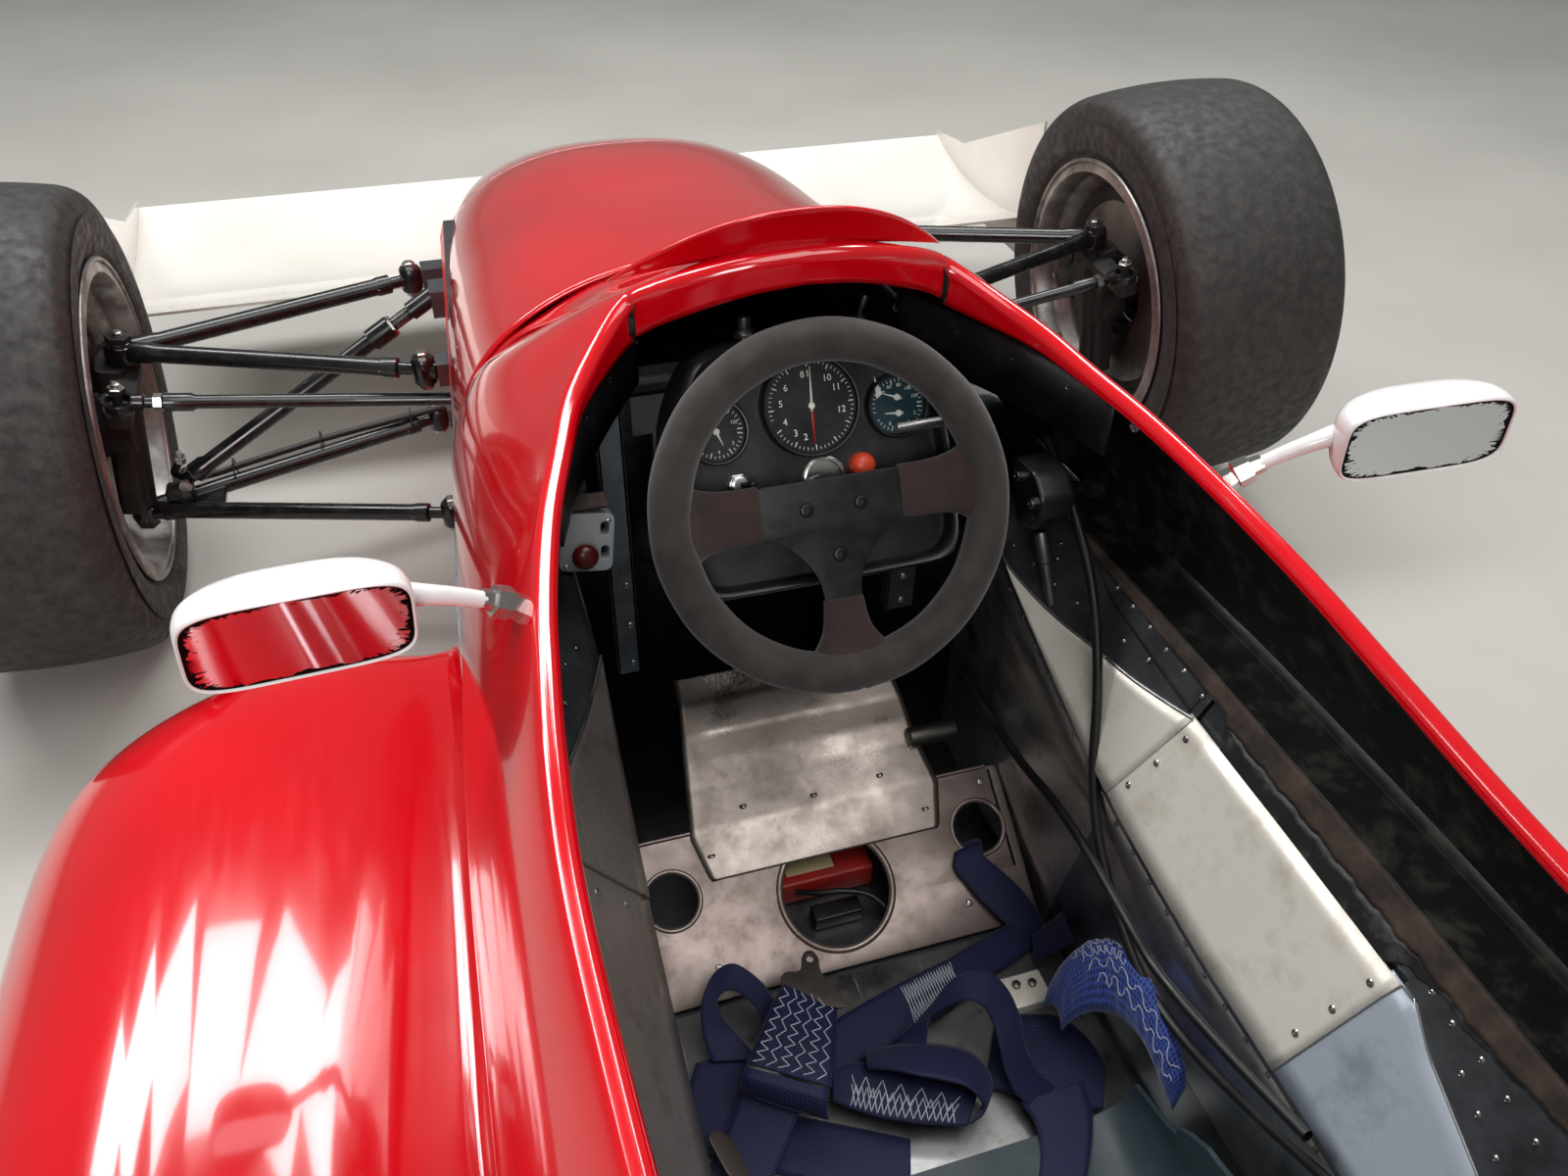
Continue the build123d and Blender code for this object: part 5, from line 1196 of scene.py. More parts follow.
# Panels, their joints and edges, the plumb walls with a folded lip, and all the rivets.
def buildSills():
    for name, (rows, lift, side, finish) in sillPanels.items():
        piece(name, sillSheet(rows, lift, side), finish, thick=sill["sheet"])
    edges, joints = [], []
    for side in (1, -1):
        line = place(onSill(straight(gussetEdges[side], 30), 3.0, side))
        edges.append(carry(line, roundProfile(0.0016, 10), up=(0, 1, 0.2)))
        for joint in panelJoints[side]:
            joints.append(carry(place(onSill(straight(joint, 24), 1.9, side)),
                                boxProfile(0.0016, 0.0012, 0.0005, 3), up=(0, 1, 0.2)))
    piece("gussetEdges", join(edges), sheetAluminium)
    piece("panelJoints", join(joints), sheetAluminium)
    heads = [sillRivets(lidRivets, 1.7, 2.2), sillRivets(jointRivets, 2.8),
             sillRivets(sideRivets, 1.0, 2.3)]
    # the vertical walls have a folded lip along the sill and one row of rivets below it
    walls, lips = [], []
    rows = np.array(sill["rows"])
    station = np.linspace(-1428, -522, 120)
    x, z = np.interp(station, rows[:, 0], rows[:, 1]), np.interp(station, rows[:, 0], rows[:, 2])
    for side in (1, -1):
        down = np.linspace(0, 1, 6)[None, :]
        wall = np.stack([side * (x[:, None] + 1.6 + down * 1.5),
                         np.broadcast_to(station[:, None], (120, 6)),
                         z[:, None] + (sill["floor"] - z[:, None]) * down], -1)
        walls.append(grid(place(wall)))
        fold = np.array([(2.4, 1.4), (0.6, 0.9), (-0.4, 0.1), (-0.5, -1.2), (-0.2, -sill["lip"])])
        lip = np.stack([side * (x[:, None] + fold[None, :, 0]),
                        np.broadcast_to(station[:, None], (120, 5)),
                        z[:, None] + fold[None, :, 1]], -1)
        lips.append(grid(place(lip)))
        for ahead in np.arange(-620, -1400, -sill["rivetPitch"]):
            spot = (side * (np.interp(ahead, rows[:, 0], rows[:, 1]) + 0.4), ahead,
                    np.interp(ahead, rows[:, 0], rows[:, 2]) - sill["rivetDrop"])
            heads.append(rivets([place(spot)], [np.array([-side, 0.0, 0.0])], 2.4))
    piece("sillWalls", join(walls), sheetAluminium, thick=1.0)
    piece("sillLips", join(lips), sheetAluminium, thick=0.8)
    piece("sillRivets", join(heads), brightSteel)


buildSills()

# Rubbery trim glued over the top of the slope: ahead and share of its lower edge, on each side.
trim = {
    "right": [(-560, 0.99), (-600, 0.985), (-669, 0.93), (-840, 0.93), (-845, 0.9), (-852, 0.8),
              (-860, 0.68), (-900, 0.64), (-943, 0.64), (-979, 0.63), (-1005, 0.63), (-1019, 0.7),
              (-1028, 0.76), (-1039, 0.83), (-1061, 0.88), (-1089, 0.87), (-1150, 0.92),
              (-1400, 0.94)],
    "left": [(-560, 0.98), (-620, 0.955), (-760, 0.95), (-1400, 0.95)],
    "band": 0.9, "lift": 3.2, "ledge": 1.2, "up": 13.0,
    "hem": [(-1400, 297), (-1240, 300), (-1140, 299), (-953, 295), (-815, 290), (-650, 278),
            (-560, 272)],
}


# The trim's cross-section runs up the slope, over
# its edge, along the ledge and up inside the shell.
def buildTrim():
    flaps, bands, linings = [], [], []
    hem = np.array(trim["hem"])
    for side, rows in ((1, trim["right"]), (-1, trim["left"])):
        rows = straight(rows, 180)
        wobble = 0.006 * np.sin(rows[:, 0] * 0.21) + 0.004 * np.sin(rows[:, 0] * 0.53 + side)
        low = rows[:, 1] + wobble
        top = np.maximum(low + 0.012, trim["band"] + wobble)
        t = np.linspace(0, 1, 7)[None, :]
        spots = np.stack([np.broadcast_to(rows[:, :1], (180, 7)),
                          low[:, None] + (top - low)[:, None] * t], -1)
        flaps.append(grid(place(onSill(spots, trim["lift"] - 0.8, side))))
        spots = np.stack([np.broadcast_to(rows[:, :1], (180, 7)),
                          top[:, None] + (1.04 - top)[:, None] * t], -1)
        bands.append(grid(place(onSill(spots, trim["lift"], side))))
        crest = onSill(np.stack([rows[:, 0], np.full(180, 1.04)], -1), trim["lift"] - 0.5, side)
        edge = np.interp(rows[:, 0], hem[:, 0], hem[:, 1]) - 4.5
        level = sill["top"] + trim["ledge"]
        lines = [crest,
                 np.stack([side * (abs(crest[:, 0]) + 4), rows[:, 0], np.full(180, level + 1)], -1),
                 np.stack([side * (abs(crest[:, 0]) * 0.4 + edge * 0.6), rows[:, 0],
                           np.full(180, level)], -1),
                 np.stack([side * (edge - 1.5), rows[:, 0], np.full(180, level + 0.6)], -1),
                 np.stack([side * edge, rows[:, 0], np.full(180, level + 3)], -1),
                 np.stack([side * (edge + 0.8), rows[:, 0], np.full(180, level + trim["up"])], -1)]
        linings.append(grid(place(np.stack(lines, 1))))
    piece("trimFlap", join(flaps), wornTrim, thick=1.0)
    piece("trimBand", join(bands), brownTrim, thick=1.4)
    piece("ledgeLining", join(linings), blackComposite, thick=1.2)


# Dark rubber sheet scuffed light along its edge.
wornTrim = makeCoating("wornTrim", "#1F1F21", "#5A5957", 0.5, 2.0, 0.2, (0.5, 0.72))
buildTrim()

# Shin plate: profile of ahead and z with the radius of each fold, and half width by ahead.
shin = {
    "profile": [(-520, 205), (-550, 199), (-578, 184), (-596, 167), (-612, 156), (-649, 139.6),
                (-687, 113.4)],
    "plan": [(-688, 106), (-672, 119), (-652, 119), (-600, 111), (-550, 103), (-520, 101)],
    "wall": 1.6, "screws": [(-66, -636), (0, -640), (66, -636), (-104, -668), (100, -670)],
}


# The sheet follows its folded profile; near one fold its middle stands up by under a millimetre.
def buildShin():
    line = roundedOutline([(-500, 206)] + shin["profile"] + [(-700, 104)], 5, 6)
    line = line[(line[:, 0] <= -519.5) & (line[:, 0] >= -687.5)]
    plan = np.array(shin["plan"])
    half = np.interp(line[:, 0], plan[:, 0], plan[:, 1])
    across = np.linspace(-1, 1, 41)[None, :]
    sag = 0.7 * np.cos(across * 2.1) * np.exp(-((line[:, :1] + 590) / 30) ** 2)
    points = np.stack([half[:, None] * across, np.broadcast_to(line[:, :1], (len(line), 41)),
                       line[:, 1:] + 1.0 + sag], -1)
    piece("shinSheet", grid(place(points)), shinAluminium, thick=shin["wall"], smooth=30,
          replaces="shin_plate")
    heads = []
    profile = np.array(shin["profile"][::-1])
    for x, ahead in shin["screws"]:
        z = np.interp(ahead, profile[:, 0], profile[:, 1]) + 1.0
        slope = np.array([0, 0.42 if ahead > -649 else 0.57, 0.9])
        heads.append(crossScrew(place((x, ahead, z)), -slope * (1, -1, -1) / np.linalg.norm(slope),
                                3.6))
    piece("shinScrews", join(heads), brightSteel)


# Pan-head screw with a crossed recess pressed into it; radius in millimetres.
def crossScrew(spot, normal, radius):
    normal = unit(normal)
    side = unit(np.cross(normal, (0.31, 0.2, 0.9)))
    rise = np.cross(normal, side)
    turn = np.linspace(0, 2 * math.pi, 48, endpoint=False)[None, :]
    away = np.linspace(1, 0.02, 10)[:, None]
    height = 0.42 * radius * np.sqrt(np.maximum(1 - away**2, 0)) ** 0.8
    u, v = away * np.cos(turn), away * np.sin(turn)
    cross = np.maximum(np.exp(-(u / 0.13) ** 4) * (abs(v) < 0.56),
                       np.exp(-(v / 0.13) ** 4) * (abs(u) < 0.56))
    lift = (height - 0.3 * radius * cross)[..., None]
    points = spot + 0.001 * (radius * u[..., None] * side + radius * v[..., None] * rise + lift
                             * normal)
    base = points[:1] - 0.0006 * normal
    return grid(np.concatenate([base, points]), wrapColumns=True, capEnd=True)


shinAluminium = makeMetal("shinAluminium", "#A0958E", "#857A73", 0.3, 0.5, (0.05, 1, 1), 0.95, 0.8,
                          (0.45, 0.7))
buildShin()

# Panel in front of the seat: its top and foot as ahead
# and z, its holes as x, distance down and radius.
seatPanel = {
    "top": (-645.0, 136.0), "foot": (-770.0, 54.0), "half": 180.0, "wall": 2.0, "lift": 3.4,
    "holes": [(0, 78, 49), (-146, 54, 23), (146, 54, 23)], "slot": (172.0, 4.0, 96.0, 2.4),
}


# Axes of the sloping panel: down it, and out of it towards the driver.
def panelAxes():
    down = np.array([0, seatPanel["foot"][0] - seatPanel["top"][0],
                     seatPanel["foot"][1] - seatPanel["top"][1]])
    length = np.linalg.norm(down)
    down = down / length
    return down, np.cross(np.array([1.0, 0, 0]), down) * -1, length


# Places on the panel from x and the distance down it, lifted towards the driver, in millimetres.
def onPanel(points):
    points = np.asarray(points, float)
    down, out, _ = panelAxes()
    base = np.array([0, seatPanel["top"][0], seatPanel["top"][1]])
    return place(base + points[..., :1] * np.array([1.0, 0, 0]) + points[..., 1:2] * down
                 + points[..., 2:] * out)


# A plate with three holes and a slot; each hole's edge is rolled and the top edge is folded.
def buildSeatPanel():
    down, out, length = panelAxes()
    turn = axesMatrix((1, 0, 0), down, np.cross((1, 0, 0), down),
                      onPanel((0, 0, seatPanel["lift"] - 1)))
    half = seatPanel["half"]
    x, low, high, width = seatPanel["slot"]
    outlines = [roundedOutline([(-half, 1), (half, 1), (half, length - 5), (-half, length - 5)], 6),
                roundedOutline([(x - width, low), (x, low), (x, high), (x - width, high)], 1, 3)]
    outlines += [ringOutline(radius, (x, y), 72) for x, y, radius in seatPanel["holes"]]
    cutPlate("seatPanel", outlines, seatPanel["wall"], turn, paintedRedReflectionAluminium, edge=0.4,
             replaces="seat_bulkhead", slot="sheet_aluminium")
    rims = []
    for x, y, radius in seatPanel["holes"]:
        roll = 3.2 if radius > 40 else 2.4
        angle = np.linspace(-0.6 * math.pi, 0.5 * math.pi, 9)
        profile = np.stack([seatPanel["lift"] - 1 + roll * 0.9 * np.cos(angle) * 0.9,
                            radius + roll + roll * np.sin(angle)], -1)
        rims.append(lathe(profile * 0.001, onPanel((x, y, 0)), out, 96))
    piece("panelHoleRims", join(rims), paintedRedReflectionAluminium, thick=0.8, smooth=60)
    edge = np.stack([np.linspace(-half, 168, 60), np.full(60, 0.5), np.full(60, seatPanel["lift"])],
                    -1)
    piece("panelTopFold", carry(onPanel(edge), roundProfile(0.0022, 12), up=(0, 0, 1)),
          paintedRedReflectionAluminium)
    heads = [crossScrew(onPanel((x, y, seatPanel["lift"])), out, 3.2)
             for x, y in ((-172, 12), (-118, 118), (118, 118), (160, 14), (-60, 14), (60, 14))]
    piece("panelScrews", join(heads), brightSteel)


# Aluminium of the seat panel, tinted pinkish grey: a painted reflection of the red bodywork.
paintedRedReflectionAluminium = makeMetal("paintedRedReflectionAluminium", "#8C7E79", "#75685F", 0.34, 0.5, (0.08, 1, 1), 0.85,
                           0.8,
                           (0.48, 0.72))
buildSeatPanel()


# Red box under the panel's hole, with its blank label, a cable and a black module beside it.
def buildUnderPanel():
    piece("ignitionBox", roundedBox((-50, -688, 55), (46, -642, 83), 3, 5), redMoulding,
          replaces="ignition_box")
    piece("boxLabel", roundedBox((-36, -678, 82.8), (10, -652, 83.5), 0.3), blankLabel)
    piece("blackModule", roundedBox((-22, -722, 55), (24, -704, 70), 2), blackMoulding)
    route = through([(-30, -690, 74), (-12, -700, 80), (10, -706, 82), (34, -716, 78),
                     (52, -738, 64)], 40)
    piece("boxLead", carry(place(route), roundProfile(0.0028, 10)), cableSheath)


buildUnderPanel()


# Switch plate: a rounded plate that faces the driver, with a mushroom knob and two slots.
def buildSwitchPlate():
    centre = place((-175, -600, 443))
    out = unit((0.05, -1.0, 0.28))
    across = np.cross(out, (0, 0, 1)) * -1
    across = across - 0.18 * np.array([0, 0, 1.0])
    across = unit(across - out * across.dot(out))
    up = np.cross(out, across)
    turn = axesMatrix(across, up, out, centre - out * 0.007)
    slots = [roundedOutline([(u - 3, v - 5), (u + 3, v - 5), (u + 3, v + 5), (u - 3, v + 5)], 3)
             for u, v in ((13, 11), (14, -8))]
    cutPlate("switchPlate",
             [roundedOutline([(-20.5, -23), (20.5, -23), (20.5, 23), (-20.5, 23)], 7)] + slots,
             14, turn, greyBox, edge=1.2, replaces="switch_box", slot="grey_box")
    spot = centre + 0.001 * (-3 * across - 7 * up)
    piece("switchKnob",
          turned([(0, 4.5), (6, 4.5), (7, 8.2), (9, 9.6), (12, 9.8), (14.5, 8), (16, 4.6),
                  (16.4, 0.4)], spot, out, 32), knobRed)
    piece("switchPegs",
          join([turned([(0, 1.8), (2.4, 1.8), (2.8, 1.2)], centre + 0.001 * (u * across + v * up),
                       out, 12) for u, v in ((-15, 17), (15, 18), (-15, -18))]), brightSteel)
    piece("switchBracket", join([roundedBox((-232, -596, 470), (-156, -578, 472), 0.8),
                                 roundedBox((-190, -596, 440), (-188, -580, 471), 0.8)]), brownTrim)


buildSwitchPlate()

# Gear lever: steel rod with a turned black knob; its cable housing and clamp above it.
gearLever = {"foot": (200, -668, 318), "top": (189.5, -631, 402), "knob": (188, -622, 417),
             "radius": 17.0}


# Rod and knob, the housing with its bolts, a short tube at the scuttle and one in the footwell.
def buildGearLever():
    piece("leverRod",
          rod(gearLever["foot"], gearLever["top"], [(0, 5), (0.7, 5), (0.72, 7), (0.94, 7.4),
                                                    (1, 6.5)], 20), discSteel,
          replaces="gear_lever")
    axis = place(gearLever["top"]) - place(gearLever["foot"])
    r = gearLever["radius"]
    angle = np.linspace(-0.42 * math.pi, 0.499 * math.pi, 22)
    profile = np.stack([r * 0.94 * np.sin(angle), r * np.cos(angle) ** 0.9], -1)
    piece("leverKnob", turned(profile, place(gearLever["knob"]), axis, 40), blackMoulding,
          smooth=60)
    profile = roundedOutline([(-668, 441), (-616, 446), (-616, 472), (-650, 476), (-668, 462)], 6,
                             6)
    layers = [(162.5, 0.94), (163.5, 0.985), (166, 1.0), (187, 1.0), (190, 0.985), (191, 0.94)]
    middle = profile.mean(0)
    rings = np.array([np.column_stack([np.full(len(profile), x), middle + (profile - middle) * s])
                      for x, s in layers])
    piece("leverHousing", grid(place(rings), wrapColumns=True, capStart=True, capEnd=True),
          blackMoulding)
    piece("leverBolts", join([turned([(0, 4), (2.6, 4), (3.2, 3), (3.2, 1.4), (1.6, 1.2)],
                                     place((162.4, a, z)), (-1, 0, 0), 20)
                              for a, z in ((-655, 452), (-628, 460))]), brightSteel)
    piece("scuttleTube",
          join([rod((170, -526, 518), (170, -576, 514), [(0, 7), (0.02, 8.6), (0.98, 8.6), (1, 7)],
                    24),
                rod((170, -540, 517), (170, -552, 516), [(0, 9.8), (1, 9.8)], 24)]), discSteel)
    piece("footwellTube",
          rod((102, -612, 160), (150, -612, 160), [(0, 8), (0.04, 10), (0.96, 10), (1, 9)], 24),
          discSteel)


buildGearLever()

# Lining plates under the cowl, with their screws and blank labels; channels beside the footwell.
lining = {"screws": [(109, -483), (140, -536), (166, -586), (187, -636), (206, -698)],
          "screwZ": 540.0,
          "plate": (0.0, 3.7, 504, 556), "channels": [(-149, -127, 208), (116, 147, 225)],
          "labels": [(0.22, 0.72, 546, 530), (1.15, 1.4, 534, 522)]}


# Places on the lining's plan line by its own row number, on one side.
def onLining(spot, side, z, lift):
    plan = np.array(lining["screws"], float)
    at = np.stack([np.interp(spot, range(len(plan)), plan[:, k]) for k in (0, 1)], -1)
    run = unit(plan[1] - plan[0])
    normal = np.array([-side * abs(run[1]), -abs(run[0]), 0.0])
    return place(np.append([side * at[0], at[1]], z) + normal * lift), normal


# Lining sheets on both sides, U-shaped channels, screws and labels.
def buildLining():
    heads, labels, plates = [], [], []
    first, last, low, high = lining["plate"]
    for side in (1, -1):
        spots = np.linspace(first, last, 30)
        plates.append(grid(np.array([[onLining(s, side, z, -0.4)[0] for z in (low, high)]
                                     for s in spots])))
    piece("cowlLining", join(plates), blackMoulding, thick=2.0)
    strips = [roundedBox((x0, y0, low), (x1, y1, 500), 0.6, 3) for near, far,
              low in lining["channels"]
              for x0, x1, y0, y1 in ((near, far, -502, -499), (near, near + 3, -502, -488),
                                     (far - 3, far, -502, -488))]
    piece("dashChannels", join(strips), dullAluminium)
    for side in (1, -1):
        for number in range(len(lining["screws"])):
            spot, normal = onLining(number, side, lining["screwZ"], 0.2)
            heads.append(crossScrew(spot, normal, 4.2))
    for first, last, high, low in lining["labels"]:
        corners = [onLining(first, -1, low, 0.7)[0], onLining(last, -1, low, 0.7)[0],
                   onLining(last, -1, high, 0.7)[0], onLining(first, -1, high, 0.7)[0]]
        labels.append((np.array(corners), [np.array([[0, 1, 2, 3]])]))
    piece("liningScrews", join(heads), brightSteel)
    piece("liningLabels", join(labels), blackLabel, thick=0.5)
    spots = [(-134, z) for z in (314, 267, 220)] + [(132, z) for z in (313, 265, 235)]
    piece("channelScrews",
          join([crossScrew(place((x, -502.2, z)), (0, -1, 0), 3.4) for x, z in spots]),
          brightSteel)


buildLining()
print("stage: cords")

# Control cables along the right sill: the points of
# each route as they are in the CAD model, in metres.
cableRadius = 0.004
cableRoutes = {
    "throttleCable": ([(0.200, -0.600, 0.470), (0.200, -0.680, 0.430), (0.196, -0.740, 0.352),
                       (0.176, -0.796, 0.258), (0.172, -0.860, 0.205), (0.172, -0.930, 0.178),
                       (0.174, -1.020, 0.206), (0.176, -1.110, 0.256)], 0.647),
    "gearCable": ([(0.160, -0.600, 0.214), (0.164, -0.690, 0.207), (0.168, -0.780, 0.226),
                   (0.160, -0.880, 0.236), (0.162, -0.950, 0.226), (0.168, -1.080, 0.272)], 0.488),
}


# Each cable is a round curve drawn towards the points of its route.
def buildCables():
    for name, (route, length) in cableRoutes.items():
        curve = bpy.data.curves.new(name, "CURVE")
        curve.dimensions = "3D"
        curve.bevel_depth = cableRadius
        curve.bevel_resolution = 5
        spline = curve.splines.new("NURBS")
        spline.points.add(len(route) - 1)
        for point, (x, ahead, z) in zip(spline.points, route):
            point.co = (x, ahead + frontAxleY, z, 1)
        spline.order_u = 3
        spline.use_endpoint_u = True
        spline.resolution_u = 16
        cable = bpy.data.objects.new(name, curve)
        bpy.context.scene.collection.objects.link(cable)
        curve.materials.append(cableSheath)
        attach(cable, "chassis")
        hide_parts("control_cables")


buildCables()

print("stage: seat and harness")

# Seat shell: side height along it, from the front of the cushion to the top of the back.
seatShell = {
    "bend": 150.0, "half": 163.0, "corner": 52.0,
    "sides": [(0.0, 42), (0.04, 62), (0.1, 80), (0.2, 90), (0.6, 91), (0.93, 88), (1.0, 60)],
    "flare": 0.02, "wall": 4.0,
}


# The section is a flat base, a quarter circle and a
# leaning side; the inner skin lies a wall inside it.
def buildSeat():
    bend = roundedOutline([(-700, 73), (-1130, 61), (-1343, 424)], seatShell["bend"], 24)
    bend = bend[(bend[:, 0] < -1000) & (bend[:, 1] < 300)]
    line = through(np.vstack([[(-955, 66)], bend, [(-1343, 424)]]), 90)
    run = np.gradient(line, axis=0)
    run /= np.linalg.norm(run, axis=1)[:, None]
    up = np.stack([run[:, 1], -run[:, 0]], -1)
    share = np.linspace(0, 1, len(line))
    sides = np.array(seatShell["sides"])
    height = np.interp(share, sides[:, 0], sides[:, 1])
    half, corner, wall = seatShell["half"], seatShell["corner"], seatShell["wall"]
    turn = np.linspace(0, math.pi / 2, 10)[1:]
    rings = []
    for k in range(len(line)):
        squash = min(height[k] / (corner + 6), 1.0)
        base = np.stack([np.linspace(0, half - corner, 9), np.zeros(9)], -1)
        bend = np.stack([half - corner + corner * np.sin(turn),
                         squash * corner * (1 - np.cos(turn))], -1)
        rise = np.linspace(bend[-1, 1], height[k], 7)[1:]
        side = np.stack([half + seatShell["flare"] * (rise - corner * squash), rise], -1)
        outer = np.vstack([base, bend, side])
        slope = np.gradient(outer, axis=0)
        slope /= np.linalg.norm(slope, axis=1)[:, None]
        inner = outer + wall * np.stack([-slope[:, 1], slope[:, 0]], -1)
        loop = np.vstack([outer, inner[::-1]])
        loop = np.vstack([loop[:-1], (loop[:-1] * (-1, 1))[::-1][:-1]])
        rings.append(np.column_stack([loop[:, 0], line[k, 0] + loop[:, 1] * up[k, 0],
                                      line[k, 1] + loop[:, 1] * up[k, 1]]))
    rings = place(np.array(rings))
    count = len(outer) * 2 - 1
    ends = []
    for ring in (rings[0], rings[-1]):
        right = np.stack([ring[:len(outer)], ring[:count + 1][::-1][:len(outer)]])
        ends += [grid(right), otherSide(grid(right))]
    piece("seatShell", join([grid(rings, wrapColumns=True), *ends]), seatComposite, smooth=50,
          replaces="seat")


# The floor sheet between the panel and the seat, with a bracket for the lap strap on the right.
def buildCockpitFloor():
    piece("cockpitFloor", roundedBox((-182, -1040, 54.5), (182, -772, 58.5), 1.2), sheetAluminium)
    piece("strapBracket", join([roundedBox((108, -852, 58), (150, -822, 70), 1.5),
                                roundedBox((104, -860, 58), (112, -846, 78), 1.5)]), paintedHighlightAluminium)
    piece("strapBolts",
          join([turned([(0, 4), (3, 4), (3.6, 3)], place((124, -832, 70)), (0, 0, 1), 6),
                turned([(0, 4), (3, 4), (3.6, 3)], place((138, -834, 70)), (0, 0, 1), 6)]),
          discSteel)


# Satin composite of the seat shell.
seatComposite = makeCoating("seatShellFinish", "#36434A", "#435057", 0.34, 1.8, 0.06)
buildSeat()
buildCockpitFloor()

# Webbing straps. Each row is one place on the left edge and one on the right: x, ahead, z.
straps = {
    "strapFromHole": [(148, -690, 90, 119, -694, 88), (145, -704, 102, 116, -708, 101),
                      (142, -716, 100, 111, -721, 98), (150, -727, 94, 118, -736, 90),
                      (165, -745, 83, 130, -756, 79), (174, -761, 73, 142, -772, 70),
                      (178, -773, 66, 154, -787, 63)],
    "strapBack": [(179, -776, 64, 163, -796, 61), (164, -772, 67, 152, -800, 62),
                  (140, -774, 69, 136, -806, 64), (112, -782, 71, 110, -815, 66),
                  (76, -793, 74, 77, -829, 69), (44, -800, 76, 46, -840, 71),
                  (13, -808, 78, 12, -852, 73),
                  (-18, -817, 80, -22, -861, 75), (-46, -826, 82, -54, -870, 77)],
    "strapLay": [(-158, -822, 70, -114, -824, 72), (-170, -843, 68, -126, -852, 70),
                 (-177, -864, 66, -134, -880, 68), (-180, -886, 65, -140, -908, 66)],
    "strapBand": [(-112, -872, 63, -135, -912, 62), (-78, -890, 63, -101, -931, 62),
                  (-44, -908, 63, -64, -949, 62), (-11, -926, 63, -27, -967, 62)],
    "strapTail": [(-128, -858, 86, -88, -887, 88), (-140, -873, 80, -101, -903, 82),
                  (-155, -891, 74, -117, -921, 75), (-172, -909, 69, -134, -940, 69)],
    "strapUnder": [(-55, -864, 84, -64, -890, 84), (-34, -866, 85, -49, -902, 84),
                   (-8, -879, 85, -27, -916, 84), (22, -897, 85, 4, -929, 84),
                   (50, -914, 84, 30, -938, 83)],
    "strapLoop": [(-26, -860, 90, -32, -879, 98), (-6, -863, 92, -16, -889, 106),
                  (16, -868, 93, 0, -901, 111),
                  (39, -877, 93, 19, -911, 111), (55, -888, 92, 35, -920, 108),
                  (62, -903, 90, 43, -930, 101),
                  (60, -918, 88, 43, -937, 94), (46, -931, 87, 30, -941, 90)],
    "strapArch": [(20, -878, 86, 0, -872, 84), (24, -866, 98, 4, -860, 94),
                  (32, -853, 114, 16, -858, 106),
                  (46, -845, 127, 36, -858, 116), (64, -842, 133, 54, -860, 124),
                  (84, -847, 131, 68, -867, 123), (95, -860, 122, 74, -880, 114),
                  (99, -878, 110, 74, -896, 104), (98, -896, 97, 74, -910, 93),
                  (102, -912, 84, 78, -925, 82), (114, -924, 74, 90, -938, 73)],
    "strapLeftLoop": [(-84, -800, 92, -98, -812, 86), (-92, -786, 104, -104, -798, 96),
                      (-110, -770, 114, -118, -786, 103), (-128, -770, 109, -130, -789, 98),
                      (-143, -786, 98, -128, -803, 90), (-148, -806, 86, -118, -818, 80),
                      (-146, -828, 76, -108, -836, 75)],
    "strapRight": [(96, -852, 68, 62, -905, 66), (122, -858, 69, 82, -918, 66),
                   (146, -868, 69, 100, -930, 67),
                   (160, -890, 69, 122, -942, 67), (164, -918, 68, 144, -950, 67)],
    "strapDown": [(80, -930, 76, 136, -928, 78), (84, -946, 74, 132, -950, 76),
                  (80, -966, 72, 118, -976, 74),
                  (68, -986, 70, 100, -1000, 72), (52, -1004, 69, 80, -1020, 70)],
    "strapSill": [(160, -792, 72, 152, -816, 70), (170, -796, 92, 164, -822, 90),
                  (178, -800, 112, 174, -828, 110)],
}
webbing = {"thick": 1.7, "crown": 1.0, "columns": 9, "thread": 0.00042}


# Surface of a strap: rows smoothed along it, and a slight crown across it.
def strapSurface(rows, count):
    table = through(rows, count)
    left, right = place(table[:, :3]), place(table[:, 3:])
    run = np.gradient((left + right) / 2, axis=0)
    normal = np.cross(right - left, run)
    normal /= np.maximum(np.linalg.norm(normal, axis=1)[:, None], 1e-9)
    normal *= np.sign(normal[:, 2:] + 1e-6)
    t = np.linspace(0, 1, webbing["columns"])[None, :, None]
    points = left[:, None] + (right - left)[:, None] * t
    points = points + normal[:, None] * (4 * t * (1 - t) * webbing["crown"] * 0.001)
    return points, normal


# One length of webbing, with its UV in millimetres along it and across it.
def buildStrap(name, rows, replaces=()):
    points, _ = strapSurface(rows, 14 * len(rows))
    step = np.linalg.norm(np.diff(points.mean(1), axis=0), axis=1)
    along = np.concatenate([[0], np.cumsum(step)]) * 1000
    width = np.linspace(0, 1, webbing["columns"]) * 45.0
    uv = np.stack(np.broadcast_arrays(width[None, :], along[:, None]), -1).reshape(-1, 2)
    piece(name, grid(points), navyShadedWebbing, thick=webbing["thick"], smooth=60, uv=uv, weld=1e-7,
          replaces=replaces)


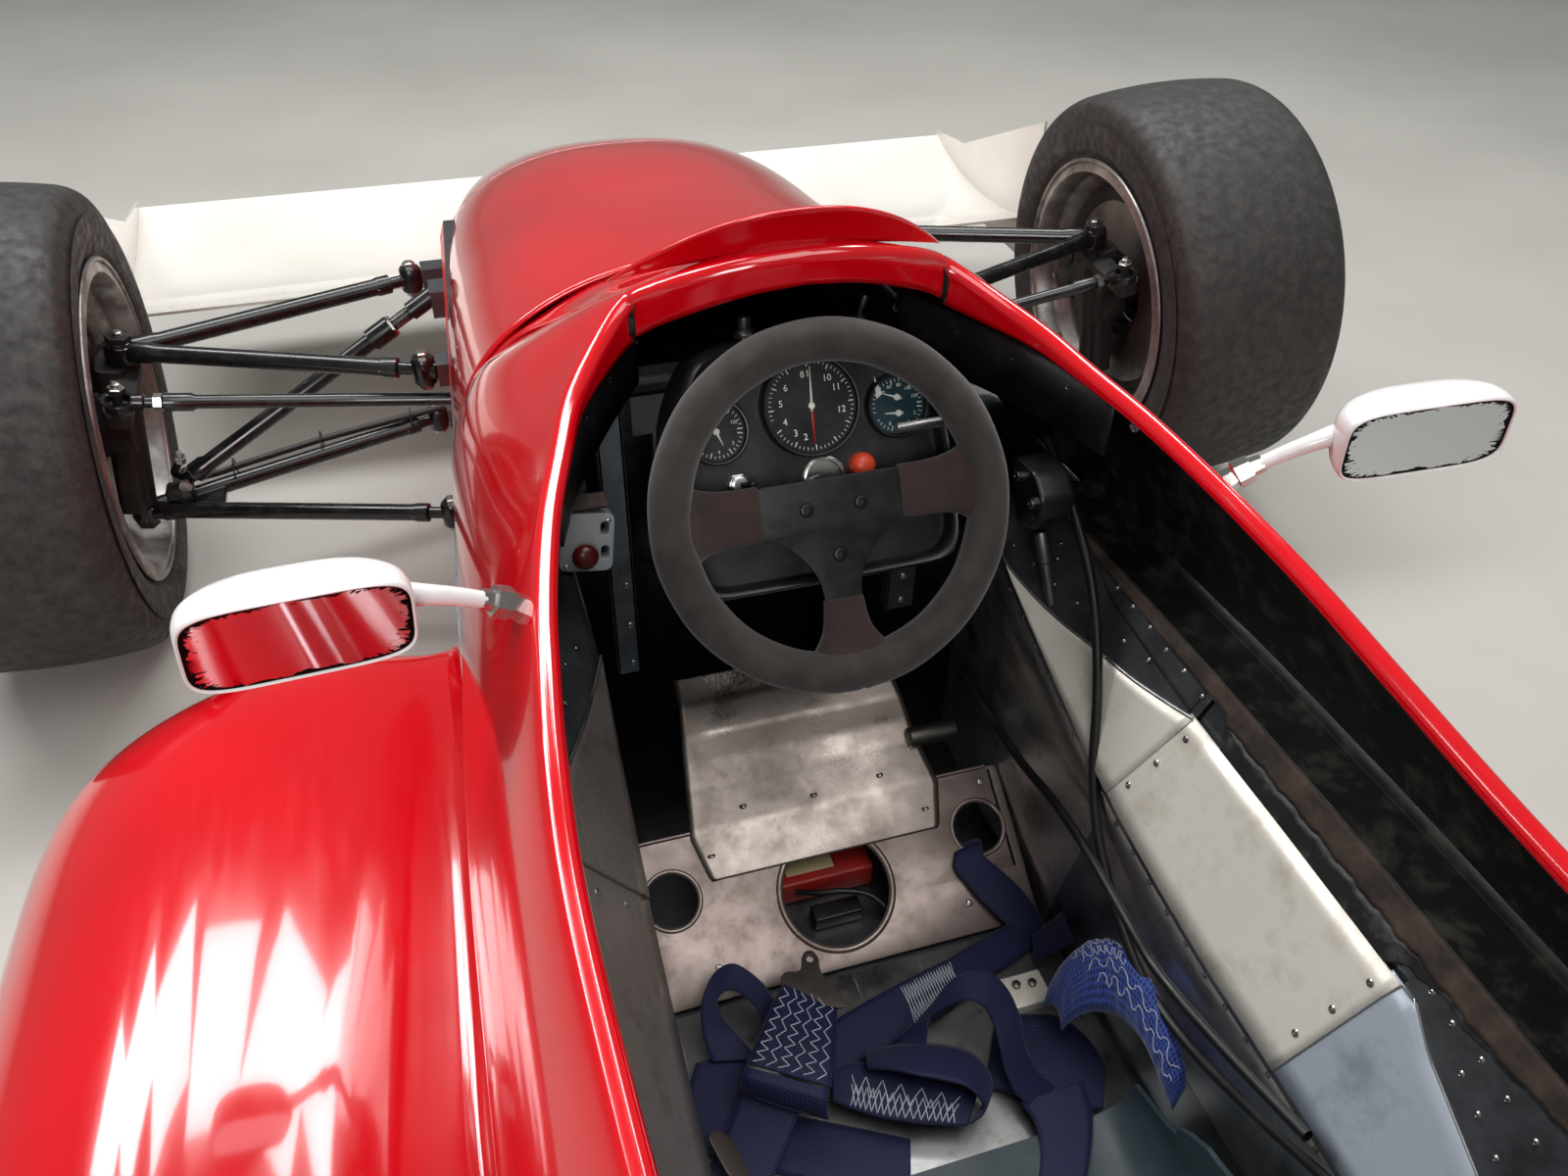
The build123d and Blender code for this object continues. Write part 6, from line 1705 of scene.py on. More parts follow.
# Thread sewn through a strap: a zigzag between two shares of its width, along shares of its length.
def stitching(rows, span, shares, turns, passes=1, side=1.0):
    shapes = []
    points, normal = strapSurface(rows, 120)
    for number in range(passes):
        t = np.linspace(0, 1, turns * 2 + 1)
        width = np.where(np.arange(len(t)) % 2 == 0, shares[0], shares[1])
        if number % 2:
            width = shares[0] + shares[1] - width
        along = span[0] + (span[1] - span[0]) * t
        fine = np.linspace(0, 1, turns * 16 + 1)
        along, width = np.interp(fine, t, along), np.interp(fine, t, width)
        row = along * (len(points) - 1)
        low = np.minimum(row.astype(int), len(points) - 2)
        part = (row - low)[:, None]
        column = width * (webbing["columns"] - 1)
        first = np.minimum(column.astype(int), webbing["columns"] - 2)
        share = (column - first)[:, None]
        corner = [(1 - part) * points[low, first + c] + part * points[low + 1, first + c]
                  for c in (0, 1)]
        line = (1 - share) * corner[0] + share * corner[1]
        beat = 0.00035 + 0.00022 * np.cos(fine * turns * 28)
        line = line + side * normal[low] * (0.0002 + beat[:, None])
        shapes.append(carry(line, roundProfile(webbing["thread"], 5), up=(0.1, 0.2, 1)))
    return join(shapes)


# Latch end: doubled webbing sewn round a steel tongue, standing on the other straps.
latchEnd = {
    "rows": [(-72, -790, 107, -34, -815, 103), (-92, -814, 112, -46, -844, 110),
             (-110, -838, 114, -56, -870, 113), (-124, -856, 113, -67, -893, 113)],
    "fold": [(-126, -858, 113, -69, -895, 113), (-131, -864, 112, -73, -901, 112),
             (-133, -868, 104, -75, -907, 104), (-132, -869, 94, -74, -908, 94)],
    "tongue": [(-79, -800), (-77, -790), (-71, -785), (-58, -789), (-54, -776), (-49, -771),
               (-43, -772),
               (-40, -780), (-43, -792), (-40, -803), (-33, -815), (-33, -832), (-52, -822)],
    "hole": (-47.5, -779.5), "level": 107.0,
}


# All the straps, the stitched latch end with its steel tongue, and the strap adjuster.
def buildHarness():
    for number, (name, rows) in enumerate(straps.items()):
        buildStrap(name, rows, ("harness",) if number == 0 else ())
    buildStrap("latchWebbing", latchEnd["rows"])
    buildStrap("latchFold", latchEnd["fold"])
    threads = [stitching(latchEnd["rows"], (0.12, 0.96), (share, share + 0.12), 7)
               for share in (0.06, 0.36, 0.66)]
    threads += [stitching(latchEnd["rows"], (0.1, 0.97), (share, share + 0.1), 5)
                for share in (0.22, 0.52, 0.82)]
    threads.append(stitching(straps["strapBack"], (0.5, 0.7), (0.1, 0.9), 9, 2))
    threads.append(stitching(straps["strapUnder"], (0.2, 0.9), (0.5, 0.95), 8, 2))
    threads.append(stitching(straps["strapUnder"], (0.2, 0.9), (0.3, 0.7), 6))
    piece("whiteStitching", join(threads), whiteThread, weld=1e-7)
    outline = np.array(latchEnd["tongue"], float)
    middle = outline.mean(0)
    turn = Matrix.Translation(Vector(place((middle[0], middle[1], latchEnd["level"]))))
    hole = np.array(latchEnd["hole"]) - middle
    cutPlate("latchTongue", [roundedOutline(outline - middle, 7, 6), ringOutline(3.2, hole, 28)],
             2.6, turn,
             oldSteel, edge=0.5)
    lever = roundedOutline([(-168, -892), (-156, -886), (-146, -896), (-138, -925), (-150, -940),
                            (-160, -918)], 7)
    spot = lever.mean(0)
    cutPlate("strapAdjuster", [lever - spot], 3.0,
             Matrix.Translation(Vector(place((spot[0], spot[1], 84))))
             @ Matrix.Rotation(0.5, 4, "Y"),
             oldSteel, edge=0.8)


# Brown grey steel of the latch, phosphated and rubbed.
oldSteel = makeMetal("oldSteel", "#6B625C", "#4A433F", 0.4, 0.4, (1, 1, 1), 0.8, 0.7)
buildHarness()

# Shoulder pad: rows across it, each the outer edge, the crown and the inner edge as x, ahead, z.
shoulderPad = {
    "rows": [(128, -866, 90, 134, -876, 100, 132, -892, 92),
             (142, -855, 112, 146, -872, 132, 138, -894, 112),
             (158, -853, 138, 158, -876, 158, 146, -902, 132),
             (168, -862, 156, 166, -886, 174, 154, -914, 144),
             (173, -882, 168, 168, -904, 182, 158, -928, 152),
             (176, -910, 172, 169, -928, 184, 160, -946, 156),
             (177, -940, 168, 169, -952, 178, 161, -962, 152),
             (177, -964, 158, 169, -972, 168, 162, -978, 144),
             (175, -984, 146, 169, -989, 152, 164, -992, 134)],
    "thick": 11.0, "quilt": 0.5,
}


# The pad is a stuffed sleeve: its skin bulges on both sides of the sheet through the rows.
def buildShoulderPad():
    table = through(shoulderPad["rows"], 70)
    keys = table.reshape(70, 3, 3)
    t = np.linspace(0, 1, 25)[None, :, None]
    sheet = (2 * (t - 0.5) * (t - 1) * keys[:, None, 0] - 4 * t * (t - 1) * keys[:, None, 1]
             + 2 * t * (t - 0.5) * keys[:, None, 2])
    across, along = np.gradient(sheet, axis=1), np.gradient(sheet, axis=0)
    normal = np.cross(across, along)
    normal /= np.linalg.norm(normal, axis=2)[:, :, None]
    normal *= np.sign(normal[35, 12, 2])
    u, v = np.linspace(0, 1, 70)[:, None], np.linspace(0, 1, 25)[None, :]
    body = (np.clip(1 - np.abs(2 * u - 1) ** 7, 0, 1)
            * np.clip(1 - np.abs(2 * v - 1) ** 3.2, 0, 1)) ** 0.5
    crease = shoulderPad["quilt"] * (np.sin(u * 46 + 3 * v) * np.sin(v * 13) + 0.7
                                     * np.sin(u * 83 + 1.1))
    bulge = (body * (shoulderPad["thick"] / 2 + crease))[:, :, None]
    top, low = sheet + normal * bulge, sheet - normal * bulge
    both = np.concatenate([top, low[:, ::-1][:, 1:-1]], 1)
    length = np.cumsum(np.concatenate([[0], np.linalg.norm(np.diff(sheet[:, 12], axis=0), axis=1)]))
    wide = np.concatenate([np.linspace(0, 46, 25), np.linspace(46, 0, 25)[1:-1]])
    uv = np.stack(np.broadcast_arrays(wide[None, :], length[:, None]), -1).reshape(-1, 2)
    pad = piece("shoulderPadMesh", grid(place(both), wrapColumns=True, capStart=True, capEnd=True),
                blueMesh,
                smooth=180, uv=uv, replaces="shoulder_pad")
    threads = []
    seams = ((0.16, 0.3, 0.2, 0.45), (0.34, 0.46, 0.22, 0.5), (0.5, 0.62, 0.24, 0.9),
             (0.68, 0.8, 0.3, 0.92))
    for number, (near, far, start, stop) in enumerate(seams):
        fine = np.linspace(0, 1, 90)
        row = (start + (stop - start) * fine) * 69
        column = (near + (far - near) * (0.5 + 0.5 * squared(np.sin(fine * 40 + number), 0.6))) * 24
        a, b = row.astype(int), np.minimum(column.astype(int), 23)
        part = (column - b)[:, None]
        line = top[a, b] * (1 - part) + top[a, b + 1] * part + normal[a, b] * 0.4
        threads.append(carry(place(line), roundProfile(0.0004, 5), up=(0.2, 0.1, 1)))
    piece("padStitching", join(threads), whiteThread, weld=1e-7)


buildShoulderPad()

# Headrest cushion: half width, depth, half height, the place of its back and the crown of its face.
headrest = {"half": 92.0, "depth": 34.0, "halfHeight": 53.0, "back": -1459.0, "middle": 730.0,
            "crown": 7.0}


# Cushion whose outline is a squared circle; its face is crowned and pulls in at the sides.
def buildHeadrest():
    rise = np.linspace(-math.pi / 2, math.pi / 2, 29)[:, None]
    turn = np.linspace(0, 2 * math.pi, 72, endpoint=False)[None, :]
    ring = squared(np.cos(rise), 0.38)
    x = (headrest["half"] - 3) * ring * squared(np.cos(turn), 0.5)
    z = (headrest["halfHeight"] - 3) * ring * squared(np.sin(turn), 0.5)
    flat = 1 - np.clip(np.hypot(x / headrest["half"], z / headrest["halfHeight"]), 0, 1) ** 2
    crown = headrest["crown"] * flat * (np.sin(rise) > 0) * 0.4
    depth = headrest["depth"] / 2 * squared(np.sin(rise), 0.6) + crown
    ahead = headrest["back"] + headrest["depth"] / 2 + depth
    points = np.stack(np.broadcast_arrays(x, ahead, z + headrest["middle"]), -1)
    cushion = piece("headrestCushion",
                    grid(place(points), wrapColumns=True, capStart=True, capEnd=True),
                    headrestVinyl, smooth=180, replaces="headrest")
    inflate(cushion, 4.0, 0.006, 0.005)
    turn = np.linspace(0, 2 * math.pi, 97)
    seam = np.stack([headrest["half"] * 0.985 * squared(np.cos(turn), 0.5),
                     np.full(97, headrest["back"] + 21.0),
                     headrest["middle"] + headrest["halfHeight"] * 0.985
                     * squared(np.sin(turn), 0.5)], -1)
    piece("headrestPiping", carry(place(seam), roundProfile(0.0022, 8), up=(0, 1, 0.01)),
          headrestVinyl)


# Fills a closed piece as cloth under pressure, keeping each point within a cap of where it was.
def inflate(obj, pressure, cap, voxel):
    bpy.context.view_layer.objects.active = obj
    obj.select_set(True)
    remesh = obj.modifiers.new("remesh", "REMESH")
    remesh.mode = "VOXEL"
    remesh.voxel_size = voxel
    bpy.ops.object.modifier_apply(modifier=remesh.name)
    count = len(obj.data.vertices)
    before = np.zeros(count * 3, np.float32)
    obj.data.vertices.foreach_get("co", before)
    cloth = obj.modifiers.new("cloth", "CLOTH")
    cloth.settings.use_pressure = True
    cloth.settings.uniform_pressure_force = pressure
    cloth.settings.effector_weights.gravity = 0
    cloth.point_cache.frame_start, cloth.point_cache.frame_end = 1, 20
    for step in range(1, 21):
        bpy.context.scene.frame_set(step)
    bpy.ops.object.modifier_apply(modifier=cloth.name)
    after = np.zeros(count * 3, np.float32)
    obj.data.vertices.foreach_get("co", after)
    move = (after - before).reshape(-1, 3)
    size = np.linalg.norm(move, axis=1)[:, None]
    move *= np.minimum(1, cap / np.maximum(size, 1e-9))
    obj.data.vertices.foreach_set("co", (before.reshape(-1, 3) + move).ravel())
    obj.data.polygons.foreach_set("use_smooth", np.ones(len(obj.data.polygons), bool))
    finer = obj.modifiers.new("finer", "SUBSURF")
    finer.levels = finer.render_levels = 1
    obj.data.update()
    obj.select_set(False)
    bpy.context.scene.frame_set(1)


buildHeadrest()

print("stage: wheels")

# Wheels: x, ahead and height of the centre, camber and toe in degrees,
# tyre radius and half width, half width of the rim; radii of the lip,
# bead, well, face and bore, and of the two circles of bolts in metres.
wheels = {
    "front": (712.0, 0.0, 262.5, 3.1, 1.1, 262.0, 113.0, 110.0),
    "rear": (695.0, -wheelbase, 279.2, 1.5, 0.0, 279.0, 131.0, 128.0),
    "lip": 182.0, "bead": 168.0, "well": 150.0, "windows": 8, "face": 147, "bore": 30,
    "boltCircle": 0.138, "bolts": 16, "studCircle": 0.037, "studs": 4,
}


# Outward direction of an axle: camber tips it up, toe out turns it back.
def axleOf(side, camber, toe):
    c, t = math.radians(camber), math.radians(toe)
    return np.array([side * math.cos(c) * math.cos(t), -math.cos(c) * math.sin(t), math.sin(c)])


# Section of a tyre, half by half: crowned tread, round shoulder, bulged wall with two moulded ribs.
def tyreSection(radius, half, halfRim):
    lip, bead = wheels["lip"], halfRim - 6.0
    crown = np.linspace(0, half - 27, 12)
    tread = np.stack([crown, radius - 0.3 - 5.7 * (crown / (half - 27)) ** 2], -1)
    wall = through([(half - 27, radius - 6), (half - 17, radius - 9.5), (half - 9, radius - 16),
                    (half - 4.5, radius - 27), (half - 1.6, radius - 42),
                    (half - 0.5, (lip + radius) / 2 + 4),
                    (half - 1.2, lip + 24), (half - 3.2, lip + 13), (half - 4.4, lip + 9.5)], 60)
    rib = np.exp(-((wall[:, 1] - (lip + 33))
                   / 1.1) ** 2) + 0.8 * np.exp(-((wall[:, 1] - (radius - 30)) / 1.0) ** 2)
    wall[:, 0] += 0.45 * rib - 0.5 * np.exp(-((wall[:, 1] - (radius - 34)) / 1.2) ** 2)
    foot = np.array([(bead + 2.2, lip + 6), (bead + 0.2, lip + 1.5), (bead, wheels["bead"] + 0.2)])
    section = np.vstack([tread, wall[1:], foot])
    return np.vstack([section[::-1], section[1:] * (-1, 1)])


# Barrel of a rim: deep well between two bead seats, each lip rolled over to a round edge.
def rimSection(halfRim):
    lip, bead, well = wheels["lip"], wheels["bead"], wheels["well"]
    turn = np.linspace(0, math.pi, 9)
    edge = np.stack([halfRim - 3 + 3 * np.sin(turn) * 0.98, lip - 3.2 + 3.2 * np.cos(turn) * -1],
                    -1)
    inside = [(halfRim - 1.2, bead - 3), (halfRim - 5, bead - 6), (halfRim - 27, bead - 7),
              (halfRim - 33, bead - 9), (halfRim - 44, well - 5), (halfRim - 50, well - 6)]
    outside = [(halfRim - 50, well), (halfRim - 46, well + 1), (halfRim - 33, bead - 1.5),
               (halfRim - 29, bead), (halfRim - 9, bead), (halfRim - 6.2, bead + 3),
               (halfRim - 6, lip - 4)]
    section = np.vstack([outside, edge[::-1], inside])
    return np.vstack([section, (section * (-1, 1))[::-1]])


# Matrix whose X runs forward, Y up in the wheel and Z outward along the axle.
def axleMatrix(centre, axis, away):
    forward = unit(np.cross((0, 0, 1.0), axis))
    return axesMatrix(forward, np.cross(axis, forward), axis, centre + axis * away * 0.001)


# Outlines of the windows between the spokes, wider at the rim than at the hub.
def wheelWindows():
    outlines = []
    step = 2 * math.pi / wheels["windows"]
    for number in range(wheels["windows"]):
        middle = number * step
        corners = [(62, -0.2), (62, 0.2), (128, 0.285), (131, 0), (128, -0.285)]
        outlines.append(roundedOutline([(r * math.cos(middle + a), r * math.sin(middle + a))
                                        for r, a in corners], 14, 6))
    return outlines


# Tyre, barrel, face with windows, hub, disc, bolts and valve of one wheel.
def buildWheel(end, flank):
    x, ahead, z, camber, toe, radius, half, halfRim = wheels[end]
    side = -1 if flank == "left" else 1
    centre, axis = place((side * x, ahead, z)), axleOf(side, camber, toe)
    body, tag = end + "_" + flank + "_wheel", end + flank.capitalize()
    piece(tag + "Tyre",
          lathe(tyreSection(radius, half, halfRim) * 0.001, centre, axis, 120, closed=True),
          slickRubber, body, smooth=60, replaces=end + "_tyre_" + flank)
    piece(tag + "Barrel", lathe(rimSection(halfRim) * 0.001, centre, axis, 96, closed=True),
          castRim, body,
          smooth=50, replaces=end + "_rim_" + flank)
    cutPlate(tag + "WheelFace",
             [ringOutline(wheels["face"], count=96), *wheelWindows(), ringOutline(wheels["bore"])],
             13,
             axleMatrix(centre, axis, 38), castRim, body, edge=2.5)
    hub = [(-40, 30), (-40, 43), (-36, 45), (26, 45), (32, 48), (44, 48), (48, 46), (58, 40),
           (60, 36), (60, 27)]
    disc = [(-66, 58), (-66, 122), (-62, 122), (-61.5, 119), (-58.5, 119), (-58, 122), (-54, 122),
            (-54, 58)]
    bell = [(-58, 46), (-58, 62), (-55, 62), (-40, 50), (-40, 46)]
    piece(tag + "Hub", join([lathe(np.array(hub) * 0.001, centre, axis, 64, closed=True),
                             lathe(np.array(bell) * 0.001, centre, axis, 64, closed=True)]),
          darkCasting, body)
    piece(tag + "Disc", lathe(np.array(disc) * 0.001, centre, axis, 96, closed=True), discSteel,
          body)
    bolts = []
    turn = axleMatrix(centre, axis, 44.5)
    reach = wheels["boltCircle"]
    for angle in np.linspace(0, 2 * math.pi, wheels["bolts"], endpoint=False):
        spot = turn @ Vector((reach * math.cos(angle), reach * math.sin(angle), 0))
        bolts.append(turned([(0, 5.2), (3.6, 5.2), (4.2, 4.4)], np.array(spot), axis, 6))
    reach = wheels["studCircle"]
    for angle in np.linspace(0.4, 0.4 + 2 * math.pi, wheels["studs"], endpoint=False):
        spot = turn @ Vector((reach * math.cos(angle), reach * math.sin(angle), 0.012))
        bolts.append(turned([(0, 9.5), (9, 9.5), (10, 8)], np.array(spot), axis, 6))
    piece(tag + "WheelBolts", join(bolts), brightSteel, body, smooth=25)
    spot = turn @ Vector((0.0, 0.128, 0.004))
    piece(tag + "Valve", turned([(-4, 5), (2, 4.2), (10, 3.6), (20, 3.4), (27, 3.8), (28, 3)],
                                np.array(spot), axis + np.array([0, 0, 0.25]), 16), blackMoulding,
          body)


for end in ("front", "rear"):
    for flank in ("left", "right"):
        buildWheel(end, flank)

print("stage: suspension")

# Front suspension on the right side: ball joints, pick-ups on the body, rods; x, ahead, z.
suspension = {
    "lowerBall": (625, 0, 140), "upperBall": (587, -10, 350),
    "legs": [("upperBall", (264, 118, 340)), ("upperBall", (264, -118, 338)),
             ("lowerBall", (264, 122, 140)), ("lowerBall", (264, -122, 150))],
    "rod": ((582, 2, 166), (250, 30, 358)), "eye": (583, -100, 338), "rackEnd": (211, -120, 296),
    "rack": (205, -120, 296, 11.0),
}

lowerBall, upperBall = (np.array(suspension[key], float) for key in ("lowerBall", "upperBall"))
kingAxis = unit(upperBall - lowerBall)


# Place at a share of the way from one end to the other.
def tilted(start, end, share):
    return tuple(np.asarray(start, float) + (np.asarray(end, float) - start) * share)


# A leg is a tube with a swaged outer end, a threaded rod end, a lock nut and a fork at the body.
def buildFrontArms():
    black, bright, seats = [], [], []
    for ball, pickup in suspension["legs"]:
        hub, inner = np.array(suspension[ball], float), np.array(pickup, float)
        length = np.linalg.norm(inner - hub)
        start, end = tilted(hub, inner, 10 / length), tuple(inner)
        shares = [(0, 11.5), (24, 11.5), (32, 10), (length - 70, 10), (length - 66, 11.2),
                  (length - 52, 11.2),
                  (length - 50, 7), (length - 34, 7), (length - 33, 9.5), (length - 10, 9.5)]
        black.append(steppedRod(start, end, length - 10, shares, 22))
        for a in (46, 56):
            spot = tilted(inner, hub, a / length)
            bright.append(turned([(-4, 10.5), (4, 10.5)], place(spot), (inner - hub) / length, 6))
        bolt = tilted(inner, hub, 14 / length)
        black.append(turned([(-15, 11), (-13, 12.5), (13, 12.5), (15, 11)], place(bolt),
                            (0, 0.05, 1), 28))
        bright.append(turned([(-21, 7.5), (-15, 7.5)], place(bolt), (0, 0.05, 1), 6))
        bright.append(turned([(15, 7.5), (20, 7.5), (21.5, 6)], place(bolt), (0, 0.05, 1), 6))
    for centre in (lowerBall, upperBall):
        black.append(turned([(-11, 13), (-10, 15.5), (-6, 16), (6, 16), (10, 15.5), (11, 13)],
                            place(centre), kingAxis, 32))
        seats.append(turned([(11.2, 12), (13, 12), (14, 10)], place(centre), kingAxis, 32))
    black.append(roundedBox((536, -25, 135), (604, 25, 145), 3))
    black.append(roundedBox((567, -11, 139), (597, 13, 166), 3))
    piece("frontArms", bothSides(join(black)), blackEnamel, replaces="front_wishbones")
    piece("frontArmNuts", bothSides(join(bright)), brightSteel, smooth=25)
    piece("ballSeats", bothSides(join(seats)), discSteel)


# Pushrod: threads beside a hexagon, forks at both ends and a bright bolt through the outer one.
def buildPushrods():
    outer, inner = (np.array(p, float) for p in suspension["rod"])
    length = np.linalg.norm(inner - outer)
    shares = [(8, 8), (24, 8), (25, 12.5), (40, 12.5), (46, 10), (length - 96, 10),
              (length - 95, 13.5),
              (length - 66, 13.5), (length - 65, 7.6), (length - 40, 7.6), (length - 38, 11),
              (length - 2, 11)]
    tube = steppedRod(outer, inner, length, shares, 22)
    run = (inner - outer) / length
    threads = [turned([(-0.7, 7.4), (0, 8.5), (0.7, 7.4)], place(inner - run * a), run, 20)
               for a in np.arange(42, 62, 2.0)]
    nuts = [turned([(-5, 12), (5, 12)], place(inner - run * 68), run, 6),
            turned([(-4, 11), (4, 11)], place(outer + run * 27), run, 6)]
    bolts = [turned([(-17, 5), (-16, 8), (-11, 8), (-11, 5), (11, 5), (11, 8), (16, 8), (17, 5)],
                    place(outer + run * 12), (0, 1, 0.04), 6)]
    piece("pushrods", bothSides(tube), blackEnamel, replaces="front_pushrods")
    piece("pushrodThreads", bothSides(join(threads + nuts + bolts)), brightSteel, smooth=25)


# Track rods and the rack's bar, with gaiters; all of it slides with the rack.
def buildRack():
    eye, end = np.array(suspension["eye"], float), np.array(suspension["rackEnd"], float)
    length = np.linalg.norm(eye - end)
    run = (eye - end) / length
    shares = [(0, 9), (10, 9), (14, 7.4), (length - 74, 7.4), (length - 70, 9.6),
              (length - 44, 9.6),
              (length - 42, 6), (length - 26, 6), (length - 24, 8.5), (length - 14, 8.5)]
    tube = steppedRod(end, eye, length, shares, 20)
    ring = lathe(np.array([(-4.4, 11.8), (-5, 13), (-5, 16.8), (-3.6, 18), (3.6, 18), (5, 16.8),
                           (5, 13),
                           (4.4, 11.8)]) * 0.001, place(eye), kingAxis, 36, closed=True)
    x, ahead, z, radius = suspension["rack"]
    bar = rod((-x, ahead, z), (x, ahead, z), [(0, radius), (1, radius)], 28)
    gaiter = [(a, 13.2 + 1.7 * math.cos(a * 1.9)) for a in np.linspace(-12, 13, 60)]
    sleeves = bothSides(turned([(-13, 11), *gaiter, (14, 10)], place((x, ahead, z)), (1, 0, 0), 28))
    nuts = [turned([(-4, 9.5), (4, 9.5)], place(eye - run * 38), run, 6)]
    piece("trackRods", join([bothSides(join([tube, ring])), bar, sleeves]), blackEnamel, "rack",
          replaces="steering_rack")
    piece("trackRodNuts", bothSides(join(nuts)), brightSteel, "rack", smooth=25)


# Upright furniture: caliper with its bridge bolts, kingpin nuts and the steering arm's bolt.
def buildUprightDetails():
    axis = axleOf(1, wheels["front"][3], wheels["front"][4])
    centre = place(wheels["front"][:3])
    turn = axleMatrix(centre, axis, -83)
    bright = [turned([(0, 12.8), (7, 12.8), (8, 11)], place(upperBall + kingAxis * 12), kingAxis,
                     6),
              turned([(8, 5), (12, 5), (13, 3.5)], place(upperBall + kingAxis * 12), kingAxis, 16),
              turned([(-8, 11), (-7, 12.8), (0, 12.8)], place(lowerBall - kingAxis * 12), kingAxis,
                     6)]
    eye = np.array(suspension["eye"], float)
    bright.append(turned([(0, 8.8), (6, 8.8), (7, 7.5)], place(eye + kingAxis * 12), kingAxis, 6))
    bright.append(turned([(7, 4.6), (11, 4.6), (12, 3)], place(eye + kingAxis * 12), kingAxis, 16))
    body, pistons = [], []
    for number in range(2):
        along = (number - 0.5) * 42
        spot = np.array(turn @ Vector((0.098, along * 0.001, 0)))
        pistons.append(turned([(-13.5, 15), (-12.5, 17), (-2, 18.5), (4, 19.5), (6, 19.5)], spot,
                              axis, 32))
        bright.append(turned([(-12, 4.2), (-16, 4.8), (-16.5, 1.2)][::-1],
                             np.array(turn @ Vector((0.12, along * 0.0012, 0))), axis, 6))
    corners = [(70, -30), (82, -43), (116, -42), (124, -20), (124, 20), (116, 42), (82, 43),
               (70, 30)]
    for flank, side in (("left", -1), ("right", 1)):
        flip = otherSide if side < 0 else (lambda shape: shape)
        knuckle = flank + "_knuckle"
        piece(flank + "UprightNuts", flip(join(bright)), brightSteel, knuckle, smooth=25)
        piece(flank + "CaliperPistons", flip(join(pistons)), darkCasting, knuckle)
        sideAxis = axis * (side, 1, 1)
        sideCentre = centre * (side, 1, 1)
        matrix = axleMatrix(sideCentre, sideAxis, -84)
        sign = 1 if np.dot(np.array(matrix.col[0][:3]), (0, 1, 0)) > 0 else -1
        outline = np.array(corners) * (sign, 1)
        cutPlate(flank + "Caliper", [roundedOutline(outline, 9)], 17, matrix, darkCasting, knuckle,
                 edge=3)


# Brake hose along the lower front leg, held by straps.
def buildBrakeHoses():
    line = through([(270, 112, 158), (330, 101, 156), (420, 78, 156), (500, 50, 156),
                    (560, 26, 158),
                    (584, 12, 176), (572, 6, 196)], 60)
    hose = carry(place(line), roundProfile(0.0042, 12), up=(0.1, 0.3, 1))
    ties = []
    for share in (0.12, 0.34, 0.56, 0.76):
        spot = line[int(share * 59)] * (1, 1, 0) + np.array([0, 0, 147])
        ring = np.stack([np.full(28, 0.0), 12.2 * np.cos(np.linspace(0, 2 * math.pi, 28)),
                         16.5 * np.sin(np.linspace(0, 2 * math.pi, 28)) + 1.5], -1)
        ties.append(carry(place(spot + ring), boxProfile(0.0045, 0.0012, 0.0003, 2),
                          up=(1, 0, 0.01)))
    piece("brakeHoses", bothSides(join([hose, *ties])), cableSheath)
    piece("hoseUnions",
          bothSides(rod((572, 6, 194), (569, 5, 208), [(0, 6), (0.5, 6), (0.52, 4.5), (1, 4.5)],
                        6)),
          brightSteel, smooth=25)


buildFrontArms()
buildPushrods()
buildRack()
buildUprightDetails()
buildBrakeHoses()

print("stage: mirrors")

# Mirrors on the right: glass corners inner and outer, the shell's stations as depth behind the
# glass, half width, half height, squareness; stem from the shell to its seat on the surround.
mirrors = {
    "inner": (294, -805, 571), "outer": (396, -820, 580), "glass": (55.4, 24.6),
    "shell": [(0, 56.4, 25.6, 5.0), (2, 57.4, 26.6, 5.0), (9, 57.8, 27.0, 4.6),
              (18, 56.0, 26.0, 4.0),
              (27, 50.0, 22.5, 3.4), (34, 41.0, 17.5, 3.0), (39, 29.0, 11.0, 2.6),
              (41, 12.0, 4.0, 2.2)],
    "stem": [(306, -787, 572, 9.0), (296, -785, 571, 7.6), (284, -783, 567, 6.2),
             (268, -778, 558, 5.4),
             (254, -774, 549, 5.0)],
    "seat": [(256, -774, 550, 6.2), (250, -772, 546, 6.8), (249.5, -772, 545.6, 9.5),
             (241, -770, 540, 10.2),
             (240.6, -770, 539.6, 7.6), (236, -769, 535, 8.6), (232, -769, 531, 9.4)],
}


# Silvered glass whose backing has flaked to black along
# the edges; UV runs in millimetres from the edge.
def makeMirrorGlass():
    material, tree, shader, coords = startMaterial("mirrorGlass", "#D5D9DC", 0.04, 1.0, coords="UV")
    spot = addNode(tree, "ShaderNodeSeparateXYZ", inputs={"Vector": coords})
    ragged = addNode(tree, "ShaderNodeTexNoise",
                     inputs={"Vector": coords, "Scale": 0.35, "Detail": 6.0})
    reach = calculate(tree, "MULTIPLY", calculate(tree, "POWER", ragged.outputs["Fac"], 3.0), 14.0)
    worn = calculate(tree, "LESS_THAN", spot.outputs["X"], reach)
    tree.links.new(blendColours(tree, worn, "#D5D9DC", "#17161A"), shader.inputs["Base Color"])
    tree.links.new(calculate(tree, "MULTIPLY_ADD", worn, 0.4, 0.04), shader.inputs["Roughness"])
    return material


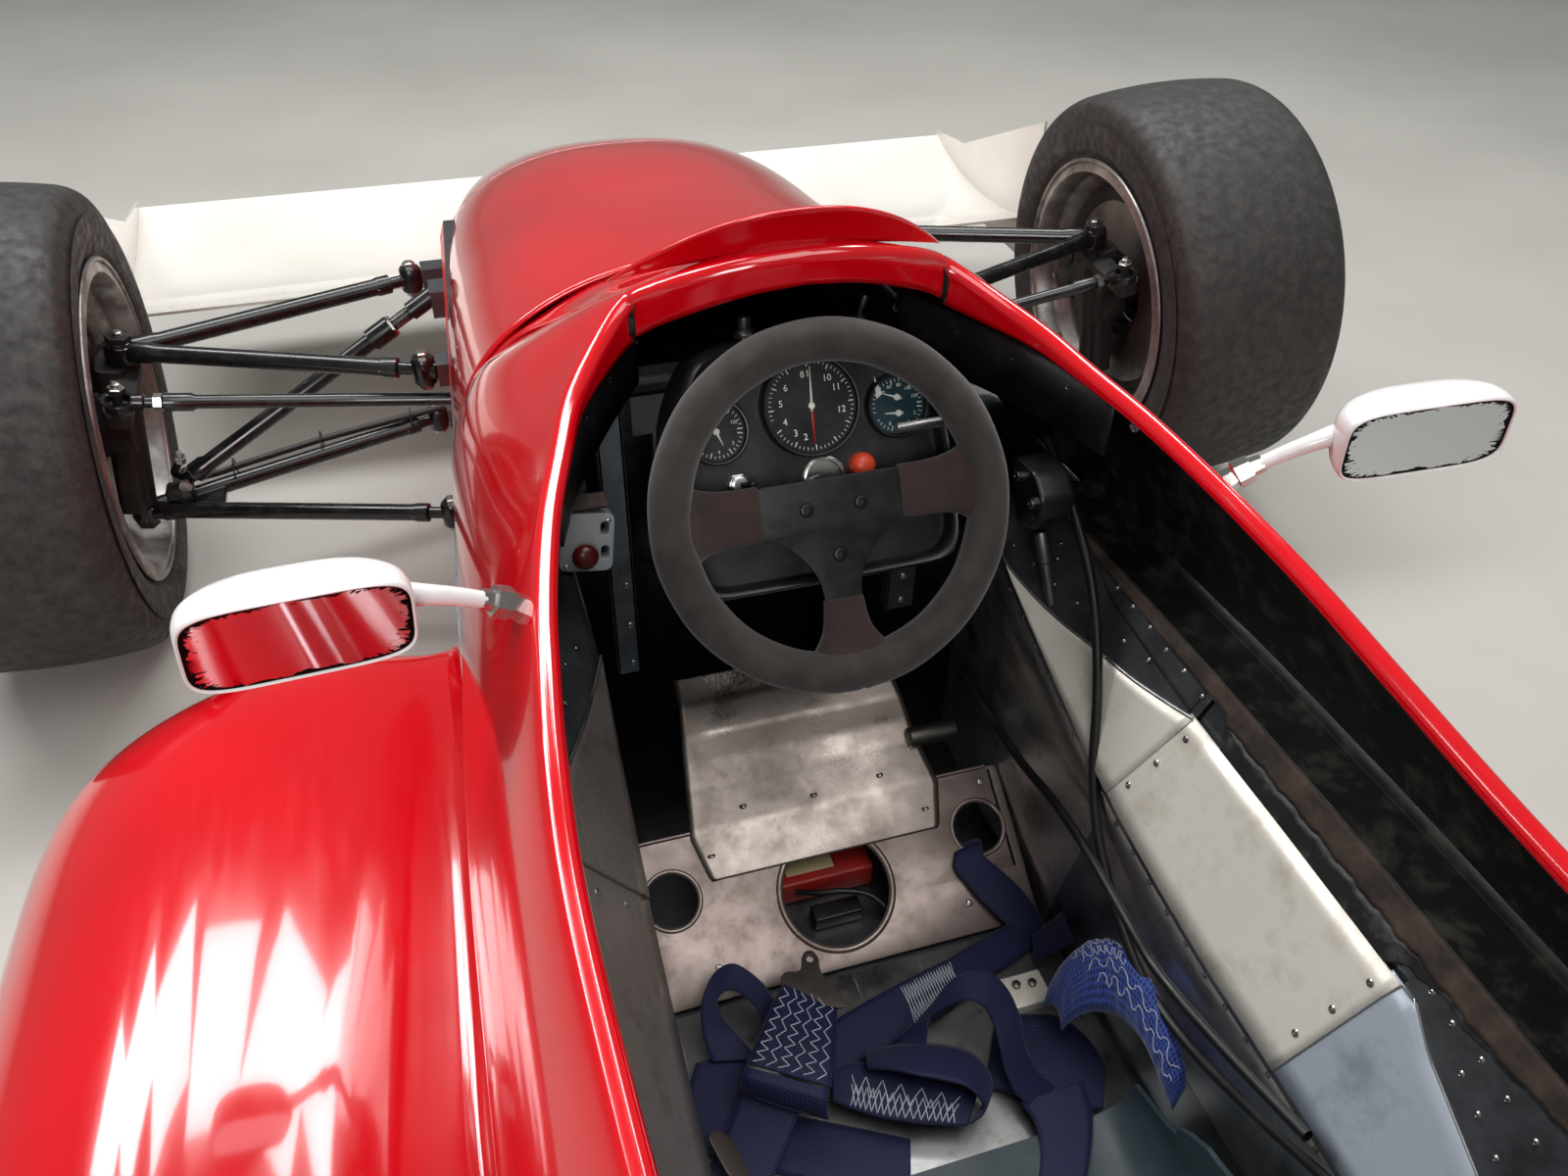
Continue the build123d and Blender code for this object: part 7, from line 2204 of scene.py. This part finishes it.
# Outline of a shell station: a squared ellipse between the mirror's across and upward directions.
def buildMirrors():
    inner, outer = place(mirrors["inner"]), place(mirrors["outer"])
    centre, across = (inner + outer) / 2, unit(outer - inner)
    face = np.cross(across, (0, 0, 1.0))
    face = -face / np.linalg.norm(face) if face[1] > 0 else face / np.linalg.norm(face)
    rise = np.cross(face, across)
    rise = rise if rise[2] > 0 else -rise
    turn = np.linspace(0, 2 * math.pi, 64, endpoint=False)

    def ring(depth, half, high, power, lift=0.0):
        x = half * squared(np.cos(turn), 2 / power)
        z = high * squared(np.sin(turn), 2 / power)
        return centre + 0.001 * (x[:, None] * across + (z + lift)[:, None] * rise - depth * face)

    table = through(mirrors["shell"], 40)
    rings = [ring(3.5, *mirrors["glass"], 5.0), ring(0.6, *mirrors["glass"], 5.0)]
    rings += [ring(*row, lift=row[0] * 0.16) for row in table]
    shell = grid(np.array(rings), wrapColumns=True, capEnd=True)
    stem = through(mirrors["stem"], 30)
    neck = carry(place(stem[:, :3]), roundProfile(0.001, 20), up=(0, 1, 0.3), scale=stem[:, 3])
    piece("mirrorShells", bothSides(join([shell, neck])), mirrorWhite, smooth=50,
          replaces="mirror_housings")
    share = np.linspace(0, 1, 12)[:, None, None]
    edge = ring(1.4, *mirrors["glass"], 5.0)
    flat = edge.mean(0) + share * (edge[None] - edge.mean(0))
    uv = np.stack(np.broadcast_arrays((1 - share[:, :, 0]) * 24.0, turn[None, :] * 50.0),
                  -1).reshape(-1, 2)
    glass = grid(flat, wrapColumns=True)
    piece("mirrorGlass", bothSides(glass), makeMirrorGlass(), uv=np.vstack([uv, uv]),
          replaces="mirror_glasses")
    seat = np.array(mirrors["seat"], float)
    base = carry(place(seat[:, :3]), roundProfile(0.001, 6), up=(0, 1, 0.3), scale=seat[:, 3])
    piece("mirrorNuts", bothSides(base), brightSteel, smooth=28)


buildMirrors()

print("stage: rear end")

# Rear suspension on the right: legs from the upright
# to the gearbox, damper, driveshaft; x, ahead, z.
rearEnd = {
    "legs": [((578, -wheelbase, 162), (95, -2430, 176)), ((578, -wheelbase, 162), (95, -2750, 176)),
             ((563, -wheelbase, 385), (95, -2410, 330)),
             ((563, -wheelbase, 385), (95, -2710, 330))],
    "damper": ((93, -2466, 300), (500, -2526, 188)), "coil": (27.0, 5.0, 8.0, 92.0, 322.0),
    "shaft": ((130, -wheelbase, 279), (578, -wheelbase, 279)),
}


# Legs like those in front, each with an upright bolt through the eye at its inner end.
def buildRearArms():
    black, bright = [], []
    for outer, inner in rearEnd["legs"]:
        outer, inner = np.array(outer, float), np.array(inner, float)
        length = np.linalg.norm(inner - outer)
        run = (inner - outer) / length
        shares = [(0, 12), (26, 12), (34, 10.5), (length - 80, 10.5), (length - 76, 11.8),
                  (length - 58, 11.8),
                  (length - 56, 7), (length - 38, 7), (length - 36, 10), (length, 10)]
        black.append(steppedRod(outer, inner, length, shares, 22))
        spot = inner - run * 18
        black.append(turned([(-13, 12), (-12, 14), (12, 14), (13, 12)], place(spot), (0, 0, 1), 28))
        bright.append(turned([(-20, 8), (-13, 8)], place(spot), (0, 0, 1), 6))
        bright.append(turned([(13, 8), (19, 8), (20, 6)], place(spot), (0, 0, 1), 6))
        bright.append(turned([(-4, 10.5), (4, 10.5)], place(inner - run * 53), run, 6))
    piece("rearArms", bothSides(join(black)), blackEnamel, replaces="rear_wishbones")
    piece("rearArmNuts", bothSides(join(bright)), brightSteel, smooth=25)


# Coil: a circle carried along a helix about the damper, its end turns closing up to the seats.
def buildRearDampers():
    top, foot = (np.array(p, float) for p in rearEnd["damper"])
    length = np.linalg.norm(foot - top)
    run = (foot - top) / length
    radius, wire, turns, start, end = rearEnd["coil"]
    side = unit(np.cross(run, (0, 0, 1.0)))
    rise = np.cross(side, run)
    t = np.linspace(0, 1, 300)
    angle = 2 * math.pi * turns * t
    along = start + (end - start) * (t - 0.06 * np.sin(2 * math.pi * t))
    helix = top + along[:,
                        None] * run + radius * (np.cos(angle)[:, None] * side
                                                + np.sin(angle)[:, None] * rise)
    coil = carry(place(helix), roundProfile(wire * 0.001, 10), up=run)
    shares = [(0, 11), (16, 11), (20, 17), (64, 18), (66, 31), (72, 32), (start - 4, 32),
              (start - 2, 20),
              (200, 20), (201, 17), (204, 6), (end + 2, 6), (end + 4, 31), (end + 12, 31),
              (end + 14, 9),
              (length - 26, 9), (length - 22, 14), (length, 14)]
    body = steppedRod(top, foot, length, shares, 32)
    piece("rearDamperBodies", bothSides(body), brightSteel, replaces="rear_dampers")
    piece("rearSprings", bothSides(coil), springRed)


# Driveshafts: joint housing with its bolts, ribbed rubber boot, slim shaft and the outer housing.
def buildDriveshafts():
    start, end = (np.array(p, float) for p in rearEnd["shaft"])
    boot = [(62 + a, 40 - 20 * a / 46 + 3.2 * math.cos(a * 0.82)) for a in np.linspace(0, 46, 50)]
    outer = [(448 - 62 - a, 38 - 19 * a / 46 + 3.2 * math.cos(a * 0.82))
             for a in np.linspace(46, 0, 50)]
    steel = [turned([(0, 40), (1, 47), (3, 48), (14, 48), (15, 45), (40, 45), (41, 48), (56, 48),
                     (58, 44)],
                    place(start), (1, 0, 0), 48),
             turned([(58, 14), (388, 14)], place(start), (1, 0, 0), 24),
             turned([(388, 40), (390, 44), (446, 44), (448, 40)], place(start), (1, 0, 0), 48)]
    piece("driveshaftSteel", bothSides(join(steel)), discSteel, replaces="driveshafts")
    rubber = [turned([(58, 42), *boot, (110, 15)], place(start), (1, 0, 0), 40),
              turned([(338, 15), *outer, (390, 40)], place(start), (1, 0, 0), 40)]
    piece("driveshaftBoots", bothSides(join(rubber)), cableSheath)
    bolts = []
    for angle in np.linspace(0, 2 * math.pi, 6, endpoint=False):
        spot = start + (15, 38 * math.cos(angle), 38 * math.sin(angle))
        bolts.append(turned([(0, 4.8), (5, 4.8), (5.6, 2.2)], place(spot), (1, 0, 0), 12))
    piece("driveshaftBolts", bothSides(join(bolts)), brightSteel, smooth=25)


# Gearbox: places of the flanges, their half width,
# radius and height of the bolts round the outputs.
gearboxSizes = {"flanges": (-2345, -2820), "half": 103, "ring": 61, "output": 279}


# Gearbox: flanges with bolts down their sides, rings of bolts round
# the outputs, side covers, ribs on top, breather and rear lamp.
def buildGearboxDetails():
    bolts, covers = [], []
    for share in np.linspace(0, 1, 7):
        for ahead in gearboxSizes["flanges"]:
            spot = (gearboxSizes["half"], ahead, 172 + 146 * share)
            bolts.append(turned([(0, 8), (6, 8), (7, 6.5)], place(spot), (1, 0, 0), 6))
    ring, output = gearboxSizes["ring"], gearboxSizes["output"]
    for angle in np.linspace(0, 2 * math.pi, 10, endpoint=False):
        spot = (130, -wheelbase + ring * math.cos(angle), output + ring * math.sin(angle))
        bolts.append(turned([(0, 7), (6, 7), (7, 5.6)], place(spot), (1, 0, 0), 6))
    for high in (205, 300):
        covers.append(roundedBox((95, -2700, high - 22), (101, -2640, high + 22), 3))
    piece("gearboxBolts", bothSides(join(bolts)), brightSteel, smooth=25)
    piece("gearboxCovers", bothSides(join(covers)), castAlloy)
    half = gearboxSizes["half"]
    flanges = [roundedBox((-half, a - 5, 158), (half, a + 5, 334), 1.5)
               for a in gearboxSizes["flanges"]]
    piece("gearboxFlanges", join(flanges), castAlloy)
    ribs = [roundedBox((-92 + 23 * n, -2815, 340), (-87 + 23 * n, -2350, 346), 1.8)
            for n in range(9)]
    piece("gearboxRibs", join(ribs), castAlloy)
    piece("gearboxBreather",
          join([rod((40, -2500, 338), (40, -2500, 372), [(0, 9), (0.6, 9), (0.62, 6), (1, 6)], 20),
                carry(place(through([(40, -2500, 370), (42, -2500, 392), (52, -2470, 398),
                                                        (60, -2380, 392)], 30)),
                      roundProfile(0.006, 12))]),
          cableSheath)
    piece("rearLampCase", roundedBox((-34, -2908, 214), (34, -2896, 250), 4), blackMoulding)
    piece("rearLampLens", roundedBox((-30, -2914, 218), (30, -2907, 246), 3), knobRed)


# Tail pipe: rolled lip on a hollow end, and bands round the joint.
def buildTailPipe():
    centre = place((-92, -2955, 388.2))
    pipe = [(-60, 27.3), (-60, 28.6), (0, 28.6), (6, 29.6), (8, 29.2), (8, 27.6), (4, 26.4),
            (-4, 26), (-5.4, 0.4)]
    bands = [turned([(a - 5, 27.2), (a - 4, 29.4), (a + 4, 29.4), (a + 5, 27.2)], centre,
                    (0, -1, 0.02), 40)
             for a in (-120, -300)]
    piece("tailPipe", join([lathe(np.array(pipe) * 0.001, centre, (0, -1, 0.02), 48), *bands]),
          exhaustSteel)


# Quarter-turn fasteners on the bodywork, each a slotted dish.
def buildFasteners():
    table = through(nose["stations"], 200)
    heads = []
    for ahead in (-120, 40, 165):
        row = [ahead] + [float(np.interp(ahead, table[:, 0], table[:, k])) for k in range(1, 5)]
        height = row[4] + 52
        x = float(noseHalf(row, np.array([height]))[0])
        heads.append(crossScrew(place((x - 0.6, ahead, height)), (1, 0.05, -0.05), 6.5))
    piece("bodyFasteners", bothSides(join(heads)), brightSteel)


springRed = makeCoating("springRed", "#A61A14", "#8A1812", 0.35)
buildRearArms()
buildRearDampers()
buildDriveshafts()
buildGearboxDetails()
buildTailPipe()
buildFasteners()

print("stage: finishes of the CAD pieces")

nodeFinish = {
    "front_wing": whitePaint, "rear_wing": whitePaint, "front_end_plates": whitePaint,
    "rear_end_plates": whitePaint, "wing_post": sheetAluminium, "roll_hoop": blackEnamel,
    "pedals": sheetAluminium, "front_upright_left": darkCasting, "front_upright_right": darkCasting,
    "rear_uprights": darkCasting, "steering_column": blackEnamel, "engine": engineAlloy,
    "gearbox": castAlloy, "exhaust": exhaustSteel, "radiator": radiatorCore,
    "floor_pan": floorLaminate, "engine_cover": redGelcoat, "tub": tubSkin,
}
for name, finish in nodeFinish.items():
    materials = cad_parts[name].data.materials
    materials.clear()
    materials.append(finish)

print("stage: light, floor and camera")

cameraView = {"position": (-0.2483, -0.0498, 0.9842), "yaw": 0.3131, "pitch": 0.6971,
              "roll": 0.0238,
              "focalPixels": 1205.0, "imageWidth": 1600.0, "sensor": 36.0}


# Camera axes from yaw to the right, pitch down and roll, all in radians.
def buildCamera():
    yaw, pitch, roll = cameraView["yaw"], cameraView["pitch"], cameraView["roll"]
    forward = Vector((math.sin(yaw) * math.cos(pitch), math.cos(yaw) * math.cos(pitch),
                      -math.sin(pitch)))
    level = Vector((math.cos(yaw), -math.sin(yaw), 0))
    rise = level.cross(forward)
    right = math.cos(roll) * level + math.sin(roll) * rise
    up = -math.sin(roll) * level + math.cos(roll) * rise
    camera = bpy.data.objects.new("camera", bpy.data.cameras.new("camera"))
    camera.data.sensor_width = cameraView["sensor"]
    camera.data.lens = cameraView["focalPixels"] * cameraView["sensor"] / cameraView["imageWidth"]
    camera.data.clip_start = 0.02
    bpy.context.scene.collection.objects.link(camera)
    camera.matrix_world = axesMatrix(right, up, -forward, cameraView["position"])
    bpy.context.scene.camera = camera


buildCamera()


# Plain floor under the car, pale grey with faint clouds.
def buildFloor():
    material, tree, shader, coords = startMaterial("paleFloor", "#B0AEA8", 0.5)
    tree.links.new(between(tree, speckle(tree, coords, 600, 3), 0.3, 0.7, "#A9A7A1", "#B5B3AD"),
                   shader.inputs["Base Color"])
    points = np.array([[(-9, -9, 0), (9, -9, 0)], [(-9, 9, 0), (9, 9, 0)]], float)
    mesh = bpy.data.meshes.new("floor")
    mesh.from_pydata([tuple(p) for p in points.reshape(-1, 3)], [], [(0, 1, 3, 2)])
    mesh.materials.append(material)
    floor = bpy.data.objects.new("floor", mesh)
    bpy.context.scene.collection.objects.link(floor)


buildFloor()

# Lamps: name, place in metres, aim, width, height, power in watts. The row of roof lights stands in
# for a long window with its bars between them.
lamps = [
    ("windowBack", (-1.5, -4.6, 3.0), (-0.4, -0.3, 0.3), 1.7, 2.2, 130),
    ("ceilingMiddle", (0.6, -0.6, 3.9), (0.1, 0.3, 0.2), 2.6, 2.6, 64),
]
lamps += [("roofLight" + str(n), (-2.62 + 0.86 * n, 2.25, 3.0), (-0.5 + 0.2 * n, 0.6, 0.4), 0.77,
           0.72, 23)
          for n in range(6)]


# Area lamps aimed at their places; the room is bright
# to the camera, dimmer as light and in reflections.
def buildLight():
    for name, position, aim, width, height, power in lamps:
        data = bpy.data.lights.new(name, "AREA")
        data.shape = "RECTANGLE"
        data.size, data.size_y, data.energy = width, height, power
        lamp = bpy.data.objects.new(name, data)
        lamp.location = position
        lamp.rotation_euler = (Vector(aim) - Vector(position)).to_track_quat("-Z", "Y").to_euler()
        bpy.context.scene.collection.objects.link(lamp)
    world = bpy.data.worlds.new("room")
    bpy.context.scene.world = world
    world.use_nodes = True
    tree = world.node_tree
    tree.nodes.clear()
    rays = addNode(tree, "ShaderNodeLightPath")
    seen = calculate(tree, "MAXIMUM", rays.outputs["Is Camera Ray"],
                     rays.outputs["Is Transmission Ray"])
    glossy = calculate(tree, "MULTIPLY", rays.outputs["Is Glossy Ray"], 0.14)
    strength = calculate(tree, "MAXIMUM", calculate(tree, "MULTIPLY", seen, 0.62),
                         calculate(tree, "SUBTRACT", 0.34, glossy))
    background = addNode(tree, "ShaderNodeBackground",
                         inputs={"Color": colour("#F2F2EF"), "Strength": strength})
    addNode(tree, "ShaderNodeOutputWorld", inputs={"Surface": background.outputs["Background"]})
    bpy.context.scene.view_settings.view_transform = "Standard"


buildLight()

print("stage: finish")
